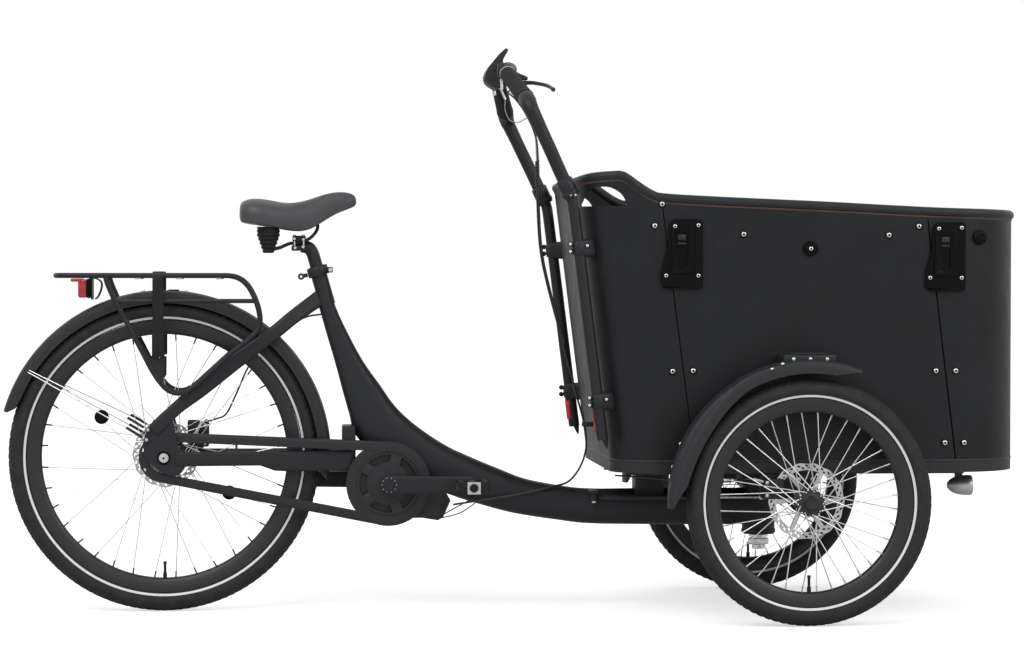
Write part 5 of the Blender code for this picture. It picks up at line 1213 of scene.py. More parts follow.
class BuildDrive(bpy.types.Operator):
    """Chainring, sprocket, chain, case, cranks and pedals."""

    bl_idname = "trike.drive"
    bl_label = "Drive"

    def execute(self, context):
        self.rings()
        self.chain()
        self.case()
        self.cranks()
        self.pedals()
        return {"FINISHED"}

    def rings(self):
        """Chainring with its cap and teeth, and the sprocket."""
        y = CHAIN_Y
        centre = (CRANK.x, CRANK.z)
        outlines = [circle(centre, 0.0719, 96), circle(centre, 0.0103, 32)]
        for i in range(5):
            start = 72.0 * i + 12
            outlines.append(arc(centre, 0.061, start, start + 50, 12) + arc(centre, 0.046, start + 47, start + 3, 9))
        plate = slab(outlines, "XZ", y - 0.0015, y + 0.0015)
        piece("chainring_plate", plate, "anodised", "crank", "chainring", edge=0.0004)
        cap = lathe(
            [(0.0103, y - 0.0016), (0.0445, y - 0.0016), (0.044, y - 0.0032), (0.03, y - 0.0052),
             (0.016, y - 0.007), (0.0103, y - 0.007)],
            (CRANK.x, 0, CRANK.z), "Y", 64,
        )
        piece("chainring_cap", cap, "plastic", "crank")
        tooth = block((-0.0022, -0.001, -0.004), (0.0022, 0.001, 0.0028), 0.0006, 1)
        repeat("chainring_teeth", tooth, teeth_places(CRANK, 0.0735, 38, y), "anodised", "crank")
        rear = (REAR_AXLE.x, REAR_AXLE.z)
        plate = slab([circle(rear, 0.0356, 72), circle(rear, 0.011, 32)], "XZ", y - 0.0015, y + 0.0015)
        piece("sprocket_plate", plate, "oiled", "sprocket", "rear_sprocket", edge=0.0004)
        tooth = block((-0.002, -0.001, -0.004), (0.002, 0.001, 0.0026), 0.0006, 1)
        repeat("sprocket_teeth", tooth, teeth_places(REAR_AXLE, 0.0372, 20, y), "oiled", "sprocket")

    def chain(self):
        """Links laid along the pitch line, inner and outer plates in turn."""
        line = [Vector((x, CHAIN_Y, z)) for x, z in belt(0.0769, 0.0406, 60)]
        line.append(line[0])
        total = sum((b - a).length for a, b in zip(line, line[1:]))
        count = 2 * round(total / (2 * CHAIN_PITCH))
        step = total / count
        spots = []
        walked, index = 0.0, 0
        for i in range(count):
            target = i * step
            while walked + (line[index + 1] - line[index]).length < target:
                walked += (line[index + 1] - line[index]).length
                index += 1
            way = (line[index + 1] - line[index]).normalized()
            spots.append(line[index] + way * (target - walked))
        places = []
        for i in range(count):
            a, b = spots[i], spots[(i + 1) % count]
            way = (b - a).normalized()
            turn = Matrix((way, Vector((0, 1, 0)), way.cross(Vector((0, 1, 0))))).transposed()
            places.append(((a + b) / 2, turn, (1.0, 1.0 if i % 2 else 0.62, 1.0)))
        link = bmesh.new()
        for low, high in ((0.0022, 0.0032), (-0.0032, -0.0022)):
            half = []
            for i in range(14):
                a = 2 * math.pi * i / 14
                side = math.copysign(CHAIN_PITCH / 2, math.cos(a))
                half.append((side + 0.0038 * math.cos(a), 0.0038 * math.sin(a)))
            rings = [[Vector((x, y, z)) for x, z in half] for y in (low, high)]
            flat = skin(rings)
            mesh = bpy.data.meshes.new("link")
            flat.to_mesh(mesh)
            flat.free()
            link.from_mesh(mesh)
            bpy.data.meshes.remove(mesh)
        repeat("chain_links", link, places, "oiled", "frame", "chain")
        pin = rod((0, -0.0034, 0), (0, 0.0034, 0), 0.0021, 10)
        repeat("chain_pins", pin, [(spot, Matrix.Identity(3), 1.0) for spot in spots], "oiled", "frame")

    def case(self):
        """Moulded cover swept round the chain, open on the wheel's side."""
        outer_y, inner_y, sheet = -0.061, -0.0485, 0.0015
        outer, hole = belt(0.0885, 0.0526, 60), belt(0.0675, 0.033, 60)
        rings = []
        for (ox, oz), (hx, hz) in zip(outer, hole):
            out, near = Vector((ox, 0, oz)), Vector((hx, 0, hz))
            way = (out - near).normalized()
            depth = (out - near).length
            rows = [
                (0.0, outer_y + sheet), (0.0, outer_y + 0.0006), (0.0006, outer_y), (0.006, outer_y),
                (depth - 0.0052, outer_y), (depth - 0.003, outer_y + 0.0005), (depth - 0.001, outer_y + 0.002),
                (depth, outer_y + 0.005), (depth, inner_y), (depth - sheet, inner_y),
                (depth - sheet, outer_y + 0.005), (depth - 0.005, outer_y + sheet),
            ]
            rings.append([near + way * along + Vector((0, y, 0)) for along, y in rows])
        cover = piece("chain_case_cover", skin(rings, closed=True), "plastic", "frame", "chain_case", angle=50)
        slots = []
        for start, end, radius in ((154.0, 164.0, 0.0455), (209.0, 217.0, 0.047)):
            centre = (REAR_AXLE.x, REAR_AXLE.z)
            ring = arc(centre, radius + 0.0018, start, end, 12) + arc(centre, radius - 0.0018, end, start, 12)
            slots.append(slab([ring], "XZ", -0.07, -0.055))
        slots.append(block((0.33, -0.07, 0.3085), (0.356, -0.055, 0.3125)))
        carve(cover, slots)
        centre = (CRANK.x, CRANK.z)
        ring = slab([circle(centre, 0.0886, 120), circle(centre, 0.0676, 120)], "XZ", -0.0607, -0.0595)
        piece("chain_case_ring", ring, "plastic", "frame", edge=0.0004)
        foot = block((0.148, -0.0607, 0.3382), (0.153, -0.0598, 0.362))
        piece("chain_case_foot", foot, "plastic", "frame")
        places = [((0.06, -0.061, 0.289), facing((0, -1, 0)), 0.003)]
        repeat("chain_case_screws", screw_head(), places, "steel", "frame")

    def arm(self, reach):
        """Forged arm with a shallow groove along its outer face."""
        rings = []
        for share in [i / 24 for i in range(25)]:
            x = CRANK.x + reach * (-0.019 + (0.17 + 0.035) * share)
            from_boss = abs(x - CRANK.x) if (x - CRANK.x) * reach > 0 else -abs(x - CRANK.x)
            half = 0.019 - 0.003 * min(1.0, max(0.0, from_boss / 0.17))
            if from_boss < 0:
                half = math.sqrt(max(0.0, 0.019**2 - from_boss**2)) + 0.0004
            elif from_boss > 0.17:
                half = math.sqrt(max(0.0, 0.016**2 - (from_boss - 0.17) ** 2)) + 0.0004
            thick = 0.006 if 0.0 < from_boss < 0.172 else 0.0055
            rings.append(section((x, 0.094, CRANK.z), (0, 0, half), (0, thick, 0), 28, 0.42))
        return skin(rings)

    def cranks(self):
        """Two arms with their axle, pedal spindles and bolts, and bright dots round the bolts as painted highlight.
        """
        right = [mirrored(self.arm(1))]
        right.append(rod((CRANK.x, -0.0655, CRANK.z), (CRANK.x, -0.0905, CRANK.z), 0.016, 40))
        right.append(rod((0.638, -0.094, CRANK.z), (0.638, -0.197, CRANK.z), 0.0055, 20))
        piece("crank_arm_right", right, "coat", "crank", "crank_right")
        left = [self.arm(-1), rod((CRANK.x, 0.0655, CRANK.z), (CRANK.x, 0.0905, CRANK.z), 0.016, 40)]
        left.append(rod((CRANK.x, 0.094, CRANK.z), (CRANK.x, -0.0975, CRANK.z), 0.01, 32))
        left.append(rod((0.298, 0.094, CRANK.z), (0.298, 0.197, CRANK.z), 0.0055, 20))
        piece("crank_arm_left", left, "coat", "crank", "crank_left")
        bolts = []
        for side in (-1, 1):
            profile = [
                (0.0, 0.0), (0.0105, 0.0), (0.0105, -0.0014), (0.01, -0.002), (0.0062, -0.002), (0.0055, -0.0012),
                (0.0, -0.0012),
            ]
            bolts.append(lathe([(r, side * (0.1 - y)) for r, y in profile], (CRANK.x, 0, CRANK.z), "Y", 40))
        piece("crank_bolts", bolts, "coat", "crank")
        # Painted highlight: ten bright steel dots on each bolt face stand in for the light on the boss's edge
        bright_bits = []
        for side in (-1, 1):
            for i in range(10):
                a = 2 * math.pi * i / 10
                spot = (CRANK.x + 0.015 * math.cos(a), side * 0.0999, CRANK.z + 0.015 * math.sin(a))
                bright_bits.append((spot, facing((0, side, 0)), 0.0009))
        repeat("crank_marks", screw_head(), bright_bits, "steel", "crank")

    def pedals(self):
        """Moulded platform with rubber treads round its spindle and an end plate with the bearing's cover."""
        for ending, side, x in (("right", -1, 0.638), ("left", 1, 0.298)):
            z = CRANK.z
            body = "pedal_" + ending
            near, far = 0.112, 0.2055
            core = lathe([(0.0062, near), (0.0105, near), (0.0115, near + 0.01), (0.0115, far), (0.0062, far)],
                         (x, 0, z), "Y", 32)
            bars = [core]
            for dx in (-0.0245, 0.0245):
                low = (x + dx - 0.007, near + 0.003, z - 0.0105)
                high = (x + dx + 0.007, far - 0.003, z + 0.0105)
                bars.append(block(low, high, 0.003, 3))
            for y in (near, far - 0.006):
                bars.append(block((x - 0.0325, y, z - 0.0125), (x + 0.0325, y + 0.006, z + 0.0125), 0.003, 3))
            plates = bars if side > 0 else [mirrored(shape) for shape in bars]
            piece(body + "_cage", plates, "rubber", body, body)
            pads = []
            for dx in (-0.0245, 0.0245):
                for top in (-1, 1):
                    for i in range(9):
                        y = near + 0.008 + i * 0.0095
                        spot = (x + dx, side * y, z + top * 0.0112)
                        pads.append((spot, Matrix.Identity(3), (0.0118, 0.0055, 0.0048)))
            stud = block((-0.5, -0.5, -0.5), (0.5, 0.5, 0.5), 0.18, 1)
            repeat(body + "_treads", stud, pads, "rubber", body)
            outline = [
                (x - 0.0135, z - 0.0125), (x + 0.0135, z - 0.0125), (x + 0.0135, z + 0.0125), (x - 0.0135, z + 0.0125)
            ]
            end = slab([outline, circle((x, z), 0.0092, 32)], "XZ", side * 0.2055, side * 0.2068)
            piece(body + "_end_plate", end, "alloy", body, edge=0.0005)
            cover = lathe([(0.0, side * 0.205), (0.009, side * 0.205), (0.009, side * 0.2062), (0.007, side * 0.2064),
                           (0.0, side * 0.2056)], (x, 0, z), "Y", 32)
            piece(body + "_bearing_cover", cover, "rubber", body)
            lens = []
            for dx in (-1, 1):
                low = (x + dx * 0.0322 - 0.0008, near + 0.018, z - 0.0075)
                high = (x + dx * 0.0322 + 0.0008, far - 0.018, z + 0.0075)
                lens.append(block(low, high, 0.0006, 1))
            piece(body + "_reflectors", lens if side > 0 else [mirrored(shape) for shape in lens], "clear", body)


# Seat


class BuildSeat(bpy.types.Operator):
    """Padded saddle on wire rails with rubber springs, its post and the quick release collar."""

    bl_idname = "trike.seat"
    bl_label = "Seat"

    def execute(self, context):
        self.cushion()
        self.rails()
        self.post()
        self.collar()
        return {"FINISHED"}

    def cushion(self):
        """Padded cover, smoothed by subdivision."""
        stations = (  # X, top, lower edge, half width
            (0.1565, 0.854, 0.82, 0.062), (0.165, 0.864, 0.8165, 0.079), (0.19, 0.8695, 0.8125, 0.09),
            (0.226, 0.864, 0.8075, 0.088), (0.262, 0.856, 0.799, 0.066), (0.305, 0.866, 0.797, 0.04),
            (0.35, 0.8835, 0.833, 0.029), (0.392, 0.882, 0.848, 0.023), (0.403, 0.87, 0.854, 0.014),
        )
        rings = []
        for x, top, low, half in stations:
            crown = top - low
            recess = max(low, 0.8109, 0.8215 if x > 0.31 else 0.0)
            ring = [
                (x, 0.0, top), (x, half * 0.34, top - crown * 0.012), (x, half * 0.6, top - crown * 0.05),
                (x, half * 0.86, top - crown * 0.19), (x, half, top - crown * 0.45),
                (x, half * 0.995, low + crown * 0.2), (x, half * 0.98, low), (x, half * 0.93, low + 0.001),
                (x, half * 0.89, recess), (x, 0.0, recess),
            ]
            mirror = [(x, -y, z) for x, y, z in reversed(ring[1:-1])]
            rings.append([Vector(point) for point in ring + mirror])
        cover = piece("saddle_cover", skin(rings), "saddle", None, angle=180)
        soft = cover.modifiers.new("soft", "SUBSURF")
        soft.levels = 3
        soft.render_levels = 3
        view = bpy.context.evaluated_depsgraph_get()
        done = bpy.data.meshes.new_from_object(cover.evaluated_get(view))
        cover.modifiers.clear()
        cover.data = done
        done.shade_smooth()
        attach(cover, "seat")
        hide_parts("saddle")

    def rails(self):
        """Bent wire under the saddle and its two ribbed springs."""
        left = [
            (0.3215, 0.0, 0.811), (0.319, 0.012, 0.8005), (0.309, 0.022, 0.788), (0.297, 0.022, 0.78),
            (0.28, 0.022, 0.7745), (0.262, 0.022, 0.773), (0.24, 0.038, 0.764), (0.2175, 0.052, 0.76),
        ]
        wire = tube(spline(both_sides(left), 8), 0.0035, 14, up=(1, 0, 0))
        piece("saddle_rail_wire", wire, "coat", "seat", "saddle_rails")
        springs = []
        for side in (1, -1):
            profile = [(0.0, 0.7535), (0.0095, 0.7535), (0.0115, 0.755)]
            ribs = 6
            for i in range(ribs * 6 + 1):
                share = i / (ribs * 6)
                radius = 0.0115 + 0.0118 * min(1.0, 1.5 * share)
                wave = 0.001 * math.cos(2 * math.pi * share * ribs)
                profile.append((radius + wave, 0.756 + 0.0515 * share))
            profile.append((0.0, 0.808))
            springs.append(lathe(profile, (0.2175, side * 0.052, 0.0), "Z", 40))
        piece("saddle_springs", springs, "rubber", "seat", angle=60)

    def post(self):
        """Bent post with its clamp and the clamp's bolts."""
        low = SEAT_TOP - SEAT_AXIS * 0.235
        shoulder = SEAT_TOP + SEAT_AXIS * 0.026
        path = [low] + spline([shoulder, (0.3035, 0.0, 0.763), (0.288, 0.0, 0.768)], 6)
        shapes = [tube(path, 0.0135, 32)]
        shapes.append(block((0.266, -0.0295, 0.758), (0.298, 0.0295, 0.7695), 0.003, 3))
        shapes.append(block((0.268, -0.0295, 0.777), (0.296, 0.0295, 0.7895), 0.003, 3))
        shapes.append(block((0.27, -0.015, 0.76), (0.294, 0.015, 0.787), 0.003, 2))
        piece("seat_post_and_head", shapes, "coat", "seat", "seat_post")
        places = []
        for x in (0.272, 0.291):
            for _, side in sides():
                places.append(((x, side * 0.0265, 0.7895), Matrix.Identity(3), 0.0036))
        repeat("seat_clamp_bolt_heads", screw_head(), places, "steel", "seat")
        shafts = [
            rod((x, side * 0.0265, 0.76), (x, side * 0.0265, 0.789), 0.0024, 12) for x in (0.272, 0.291)
            for side in (1, -1)
        ]
        shafts += [rod((x, side * 0.03, z), (x, side * 0.033, z), 0.0034, 14, edge=0.0006)
                   for x, z in ((0.2715, 0.783), (0.2905, 0.7815), (0.273, 0.764), (0.29, 0.766)) for side in (1, -1)]
        piece("seat_clamp_bolts", shafts, "steel", "seat")

    def collar(self):
        """Ring on the frame's tube with its quick release lever and nut."""
        profile = [
            (0.01735, -0.021), (0.0215, -0.021), (0.0222, -0.02), (0.0222, -0.002), (0.0215, -0.001),
            (0.01735, -0.001)
        ]
        ring = turned(profile, 48)
        stood(ring, SEAT_TOP, SEAT_AXIS)
        ears = block((0.337, -0.008, 0.712), (0.353, 0.008, 0.724), 0.002, 2)
        eyelet = tube([(0.3, 0, 0.707), (0.29, 0, 0.7045)], 0.0042, 16)
        loop = lathe([(0.0026, -0.003), (0.0062, -0.003), (0.007, 0.0), (0.0062, 0.003), (0.0026, 0.003)],
                     (0.2862, 0.0, 0.7036), "Y", 28)
        piece("seat_collar", [ring, ears, eyelet, loop], "coat", "frame", "seat_clamp")
        hinge = Vector((0.3475, 0.0128, 0.718))
        barrel = rod(hinge - Vector((0, 0, 0.0055)), hinge + Vector((0, 0, 0.0055)), 0.0045, 28, edge=0.0006)
        arm = tube(spline([hinge, (0.332, 0.0265, 0.7165), (0.316, 0.029, 0.7148), (0.3, 0.03, 0.713)], 8),
                   [0.0034] * 12 + [0.003] * 8 + [0.0038] * 5, 16, flat=0.6)
        piece("quick_release_lever", [barrel, arm], "coat", "clamp_lever", "seat_clamp_lever")
        bolt = rod((0.3475, -0.0125, 0.718), (0.3475, 0.0075, 0.718), 0.0025, 16)
        nut = rod((0.3475, -0.014, 0.718), (0.3475, -0.0085, 0.718), 0.0048, 24, edge=0.0007)
        piece("quick_release_nut", [bolt, nut], "steel", "frame")


# Rack


RACK_BARS = (-0.1505, -0.011, 0.12)
RACK_HALF = 0.08
DECK_Z = 0.7055


def rack_line():
    """One side of the rack on the left, from the top of the rear strut round the loop to the rear of the deck."""
    points = [
        (-0.119, 0.705), (-0.117, 0.693), (-0.11, 0.676), (-0.102, 0.6573), (-0.0625, 0.5842), (-0.023, 0.507),
        (-0.011, 0.489), (0.004, 0.47), (0.022, 0.461),
        (0.042, 0.461), (0.063, 0.474), (0.143, 0.547), (0.18, 0.576), (0.196, 0.592), (0.201, 0.61), (0.197, 0.637),
        (0.188, 0.662), (0.176, 0.684), (0.16, 0.699), (0.14, 0.7055), (-0.19, 0.7055),
    ]
    line = [(x, RACK_HALF, z) for x, z in points]
    line += [(-0.211, 0.0755, 0.7055), (-0.2195, 0.064, 0.7055), (-0.2235, 0.045, 0.7055), (-0.225, 0.02, 0.7055)]
    return line


class BuildRack(bpy.types.Operator):
    """Tube rack with its bars, gussets, elastic strap and tail light."""

    bl_idname = "trike.rack"
    bl_label = "Rack"

    def execute(self, context):
        left = rack_line()
        path = rounded(left + [(x, -y, z) for x, y, z in reversed(left)], 0.012, 4)
        shapes = [tube(path, 0.0055, 16)]
        for x in RACK_BARS:
            shapes.append(rod((x, -RACK_HALF, DECK_Z), (x, RACK_HALF, DECK_Z), 0.004, 16))
        gusset = [(-0.036, 0.534), (0.0015, 0.534), (0.001, 0.494), (-0.006, 0.484), (-0.012, 0.487)]
        for _, side in sides():
            y = side * RACK_HALF
            shapes.append(rod((-0.1, y, 0.652), (0.1925, y, 0.652), 0.004, 16))
            shapes.append(slab([gusset], "XZ", y - 0.0015, y + 0.0015))
            shapes.append(rod((0.043, y - 0.0075, 0.459), (0.043, y + 0.0075, 0.459), 0.0085, 24, edge=0.001))
        shapes.append(block((-0.152, -0.03, 0.655), (-0.149, 0.03, 0.706), 0.0008, 1))
        piece("rack_tubes", shapes, "coat", "frame", "rear_rack")
        places = []
        for x in RACK_BARS:
            for _, side in sides():
                places.append(((x, side * 0.052, 0.701), facing((0, 0, -1)), 0.0042))
        for _, side in sides():
            places.append(((0.043, side * 0.0878, 0.459), facing((0, side, 0)), 0.005))
            places.append(((-0.016, side * 0.082, 0.505), facing((0, side, 0)), 0.0036))
        repeat("rack_screws", screw_head(), places, "coat", "frame")
        pads = [
            rod((x - 0.006, side * 0.0812, 0.6996), (x + 0.006, side * 0.0812, 0.6996), 0.0017, 12, edge=0.0006)
            for x in (-0.0523, 0.0324, 0.1147) for _, side in sides()
        ]
        piece("rack_pads", pads, "alloy", "frame")
        self.strap()
        self.lamp()
        return {"FINISHED"}

    def strap(self):
        """Flat elastic band over the deck, with a moulded hook at each end."""
        half, x = 0.0015, -0.011
        out, over, low = 0.0873, 0.7128, 0.5358
        left = [(x, out, low + 0.003), (x, out, over - 0.01), (x, out - 0.01, over)]
        line = rounded(left + [(x, -y, z) for _, y, z in reversed(left)], 0.01, 5)
        rings = []
        for i, spot in enumerate(line):
            before, after = line[max(i - 1, 0)], line[min(i + 1, len(line) - 1)]
            way = (after - before).normalized()
            up = way.cross(Vector((1, 0, 0))).normalized()
            rings.append(section(spot, up * half, Vector((0.0115, 0, 0)), 20, 0.35))
        shapes = [skin(rings)]
        piece("elastic_strap", shapes, "rubber", "frame", "rack_strap")
        hooks = []
        for _, side in sides():
            y = side * (out + 0.0015)
            hook = block((x - 0.0125, min(y - side * 0.002, y + side * 0.005), low + 0.001),
                         (x + 0.0135, max(y - side * 0.002, y + side * 0.005), low + 0.05), 0.002, 3)
            hooks.append(hook)
        piece("strap_hooks", hooks, "rubber", "frame")

    def lamp(self):
        """Tail light under the deck's rear end."""
        body = block((-0.161, -0.034, 0.658), (-0.1523, 0.034, 0.699), 0.0035, 4)
        piece("tail_light_body", body, "gloss", "frame", "tail_light")
        lens = [block((-0.179, -0.0325, 0.659), (-0.16, 0.0325, 0.698), 0.005, 4)]
        lens.append(block((-0.194, -0.0325, 0.6925), (-0.17, 0.0325, 0.6995), 0.0025, 3))
        piece("tail_light_lens", lens, "red", "frame")
        bail = []
        for _, side in sides():
            line = [(-0.15, side * 0.02, 0.7), (-0.142, side * 0.02, 0.699), (-0.133, side * 0.02, 0.693),
                    (-0.131, side * 0.02, 0.682), (-0.137, side * 0.02, 0.664), (-0.144, side * 0.02, 0.656)]
            bail.append(tube(spline(line, 6), 0.0013, 10))
        piece("tail_light_wire", bail, "cable", "frame")


# Mudguards


def guard_skin(radius, width, skirt, middle, centre, degrees, count, tuck=0.0):
    """A crowned strip with side skirts round part of a wheel; tuck brings its rear half nearer and points its end."""
    start, end = degrees
    half, sheet, run_out = width / 2, 0.0018, 0.05
    crown = ((0.0, 0.0), (0.3, 0.0004), (0.6, 0.0016), (0.82, 0.0034), (0.93, 0.0052), (0.985, 0.0078))
    rings = []
    for i in range(count + 1):
        a = math.radians(start + (end - start) * i / count)
        gap = min(i, count - i) / count * math.radians(end - start) * radius
        share = min(1.0, gap / run_out) if tuck else math.sqrt(max(0.0, 1 - max(0.0, 1 - gap / run_out) ** 2))
        near = radius - tuck * math.sin(math.pi * min(1.0, max(0.0, (math.degrees(a) - 120.0) / 64.0)))
        depth = 0.009 + (skirt - 0.009) * share
        side = [*crown, (1.0, 0.009 + (depth - 0.009) * 0.5), (1.0, depth)]
        rows = [(-y, drop) for y, drop in reversed(side[1:])] + side
        way = Vector((math.cos(a), 0, math.sin(a)))
        outer, inner = [], []
        for y, drop in rows:
            outer.append(Vector(centre) + way * (near - drop) + Vector((0, middle + half * y, 0)))
            under = depth if drop == depth else drop + sheet
            inner.append(Vector(centre) + way * (radius - under) + Vector((0, middle + (half - sheet) * y, 0)))
        rings.append(outer + list(reversed(inner)))
    return skin(rings)


REAR_STAYS = (  # angle of the stay's upper end, its foot
    (147.0, (-0.0325, 0.3847)), (147.9, (-0.0355, 0.364)),
)


class BuildMudguards(bpy.types.Operator):
    """Rear guard with its wire stays, and the two front guards on their brackets."""

    bl_idname = "trike.mudguards"
    bl_label = "Mudguards"

    def execute(self, context):
        guard = guard_skin(0.349, 0.062, 0.0275, 0.0, REAR_AXLE, (-8.0, 164.0), 120)
        piece("rear_guard_sheet", guard, "plastic", "frame", "rear_mudguard", angle=50)
        wires, ends = [], []
        for _, side in sides():
            for degrees, (x, z) in REAR_STAYS:
                a = math.radians(degrees)
                top = REAR_AXLE + Vector((0.3335 * math.cos(a), 0, 0.3335 * math.sin(a)))
                line = [
                    (top.x, side * 0.0326, top.z), (top.x + 0.012, side * 0.0345, top.z - 0.006),
                    (x - 0.02, side * 0.073, z + 0.012), (x, side * 0.0755, z),
                ]
                wires.append(tube(rounded(line, 0.01, 3), 0.0014, 10))
                back, fore = (x - 0.042, side * 0.069, z + 0.0255), (x - 0.008, side * 0.0746, z + 0.005)
                ends.append(rod(back, fore, 0.003, 14, edge=0.0008))
                ends.append(rod((x, side * 0.0723, z), (x, side * 0.0783, z), 0.0058, 24, edge=0.001))
        piece("rear_guard_stays", wires, "steel", "frame")
        places = [
            ((x, side * 0.0782, z), facing((0, side, 0)), 0.004)
            for _, (x, z) in REAR_STAYS for _, side in sides()
        ]
        repeat("rear_guard_stay_screws", screw_head(), places, "alloy", "frame")
        piece("rear_guard_stay_ends", ends, "plastic", "frame")
        bracket = [block((0.008, -0.012, 0.67), (0.03, 0.012, 0.6764), 0.0015, 2)]
        piece("rear_guard_bridge", bracket, "coat", "frame")
        places = [
            ((x, y, REAR_AXLE.z + math.sqrt(0.3492**2 - x * x)), facing((x, 0, 0.349)), 0.0042)
            for x in (-0.045, 0.045) for y in (-0.006, 0.006)
        ]
        repeat("rear_guard_rivets", screw_head(), places, "steel", "frame")
        for ending, side in sides():
            sheet = guard_skin(0.289, 0.062, 0.0285, side * 0.381, FRONT_AXLE, (69.0, 182.0), 90, 0.013)
            name = "front_guard_" + ending
            piece(name + "_sheet", sheet, "plastic", "front", "front_mudguard_" + ending, angle=50)
            low = (1.248, min(side * 0.3103, side * 0.391), 0.53)
            high = (1.355, max(side * 0.3103, side * 0.391), 0.548)
            step = [block(low, high, 0.004, 3)]
            step.append(block((1.262, low[1], 0.5475), (1.341, high[1], 0.55), 0.001, 1))
            piece(name + "_bracket", step, "plastic", "front")
            places = []
            for x, z in ((1.268, 0.5385), (1.302, 0.5385), (1.336, 0.5385)):
                places.append(((x, side * 0.391, z), facing((0, side, 0)), 0.0042))
            places.append(((1.2205, side * 0.4105, 0.52), facing((-0.3, side * 0.4, 0.9)), 0.0042))
            places.append(((1.242, side * 0.4105, 0.53), facing((-0.2, side * 0.4, 0.9)), 0.0042))
            repeat(name + "_screws", screw_head(), places, "steel", "front")
        return {"FINISHED"}


# Box

RIM_LINE = (  # height of the rim's top along X
    (0.836, 0.903), (0.868, 0.914), (0.911, 0.918), (0.933, 0.917), (0.958, 0.9), (0.988, 0.881),
    (1.018, 0.873), (1.147, 0.866), (1.335, 0.858), (1.473, 0.851), (1.608, 0.845), (1.77, 0.842),
)
RIM_CURVE = [(point.x, point.y) for point in spline([(x, z, 0) for x, z in RIM_LINE], 6)]
HAND_HOLE = (
    (0.853, 0.847), (0.903, 0.847), (0.937, 0.848), (0.938, 0.858), (0.928, 0.873), (0.909, 0.884), (0.89, 0.886),
    (0.868, 0.88),
)
BOX_HALF = 0.31
BOX_FRONT = 1.765
REAR_CORNER, FRONT_CORNER = 0.09, 0.15
WALL = 0.009
TRAY_TOP = 0.33
REAR_LEAN = 0.125
SEAM_GAP = 0.0011
SEAMS = {"rear": (1.012, 0.852, 0.1297), "front": (1.558, 0.826, 0.1207)}


def rear_x(z):
    """Outer face of the leaning rear wall at a height."""
    return 0.845 + (0.887 - z) * REAR_LEAN


def seam_x(seam, z):
    """Middle of the seam before or behind a side panel at a height."""
    x, at, lean = SEAMS[seam]
    return x + (at - z) * lean


def wall_top(x):
    """Upper edge of the walls under the rim tube."""
    slope = abs(table_value(RIM_CURVE, x + 0.004) - table_value(RIM_CURVE, x - 0.004)) / 0.008
    return table_value(RIM_CURVE, x) - 0.01 * (1 + math.hypot(1, slope)) + 0.001


def on_wall(column, high):
    """Where an upright line of a wall meets its upper or its lower edge."""
    z = TRAY_TOP + 0.0008
    if high:
        for _ in range(8):
            z = wall_top(column(z)[0])
    return Vector((*column(z), z))


def rear_columns(inset):
    """Upright lines of the rear wall on the left, from the seam round the corner to the middle."""
    half, radius = BOX_HALF - inset, REAR_CORNER - inset
    columns = []
    for share in [1 - i / 8 for i in range(8)]:
        columns.append(
            lambda z, share=share: (
                rear_x(z) + inset + radius + share * (seam_x("rear", z) - SEAM_GAP - rear_x(z) - inset - radius), half
            )
        )
    for i in range(19):
        a = math.radians(90 * i / 18)
        columns.append(
            lambda z, a=a: (rear_x(z) + inset + radius - radius * math.sin(a), half - radius + radius * math.cos(a))
        )
    return columns


def front_columns(inset):
    """Upright lines of the front wall on the left, from the seam round the corner to the middle."""
    half, radius = BOX_HALF - inset, FRONT_CORNER - inset
    middle = BOX_FRONT - inset - radius
    columns = []
    for share in (0.0, 0.5):
        columns.append(
            lambda z, share=share: (
                seam_x("front", z) + SEAM_GAP + share * max(0.004, middle - seam_x("front", z) - SEAM_GAP), half
            )
        )
    for i in range(1, 21):
        a = math.radians(90 * i / 20)
        point = (middle + radius * math.sin(a), half - radius + radius * math.cos(a))
        columns.append(lambda z, point=point: (max(point[0], seam_x("front", z) + SEAM_GAP + 0.0001), point[1]))
    return columns


def wall_skin(columns_of):
    """A wall round two corners, with rows at several heights."""
    outer, inner = columns_of(0.0), columns_of(WALL)
    left = []
    for near, far in zip(outer, inner):
        ring = []
        for column in (near, far):
            low, high = on_wall(column, False), on_wall(column, True)
            rows = []
            for i in range(9):
                z = low.z + (high.z - low.z) * i / 8
                rows.append(Vector((*column(z), z)))
            ring.append(rows)
        left.append(ring[0] + list(reversed(ring[1])))
    right = [[Vector((p.x, -p.y, p.z)) for p in ring] for ring in reversed(left)]
    if abs(left[-1][0].y) < 1e-6:
        right = right[1:]
    return skin(left + right)


def wall_face(x, z):
    """Point on the box's outer face on the left at X and height, with the way it faces."""
    rear_centre = rear_x(z) + REAR_CORNER
    front_centre = BOX_FRONT - FRONT_CORNER
    if x < rear_centre:
        a = math.asin(min(1.0, (rear_centre - x) / REAR_CORNER))
        y = BOX_HALF - REAR_CORNER * (1 - math.cos(a))
        return Vector((x, y, z)), Vector((-math.sin(a), math.cos(a), 0))
    if x > front_centre:
        a = math.asin(min(1.0, (x - front_centre) / FRONT_CORNER))
        y = BOX_HALF - FRONT_CORNER * (1 - math.cos(a))
        return Vector((x, y, z)), Vector((math.sin(a), math.cos(a), 0))
    return Vector((x, BOX_HALF, z)), Vector((0, 1, 0))


def edge_strip(ring, profile, level):
    """A strip of (outwards, height) points laid along a plan outline, on the level at each X."""
    rings = []
    for i, (x, y) in enumerate(ring):
        before, after = Vector(ring[i - 1]), Vector(ring[(i + 1) % len(ring)])
        way = (after - before).normalized()
        normal = Vector((way.y, -way.x))
        if normal.dot(Vector((x - 1.3, y))) < 0:
            normal = -normal
        base = level(x)
        rings.append([Vector((x + normal.x * out, y + normal.y * out, base + up)) for out, up in profile])
    return skin(rings, closed=True)


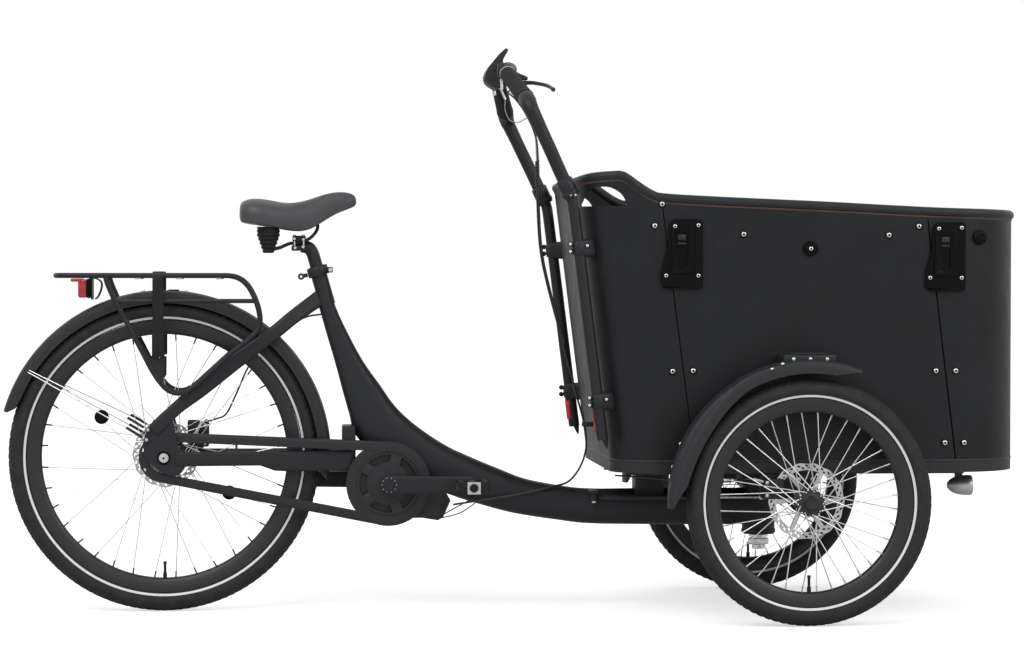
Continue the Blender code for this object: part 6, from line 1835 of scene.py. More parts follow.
class BuildBox(bpy.types.Operator):
    """Panels, rim, floor tray, bench, battery, pole sockets and their screws."""

    bl_idname = "trike.box"
    bl_label = "Box"

    def execute(self, context):
        self.walls()
        self.rim()
        self.floor()
        self.inside()
        self.sockets()
        self.screws(context.scene.trike_sizes)
        return {"FINISHED"}

    def walls(self):
        """Rear and front walls, side panels and the strips inside their seams."""
        rear = piece("rear_panel", wall_skin(rear_columns), "panel", "front", "box_rear", angle=40)
        hole = [(p.x, p.y) for p in spline([(x, z, 0) for x, z in HAND_HOLE + HAND_HOLE[:1]], 5)][:-1]
        carve(rear, [slab([hole], "XZ", -0.34, -0.215), slab([hole], "XZ", 0.215, 0.34)])
        front = piece("front_panel", wall_skin(front_columns), "panel", "front", "box_front", angle=40)
        for ending, side in sides():
            outline = []
            first = on_wall(lambda z: (seam_x("rear", z) + SEAM_GAP, 0.0), True)
            last = on_wall(lambda z: (seam_x("front", z) - SEAM_GAP, 0.0), True)
            outline.append((first.x, first.z))
            for i in range(1, 40):
                x = first.x + (last.x - first.x) * i / 40
                outline.append((x, wall_top(x)))
            outline.append((last.x, last.z))
            low = TRAY_TOP + 0.0003
            outline += [(seam_x("front", low) - SEAM_GAP, low), (seam_x("rear", low) + SEAM_GAP, low)]
            panel = slab([outline], "XZ", side * (BOX_HALF - WALL), side * BOX_HALF)
            piece("side_panel_" + ending, panel, "panel", "front", "box_side_" + ending, edge=0.0011, steps=2)
            tapes = []
            for seam in SEAMS:
                top = wall_top(seam_x(seam, 0.8)) - 0.012
                ends = [(seam_x(seam, z), side * (BOX_HALF - WALL - 0.0007), z) for z in (0.345, top)]
                tapes.append(skin([section(end, (0.012, 0, 0), (0, 0.0005, 0), 12, 0.3) for end in ends]))
            piece("seam_tape_" + ending, tapes, "panel", "front")
        for thing in (rear, front):
            soft = thing.modifiers.new("edges", "BEVEL")
            soft.width = 0.0011
            soft.segments = 2
            soft.limit_method = "ANGLE"
            soft.angle_limit = math.radians(50)

    def ring(self, inset):
        """Plan outline of the walls, that far inside their outer faces."""
        rear = [on_wall(column, True) for column in rear_columns(inset)]
        front = [on_wall(column, True) for column in front_columns(inset)]
        left = [(p.x, p.y) for p in reversed(rear)]
        left += [(rear[0].x + (front[0].x - rear[0].x) * i / 30, BOX_HALF - inset) for i in range(1, 30)]
        left += [(p.x, p.y) for p in front]
        if abs(left[0][1]) < 1e-6:
            left = left[1:]
        return left + [(x, -y) for x, y in reversed(left)]

    def rim(self):
        """Tube along the walls' upper edge, with the ply lip under it."""
        ring = self.ring(WALL / 2)
        path = [(x, y, table_value(RIM_CURVE, x) - 0.01) for x, y in ring]
        piece("rim_tube", tube(path, 0.01, 20, closed=True, up=(0, 0, 1)), "coat", "front", "box_rim", angle=60)
        profile = (
            (0.0049, 0.0), (0.0056, -0.0008), (0.0056, -0.0052), (0.0049, -0.0058), (0.004, -0.0058), (0.004, 0.0),
        )
        lip = edge_strip(ring, profile, lambda x: table_value(RIM_CURVE, x) - 0.0165)
        piece("rim_lip", lip, "ply", "front", angle=50)

    def floor(self):
        """Tray with its runners, its lug and the lip round its edge."""
        left = [column(TRAY_TOP) for column in reversed(rear_columns(0.0))]
        left += [column(TRAY_TOP) for column in front_columns(0.0)]
        left = [
            point for i, point in enumerate(left) if i == 0 or (Vector(point) - Vector(left[i - 1])).length > 1e-4
        ]
        left = [point for point in left if abs(point[1]) > 1e-6]
        ring = left + [(x, -y) for x, y in reversed(left)]
        tray = slab([ring], "XY", 0.3045, 0.33)
        piece("floor_tray", tray, "plastic", "front", "box_floor", edge=0.0035, steps=3)
        under = [block((1.689, -0.004, 0.282), (1.705, 0.004, 0.306), 0.001, 1)]
        for _, side in sides():
            under.append(block((0.95, side * 0.2 - 0.012, 0.2955), (1.66, side * 0.2 + 0.012, 0.306), 0.002, 1))
        piece("tray_runners", under, "plastic", "front")
        profile = (
            (-0.002, 0.3255), (0.0002, 0.3262), (0.0009, 0.3275), (0.0009, 0.3298), (0.0002, 0.3312),
            (-0.002, 0.3318),
        )
        piece("tray_lip", edge_strip(ring, profile, lambda x: 0.0), "plastic", "front", angle=50)

    def inside(self):
        """Bench, battery and floor mat."""
        inset = WALL + 0.0005
        left = [column(0.518) for column in reversed(rear_columns(inset)[8:])]
        left = [point for point in left if abs(point[1]) > 1e-6] + [(1.17, BOX_HALF - inset)]
        ring = left + [(x, -y) for x, y in reversed(left)]
        board = slab([ring], "XY", 0.518, 0.53)
        half = BOX_HALF - inset - 0.001
        front = block((1.15, -half, 0.3303), (1.162, half, 0.52))
        piece("bench_boards", [board, front], "bench", "front", "bench", edge=0.0015)
        pack = block((0.94, -0.15, 0.3303), (1.12, 0.15, 0.44), 0.01, 4)
        piece("battery_case", pack, "plastic", "front", "battery")
        ribs = [
            block((0.955 + 0.0105 * i, -0.12, 0.439), (0.96 + 0.0105 * i, 0.12, 0.4415), 0.001, 1) for i in range(15)
        ]
        piece("battery_ribs", ribs, "plastic", "front")
        mat = [
            block((1.19 + 0.0205 * i, -0.2845, 0.33), (1.201 + 0.0205 * i, 0.2845, 0.3338), 0.0006, 1)
            for i in range(21)
        ]
        piece("floor_mat_ribs", mat, "rubber", "front")

    def sockets(self):
        """Four pole sockets with guide, latch and screws."""
        rows = (  # place, outline, slot from corner to corner, inset and heights of the screws
            (
                "rear", (
                    (1.0184, 0.679), (1.094, 0.679), (1.094, 0.82), (1.033, 0.82), (1.025, 0.806), (1.0224, 0.7576),
                    (1.0102, 0.7174), (1.0102, 0.687),
                ), (1.0415, 0.719, 1.061, 0.791), 0.009, 0.806, 0.808,
            ),
            (
                "front", (
                    (1.561, 0.675), (1.635, 0.675), (1.635, 0.815), (1.5755, 0.815), (1.5675, 0.801), (1.565, 0.753),
                    (1.553, 0.713), (1.553, 0.683),
                ), (1.5835, 0.715, 1.603, 0.787), 0.0085, 0.802, 0.804,
            ),
        )
        for place, outline, slot, dx, rear_z, front_z in rows:
            line = softened(outline, 0.007)
            x0, z0, x1, z1 = slot
            hole = [
                (x0 + 0.003, z0), (x1 - 0.003, z0), (x1, z0 + 0.003), (x1, z1 - 0.003), (x1 - 0.003, z1),
                (x0 + 0.003, z1), (x0, z1 - 0.003), (x0, z0 + 0.003),
            ]
            for ending, side in sides():
                y = side * (BOX_HALF + 0.0003)
                name = f"pole_socket_{place}_{ending}"
                base = slab([line], "XZ", y, y + side * 0.0085)
                piece(name + "_base", base, "gloss", "front", f"tent_socket_{place}_{ending}", edge=0.0028, steps=3)
                frame_line = [
                    (x0 - 0.013, z0 - 0.01), (x1 + 0.013, z0 - 0.01), (x1 + 0.015, z0), (x1 + 0.012, z1 + 0.012),
                    (x0 - 0.01, z1 + 0.012), (x0 - 0.014, z0),
                ]
                boss = slab([frame_line, hole], "XZ", y + side * 0.008, y + side * 0.0123)
                piece(name + "_guide", boss, "gloss", "front", edge=0.0014, steps=2)
                near, far = sorted((y, y + side * 0.0105))
                latch = block((x0 + 0.001, near, z1 - 0.013), (x1 - 0.001, far, z1 - 0.001), 0.0015, 2)
                out = y + side * 0.01
                pin = rod((x0 + 0.001, out, z1 - 0.02), (x1 - 0.001, out, z1 - 0.02), 0.0022, 14)
                piece(name + "_latch", [latch, pin], "plastic", "front")
                places = []
                low_x, high_x, foot_z = outline[7][0] + dx, outline[1][0] - dx, outline[0][1] + 0.027
                for x, z in ((low_x, foot_z), (high_x, foot_z), (low_x + 0.018, rear_z), (high_x, front_z)):
                    places.append(((x, y + side * 0.0085, z), facing((0, side, 0)), 0.0046))
                fitted_screws(name + "_screws", places, "front", 1.2)

    def screws(self, sizes):
        """Screws of the panels, two knobs on each side and the stop in front."""
        rows = (
            (0.997, 0.807), (1.179, 0.79), (1.034, 0.512), (1.076, 0.513), (1.052, 0.364), (1.036, 0.318),
            (1.012, 0.851), (1.0529, 0.347), (1.0387, 0.316), (1.478, 0.789), (1.54, 0.807), (1.576, 0.512),
            (1.617, 0.512), (1.595, 0.365), (1.635, 0.365),
        )
        places = []
        for _, side in sides():
            for x, z in rows:
                spot, way = wall_face(x, z)
                spot.y *= side
                way.y *= side
                places.append((spot, facing(way), sizes.screw_radius))
        fitted_screws("panel_screws", places, "front")
        knobs, caps = [], []
        for _, side in sides():
            for x, z in ((1.316, 0.761), (1.667, 0.785)):
                spot, way = wall_face(x, z)
                spot.y *= side
                way.y *= side
                profile = [
                    (0.0, 0.0), (0.014, 0.0), (0.015, 0.0015), (0.015, 0.006), (0.0135, 0.008), (0.007, 0.0085),
                    (0.006, 0.007), (0.0, 0.007),
                ]
                knobs.append(stood(turned(profile, 40), spot, way))
                if x < 1.5:
                    caps.append((spot + way * 0.007, facing(way), 0.005))
        piece("box_knobs", knobs, "gloss", "front")
        fitted_screws("box_knob_screws", caps, "front", 1.1)
        front_knob = turned([(0.0, 0.0), (0.009, 0.0), (0.01, 0.0012), (0.009, 0.004), (0.0, 0.0046)], 32)
        piece("front_stop", stood(front_knob, (BOX_FRONT, 0.0, 0.806), (1, 0, 0)), "gloss", "front")


# Handlebar

GRIP_OUTER = Vector((0.739, 0.262, 1.066))
GRIP_INNER = Vector((0.711, 0.125, 1.127))
SLEEVE_FOOT = Vector((0.831, 0.28, 0.866))
SLEEVE_AXIS = Vector((-math.sin(math.radians(25)), 0.0, math.cos(math.radians(25))))


def flipped(point, side):
    """A point of the left side, taken to the side that is wanted."""
    return Vector((point[0], side * point[1], point[2]))


class BuildHandlebar(bpy.types.Operator):
    """Height-adjustable arch with grips, brake levers and display, and its two lower tubes with their clamps."""

    bl_idname = "trike.handlebar"
    bl_label = "Handlebar"

    def execute(self, context):
        self.lower_tubes()
        self.arch()
        self.grips()
        self.levers()
        self.display()
        return {"FINISHED"}

    def lower_tubes(self):
        """Two tubes up the rear corners with their clamps and reflectors."""
        def tube_x(z):
            return 0.833 + (0.864 - z) * 0.126

        for ending, side in sides():
            y = side * 0.28
            foot = flipped(SLEEVE_FOOT, side)
            line = [(tube_x(z), y, z) for z in (0.372, 0.6, 0.8)]
            line += [(tube_x(0.836), y, 0.836), foot - SLEEVE_AXIS * 0.004, foot + SLEEVE_AXIS * 0.045]
            shapes = [tube(rounded(line, 0.02, 5), 0.0118, 28)]
            # The lower end is cut aslant, and its tip is in front
            tip = ((0.439, 0.8858, 0.0125, 0.0106), (0.418, 0.8885, 0.0122, 0.0106), (0.399, 0.892, 0.0112, 0.0104),
                   (0.384, 0.8958, 0.0092, 0.0096), (0.37, 0.8995, 0.006, 0.008), (0.3585, 0.9025, 0.003, 0.0055),
                   (0.354, 0.9035, 0.001, 0.002))
            shapes.append(skin([section((x, y, z), (half, 0, 0), (0, wide, 0), 28, 0.9) for z, x, half, wide in tip]))
            bolts, pads = [], []
            for z in (0.762, 0.45):
                centre = Vector((rear_x(z) + REAR_CORNER, side * (BOX_HALF - REAR_CORNER), z))
                at = Vector((tube_x(z), y, z))
                away = (at - centre).normalized()
                seat = centre + away * 0.0905
                across = Vector((-away.y, away.x, 0.0))
                up = Vector((-REAR_LEAN, 0.0, 1.0)).normalized()
                rings = []
                for point, wide, tall in (
                    (seat, 0.0145, 0.019), (seat + away * 0.006, 0.015, 0.0195), (at - away * 0.002, 0.015, 0.0175),
                    (at + away * 0.0045, 0.0125, 0.0155)
                ):
                    rings.append(section(point, up * tall, across * wide, 28, 0.4))
                pads.append(skin(rings))
                profile = [
                    (0.0117, -0.0135), (0.0138, -0.0135), (0.0148, -0.012), (0.0148, 0.012), (0.0138, 0.0135),
                    (0.0117, 0.0135),
                ]
                pads.append(stood(turned(profile, 32), at, up))
                out = Vector((0, side, 0))
                for dx, dz in ((-0.0185, 0.0075), (-0.0185, -0.0075), (0.016, 0.0045)):
                    spot = at + Vector((dx, 0, dz))
                    pads.append(rod(spot, at + Vector((dx, side * 0.0125, dz)), 0.0052, 20, edge=0.001))
                    bolts.append((spot + out * 0.0123, facing(out), 0.0036))
            piece("lower_tube_" + ending, shapes, "coat", "front", "handlebar_tube_" + ending)
            piece("tube_clamps_" + ending, pads, "coat", "front")
            repeat("tube_clamp_bolts_" + ending, screw_head(), bolts, "steel", "front")
            way, up = Vector((-0.72, -side * 0.69, 0.0)).normalized(), Vector((-REAR_LEAN, 0, 1)).normalized()
            lens = block((-0.0068, -0.0205, -0.003), (0.0068, 0.0205, 0.0016), 0.0014, 2)
            turn = Matrix((up.cross(way).normalized(), up, way)).transposed().to_4x4()
            moved(lens, Matrix.Translation(Vector((tube_x(0.408) - 0.001, y, 0.408)) + way * 0.0115) @ turn)
            piece("tube_reflector_" + ending, lens, "red", "front")

    def arch(self):
        """Bent bar with its elbows, sleeves and lever perches."""
        low = SLEEVE_FOOT
        middle = [(0.7264, 0.0, 1.1405), (0.7264, 0.034, 1.1405), (0.716, 0.08, 1.139), (0.7088, 0.1142, 1.1318)]
        elbow = spline(
            [
                GRIP_OUTER, (0.7412, 0.2728, 1.0612), (0.7435, 0.285, 1.053), (0.7475, 0.291, 1.043),
                (0.754, 0.2925, 1.03), (0.7872, 0.286, 0.96), low + SLEEVE_AXIS * 0.059,
            ], 6,
        )
        top = spline(middle + [GRIP_INNER, (GRIP_INNER + GRIP_OUTER) / 2], 6)[:-6]
        left = [tuple(p) for p in top] + [tuple(p) for p in elbow] + [tuple(low + SLEEVE_AXIS * 0.006)]
        swell = [0.0138 + 0.0037 * min(1.0, (26 - i) / 18) for i in range(27)]
        boots = [tube([flipped(p, side) for p in elbow[:27]], swell, 28) for _, side in sides()]
        piece("elbow_boots", boots, "coat", "handlebar", angle=50)
        shapes = [tube(both_sides(left), 0.0135, 28)]
        screws, bright_bits = [], []
        for _, side in sides():
            foot = flipped(SLEEVE_FOOT, side)
            profile = [
                (0.0112, -0.0005), (0.016, -0.0005), (0.0172, 0.001), (0.0172, 0.036), (0.016, 0.0385), (0.014, 0.04),
                (0.0112, 0.04),
            ]
            shapes.append(stood(turned(profile, 48), foot, SLEEVE_AXIS))
            collar = turned([(0.0172, 0.004), (0.0186, 0.005), (0.0186, 0.011), (0.0172, 0.012)], 48)
            shapes.append(stood(collar, foot, SLEEVE_AXIS))
            for dx in (-0.0035, 0.006):
                screws.append((foot + Vector((dx, side * 0.0168, 0.003)), facing((0, side, 0)), 0.0026))
            perch = [section((x, side * 0.1055, z), (0, 0, h), (0, w, 0), 28, 0.5) for x, z, w, h in (
                (0.6935, 1.133, 0.0085, 0.013), (0.703, 1.132, 0.01, 0.018), (0.718, 1.13, 0.01, 0.016),
                (0.734, 1.1215, 0.009, 0.008), (0.752, 1.117, 0.0085, 0.0045), (0.756, 1.117, 0.0065, 0.0032),
            )]
            shapes.append(skin(perch))
            screws.append((Vector((0.748, side * 0.106, 1.1215)), Matrix.Identity(3), 0.004))
            bright_bits.append(rod((0.702, side * 0.0965, 1.116), (0.7035, side * 0.0965, 1.093), 0.003, 16, edge=0.0006))
            bright_bits.append(rod((0.715, side * 0.096, 1.11), (0.726, side * 0.094, 1.084), 0.0026, 16, edge=0.0006))
            bright_bits.append(rod((0.744, side * 0.096, 1.116), (0.733, side * 0.08, 1.112), 0.0042, 20, edge=0.0008))
        piece("handlebar_bar", shapes, "coat", "handlebar", "handlebar_arch", angle=40)
        piece("perch_fittings", bright_bits, "steel", "handlebar")
        repeat("handlebar_screws", screw_head(), screws, "steel", "handlebar")

    def grips(self):
        """Ribbed grips, each with its ring."""
        for ending, side in sides():
            outer, inner = flipped(GRIP_OUTER, side), flipped(GRIP_INNER, side)
            way = outer - inner
            reach = way.length - 0.006
            profile = [(0.0139, 0.0), (0.018, 0.0), (0.019, 0.0012), (0.019, 0.0045), (0.018, 0.006)]
            ribs = 18
            for i in range(ribs):
                z = 0.01 + (reach - 0.022) * i / ribs
                gap = (reach - 0.022) / ribs
                profile += [(0.0178, z), (0.0184, z + gap * 0.25), (0.0184, z + gap * 0.7), (0.0178, z + gap * 0.92)]
            profile += [
                (0.018, reach - 0.008), (0.019, reach - 0.006), (0.019, reach - 0.001), (0.018, reach),
                (0.0139, reach)
            ]
            ring = turned([(0.0157, 0.0014), (0.0165, 0.0018), (0.0165, 0.0038), (0.0157, 0.0042)], 48)
            stood(ring, inner + way.normalized() * 0.003, way)
            piece("grip_ring_" + ending, ring, "alloy", "handlebar")
            # The grip is thinner at its inner end
            profile = [(max(r - 0.003 + 0.0025 * z / reach, 0.0139), z) for r, z in profile]
            grip = turned(profile, 48)
            stood(grip, inner + way.normalized() * 0.003, way)
            piece("hand_grip_" + ending, grip, "rubber", "handlebar", "grip_" + ending, angle=50)

    def levers(self):
        """Brake lever blades."""
        for ending, side in sides():
            body = "brake_lever_" + ending
            eye = rod((0.748, side * 0.106, 1.1027), (0.748, side * 0.106, 1.1117), 0.0075, 32, edge=0.0008)
            line = spline(
                [(0.748, side * 0.106, 1.1072), (0.758, side * 0.116, 1.1072), (0.768, side * 0.128, 1.106),
                 (0.788, side * 0.18, 1.098), (0.7955, side * 0.22, 1.09), (0.797, side * 0.237, 1.0866),
                 (0.7965, side * 0.245, 1.085)], 6,
            )
            rings = []
            for i, spot in enumerate(line):
                before, after = line[max(i - 1, 0)], line[min(i + 1, len(line) - 1)]
                way = (after - before).normalized()
                across = way.cross(Vector((0, 0, 1))).normalized()
                share = i / (len(line) - 1)
                wide = 0.0034 if share < 0.9 else 0.0044
                tall = 0.0044 - 0.001 * share if share < 0.9 else 0.004
                rings.append(section(spot, Vector((0, 0, tall)), across * wide, 24, 0.7))
            piece(body + "_blade", [eye, skin(rings)], "anodised", body, body)

    def display(self):
        """Boomerang housing with its screen towards the rider and a small key pad."""
        outline = [
            (0.7193, 1.1856), (0.7121, 1.1823), (0.677, 1.14), (0.6715, 1.1237), (0.677, 1.1108),
            (0.6998, 1.0964), (0.706, 1.1207), (0.7126, 1.129), (0.7126, 1.15), (0.7095, 1.159), (0.7222, 1.1815),
        ]
        core = slab([softened(outline, 0.006)], "XZ", -0.034, 0.034)
        piece("display_housing", core, "plastic", "handlebar", "display", edge=0.0045, steps=4)
        face = (Vector((0.7121, 0, 1.1823)), Vector((0.677, 0, 1.14)))
        way = (face[1] - face[0]).normalized()
        out = Vector((way.z, 0, -way.x))
        if out.x > 0:
            out = -out
        middle = (face[0] + face[1]) / 2
        glass = block((-0.0265, -0.02, -0.0006), (0.0265, 0.02, 0.0007), 0.0006, 1)
        turn = Matrix((Vector((0, 1, 0)), way, Vector((0, 1, 0)).cross(way))).transposed()
        if (turn @ Vector((0, 0, 1))).dot(out) < 0:
            turn = Matrix((Vector((0, -1, 0)), way, Vector((0, -1, 0)).cross(way))).transposed()
        moved(glass, Matrix.Translation(middle + out * 0.0002) @ turn.to_4x4())
        piece("display_glass", glass, "gloss", "handlebar")
        keys = []
        for i in range(3):
            key = block((-0.0055, -0.003, -0.0005), (0.0055, 0.003, 0.001), 0.0008, 2)
            spot = Vector((0.6736 + 0.0012 * i, (i - 1) * 0.016, 1.12))
            moved(key, Matrix.Translation(spot) @ Matrix.Rotation(math.radians(-98), 4, "Y"))
            keys.append(key)
        piece("display_keys", keys, "rubber", "handlebar")
        side_keys = []
        for i in range(4):
            spot = Vector((0.6925 + 0.005 * i, -0.0338, 1.1395 + 0.0062 * i))
            side_keys.append((spot, facing((0, -1, 0)), 0.0022))
        repeat("display_side_keys", screw_head(), side_keys, "rubber", "handlebar")


# Cables


class BuildCables(bpy.types.Operator):
    """Control cable with its wrap, clip and holders, the brake hoses, and the leads of the lamp and the motor."""

    bl_idname = "trike.cables"
    bl_label = "Cables"

    def execute(self, context):
        radius = context.scene.trike_sizes.cable_radius
        upper = [
            (0.7284, 0.0, 1.1268), (0.752, 0.0, 1.079), (0.779, 0.0, 1.025), (0.786, 0.0, 0.95),
            (0.7865, 0.0, 0.857), (0.793, 0.0, 0.76), (0.81, 0.0, 0.678), (0.842, 0.0, 0.56),
        ]
        lower = [
            (0.842, 0.0, 0.56), (0.866, 0.0, 0.468), (0.887, 0.0, 0.39), (0.891, 0.0, 0.34),
            (0.878, -0.003, 0.299), (0.852, -0.014, 0.269), (0.815, -0.031, 0.259), (0.77, -0.0405, 0.249),
            (0.7, -0.0405, 0.237), (0.605, -0.038, 0.223),
        ]
        line = spline(upper, 10)
        bare = [spot for spot in line if spot.z > 0.944]
        covered = [spot for spot in line if spot.z <= 0.95]
        # The bare upper run of the cable gets the pale grey painted highlight; under the wrap it stays black
        for name, run, key, body in (
            ("main_cable_bare", bare, "grey_cable", "control_cable"), ("main_cable_upper", covered, "cable", ())
        ):
            thing = piece(name, tube(run, radius, 12, up=(0, 1, 0)), key, None, body)
            self.bend(thing, "handlebar", "front", upper[1], upper[-3])
        wraps = []
        turns, count = 11, 11 * 12
        stretch = [spot for spot in covered if 0.886 < spot.z < 0.95]
        for i in range(count + 1):
            share = i / count
            place = share * (len(stretch) - 1)
            k = min(int(place), len(stretch) - 2)
            spot = stretch[k].lerp(stretch[k + 1], place - k)
            way = (stretch[k + 1] - stretch[k]).normalized()
            across = way.cross(Vector((0, 1, 0))).normalized()
            a = 2 * math.pi * turns * share
            wraps.append(spot + (Vector((0, 1, 0)) * math.cos(a) + across * math.sin(a)) * (radius + 0.0012))
        spiral = piece("cable_spiral_wrap", tube(wraps, 0.0019, 8), "cable", None)
        self.bend(spiral, "handlebar", "front", upper[1], upper[-3])
        for index, (_, side) in enumerate(sides()):
            hose = [
                (0.733, side * 0.084, 1.1025), (0.73, side * 0.06, 1.096), (0.742, side * 0.03, 1.082),
                (0.762, side * 0.008, 1.05), (0.783, side * 0.005, 1.0), (0.7885, side * 0.005, 0.93),
                (0.7895, side * 0.005, 0.857), (0.796, side * 0.005, 0.76), (0.813, side * 0.005, 0.678),
                (0.845, side * 0.005, 0.56),
            ]
            thing = piece(f"brake_hose_upper_{index + 1}", tube(spline(hose, 8), HOSE_RADIUS, 12), "cable", None)
            self.bend(thing, "handlebar", "front", hose[3], hose[-4])
        loop = [
            (0.7258, 0.094, 1.0845), (0.7225, 0.06, 1.0625), (0.7284, 0.02, 1.0373), (0.7453, 0.0, 1.0311),
            (0.7643, 0.0, 1.0396), (0.7735, 0.0, 1.0362),
        ]
        # The lamp lead gets the pale grey painted highlight too
        piece("lamp_lead_loop", tube(spline(loop, 8), 0.0011, 8), "grey_cable", "handlebar")
        low = piece("main_cable_lower", tube(spline(lower, 10), radius, 12), "cable", None)
        self.bend(low, "front", "frame", lower[2], lower[6])
        x, z = 0.887, 0.39
        back = max(rear_x(z) + 0.0006, x + 0.006)
        clip = block((x - 0.0045, -0.01, z - 0.005), (back, 0.01, z + 0.005), 0.0018, 2)
        piece("cable_clips", clip, "plastic", "front")
        holds = [
            block((0.768, -0.0455, 0.245), (0.776, -0.03, 0.2535), 0.0015, 2),
            block((0.696, -0.0455, 0.233), (0.704, -0.03, 0.2415), 0.0015, 2),
        ]
        piece("cable_holders", holds, "plastic", "frame")
        under = [
            [(0.569, -0.03, 0.1925), (0.602, -0.03, 0.211), (0.64, -0.03, 0.2312), (0.656, -0.03, 0.2395)],
            [(0.569, -0.026, 0.1915), (0.6191, -0.026, 0.2039), (0.655, -0.026, 0.2269), (0.672, -0.026, 0.241)],
        ]
        piece("motor_leads", [tube(spline(line, 8), 0.0013, 10) for line in under], "cable", "frame")
        brake = [
            (0.088, 0.0575, 0.396), (0.106, 0.0575, 0.401), (0.128, 0.0575, 0.412), (0.15, 0.0555, 0.456),
            (0.18, 0.051, 0.52), (0.232, 0.044, 0.577), (0.29, 0.028, 0.615), (0.33, 0.02, 0.624),
        ]
        piece("rear_brake_hose", tube(spline(brake, 8), HOSE_RADIUS, 12), "cable", "frame")
        return {"FINISHED"}

    def bend(self, thing, upper, lower, start, end):
        """Bake a cord's placement into its mesh; its two bodies and two points are not used."""
        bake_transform(thing)


# Front axle and lamp


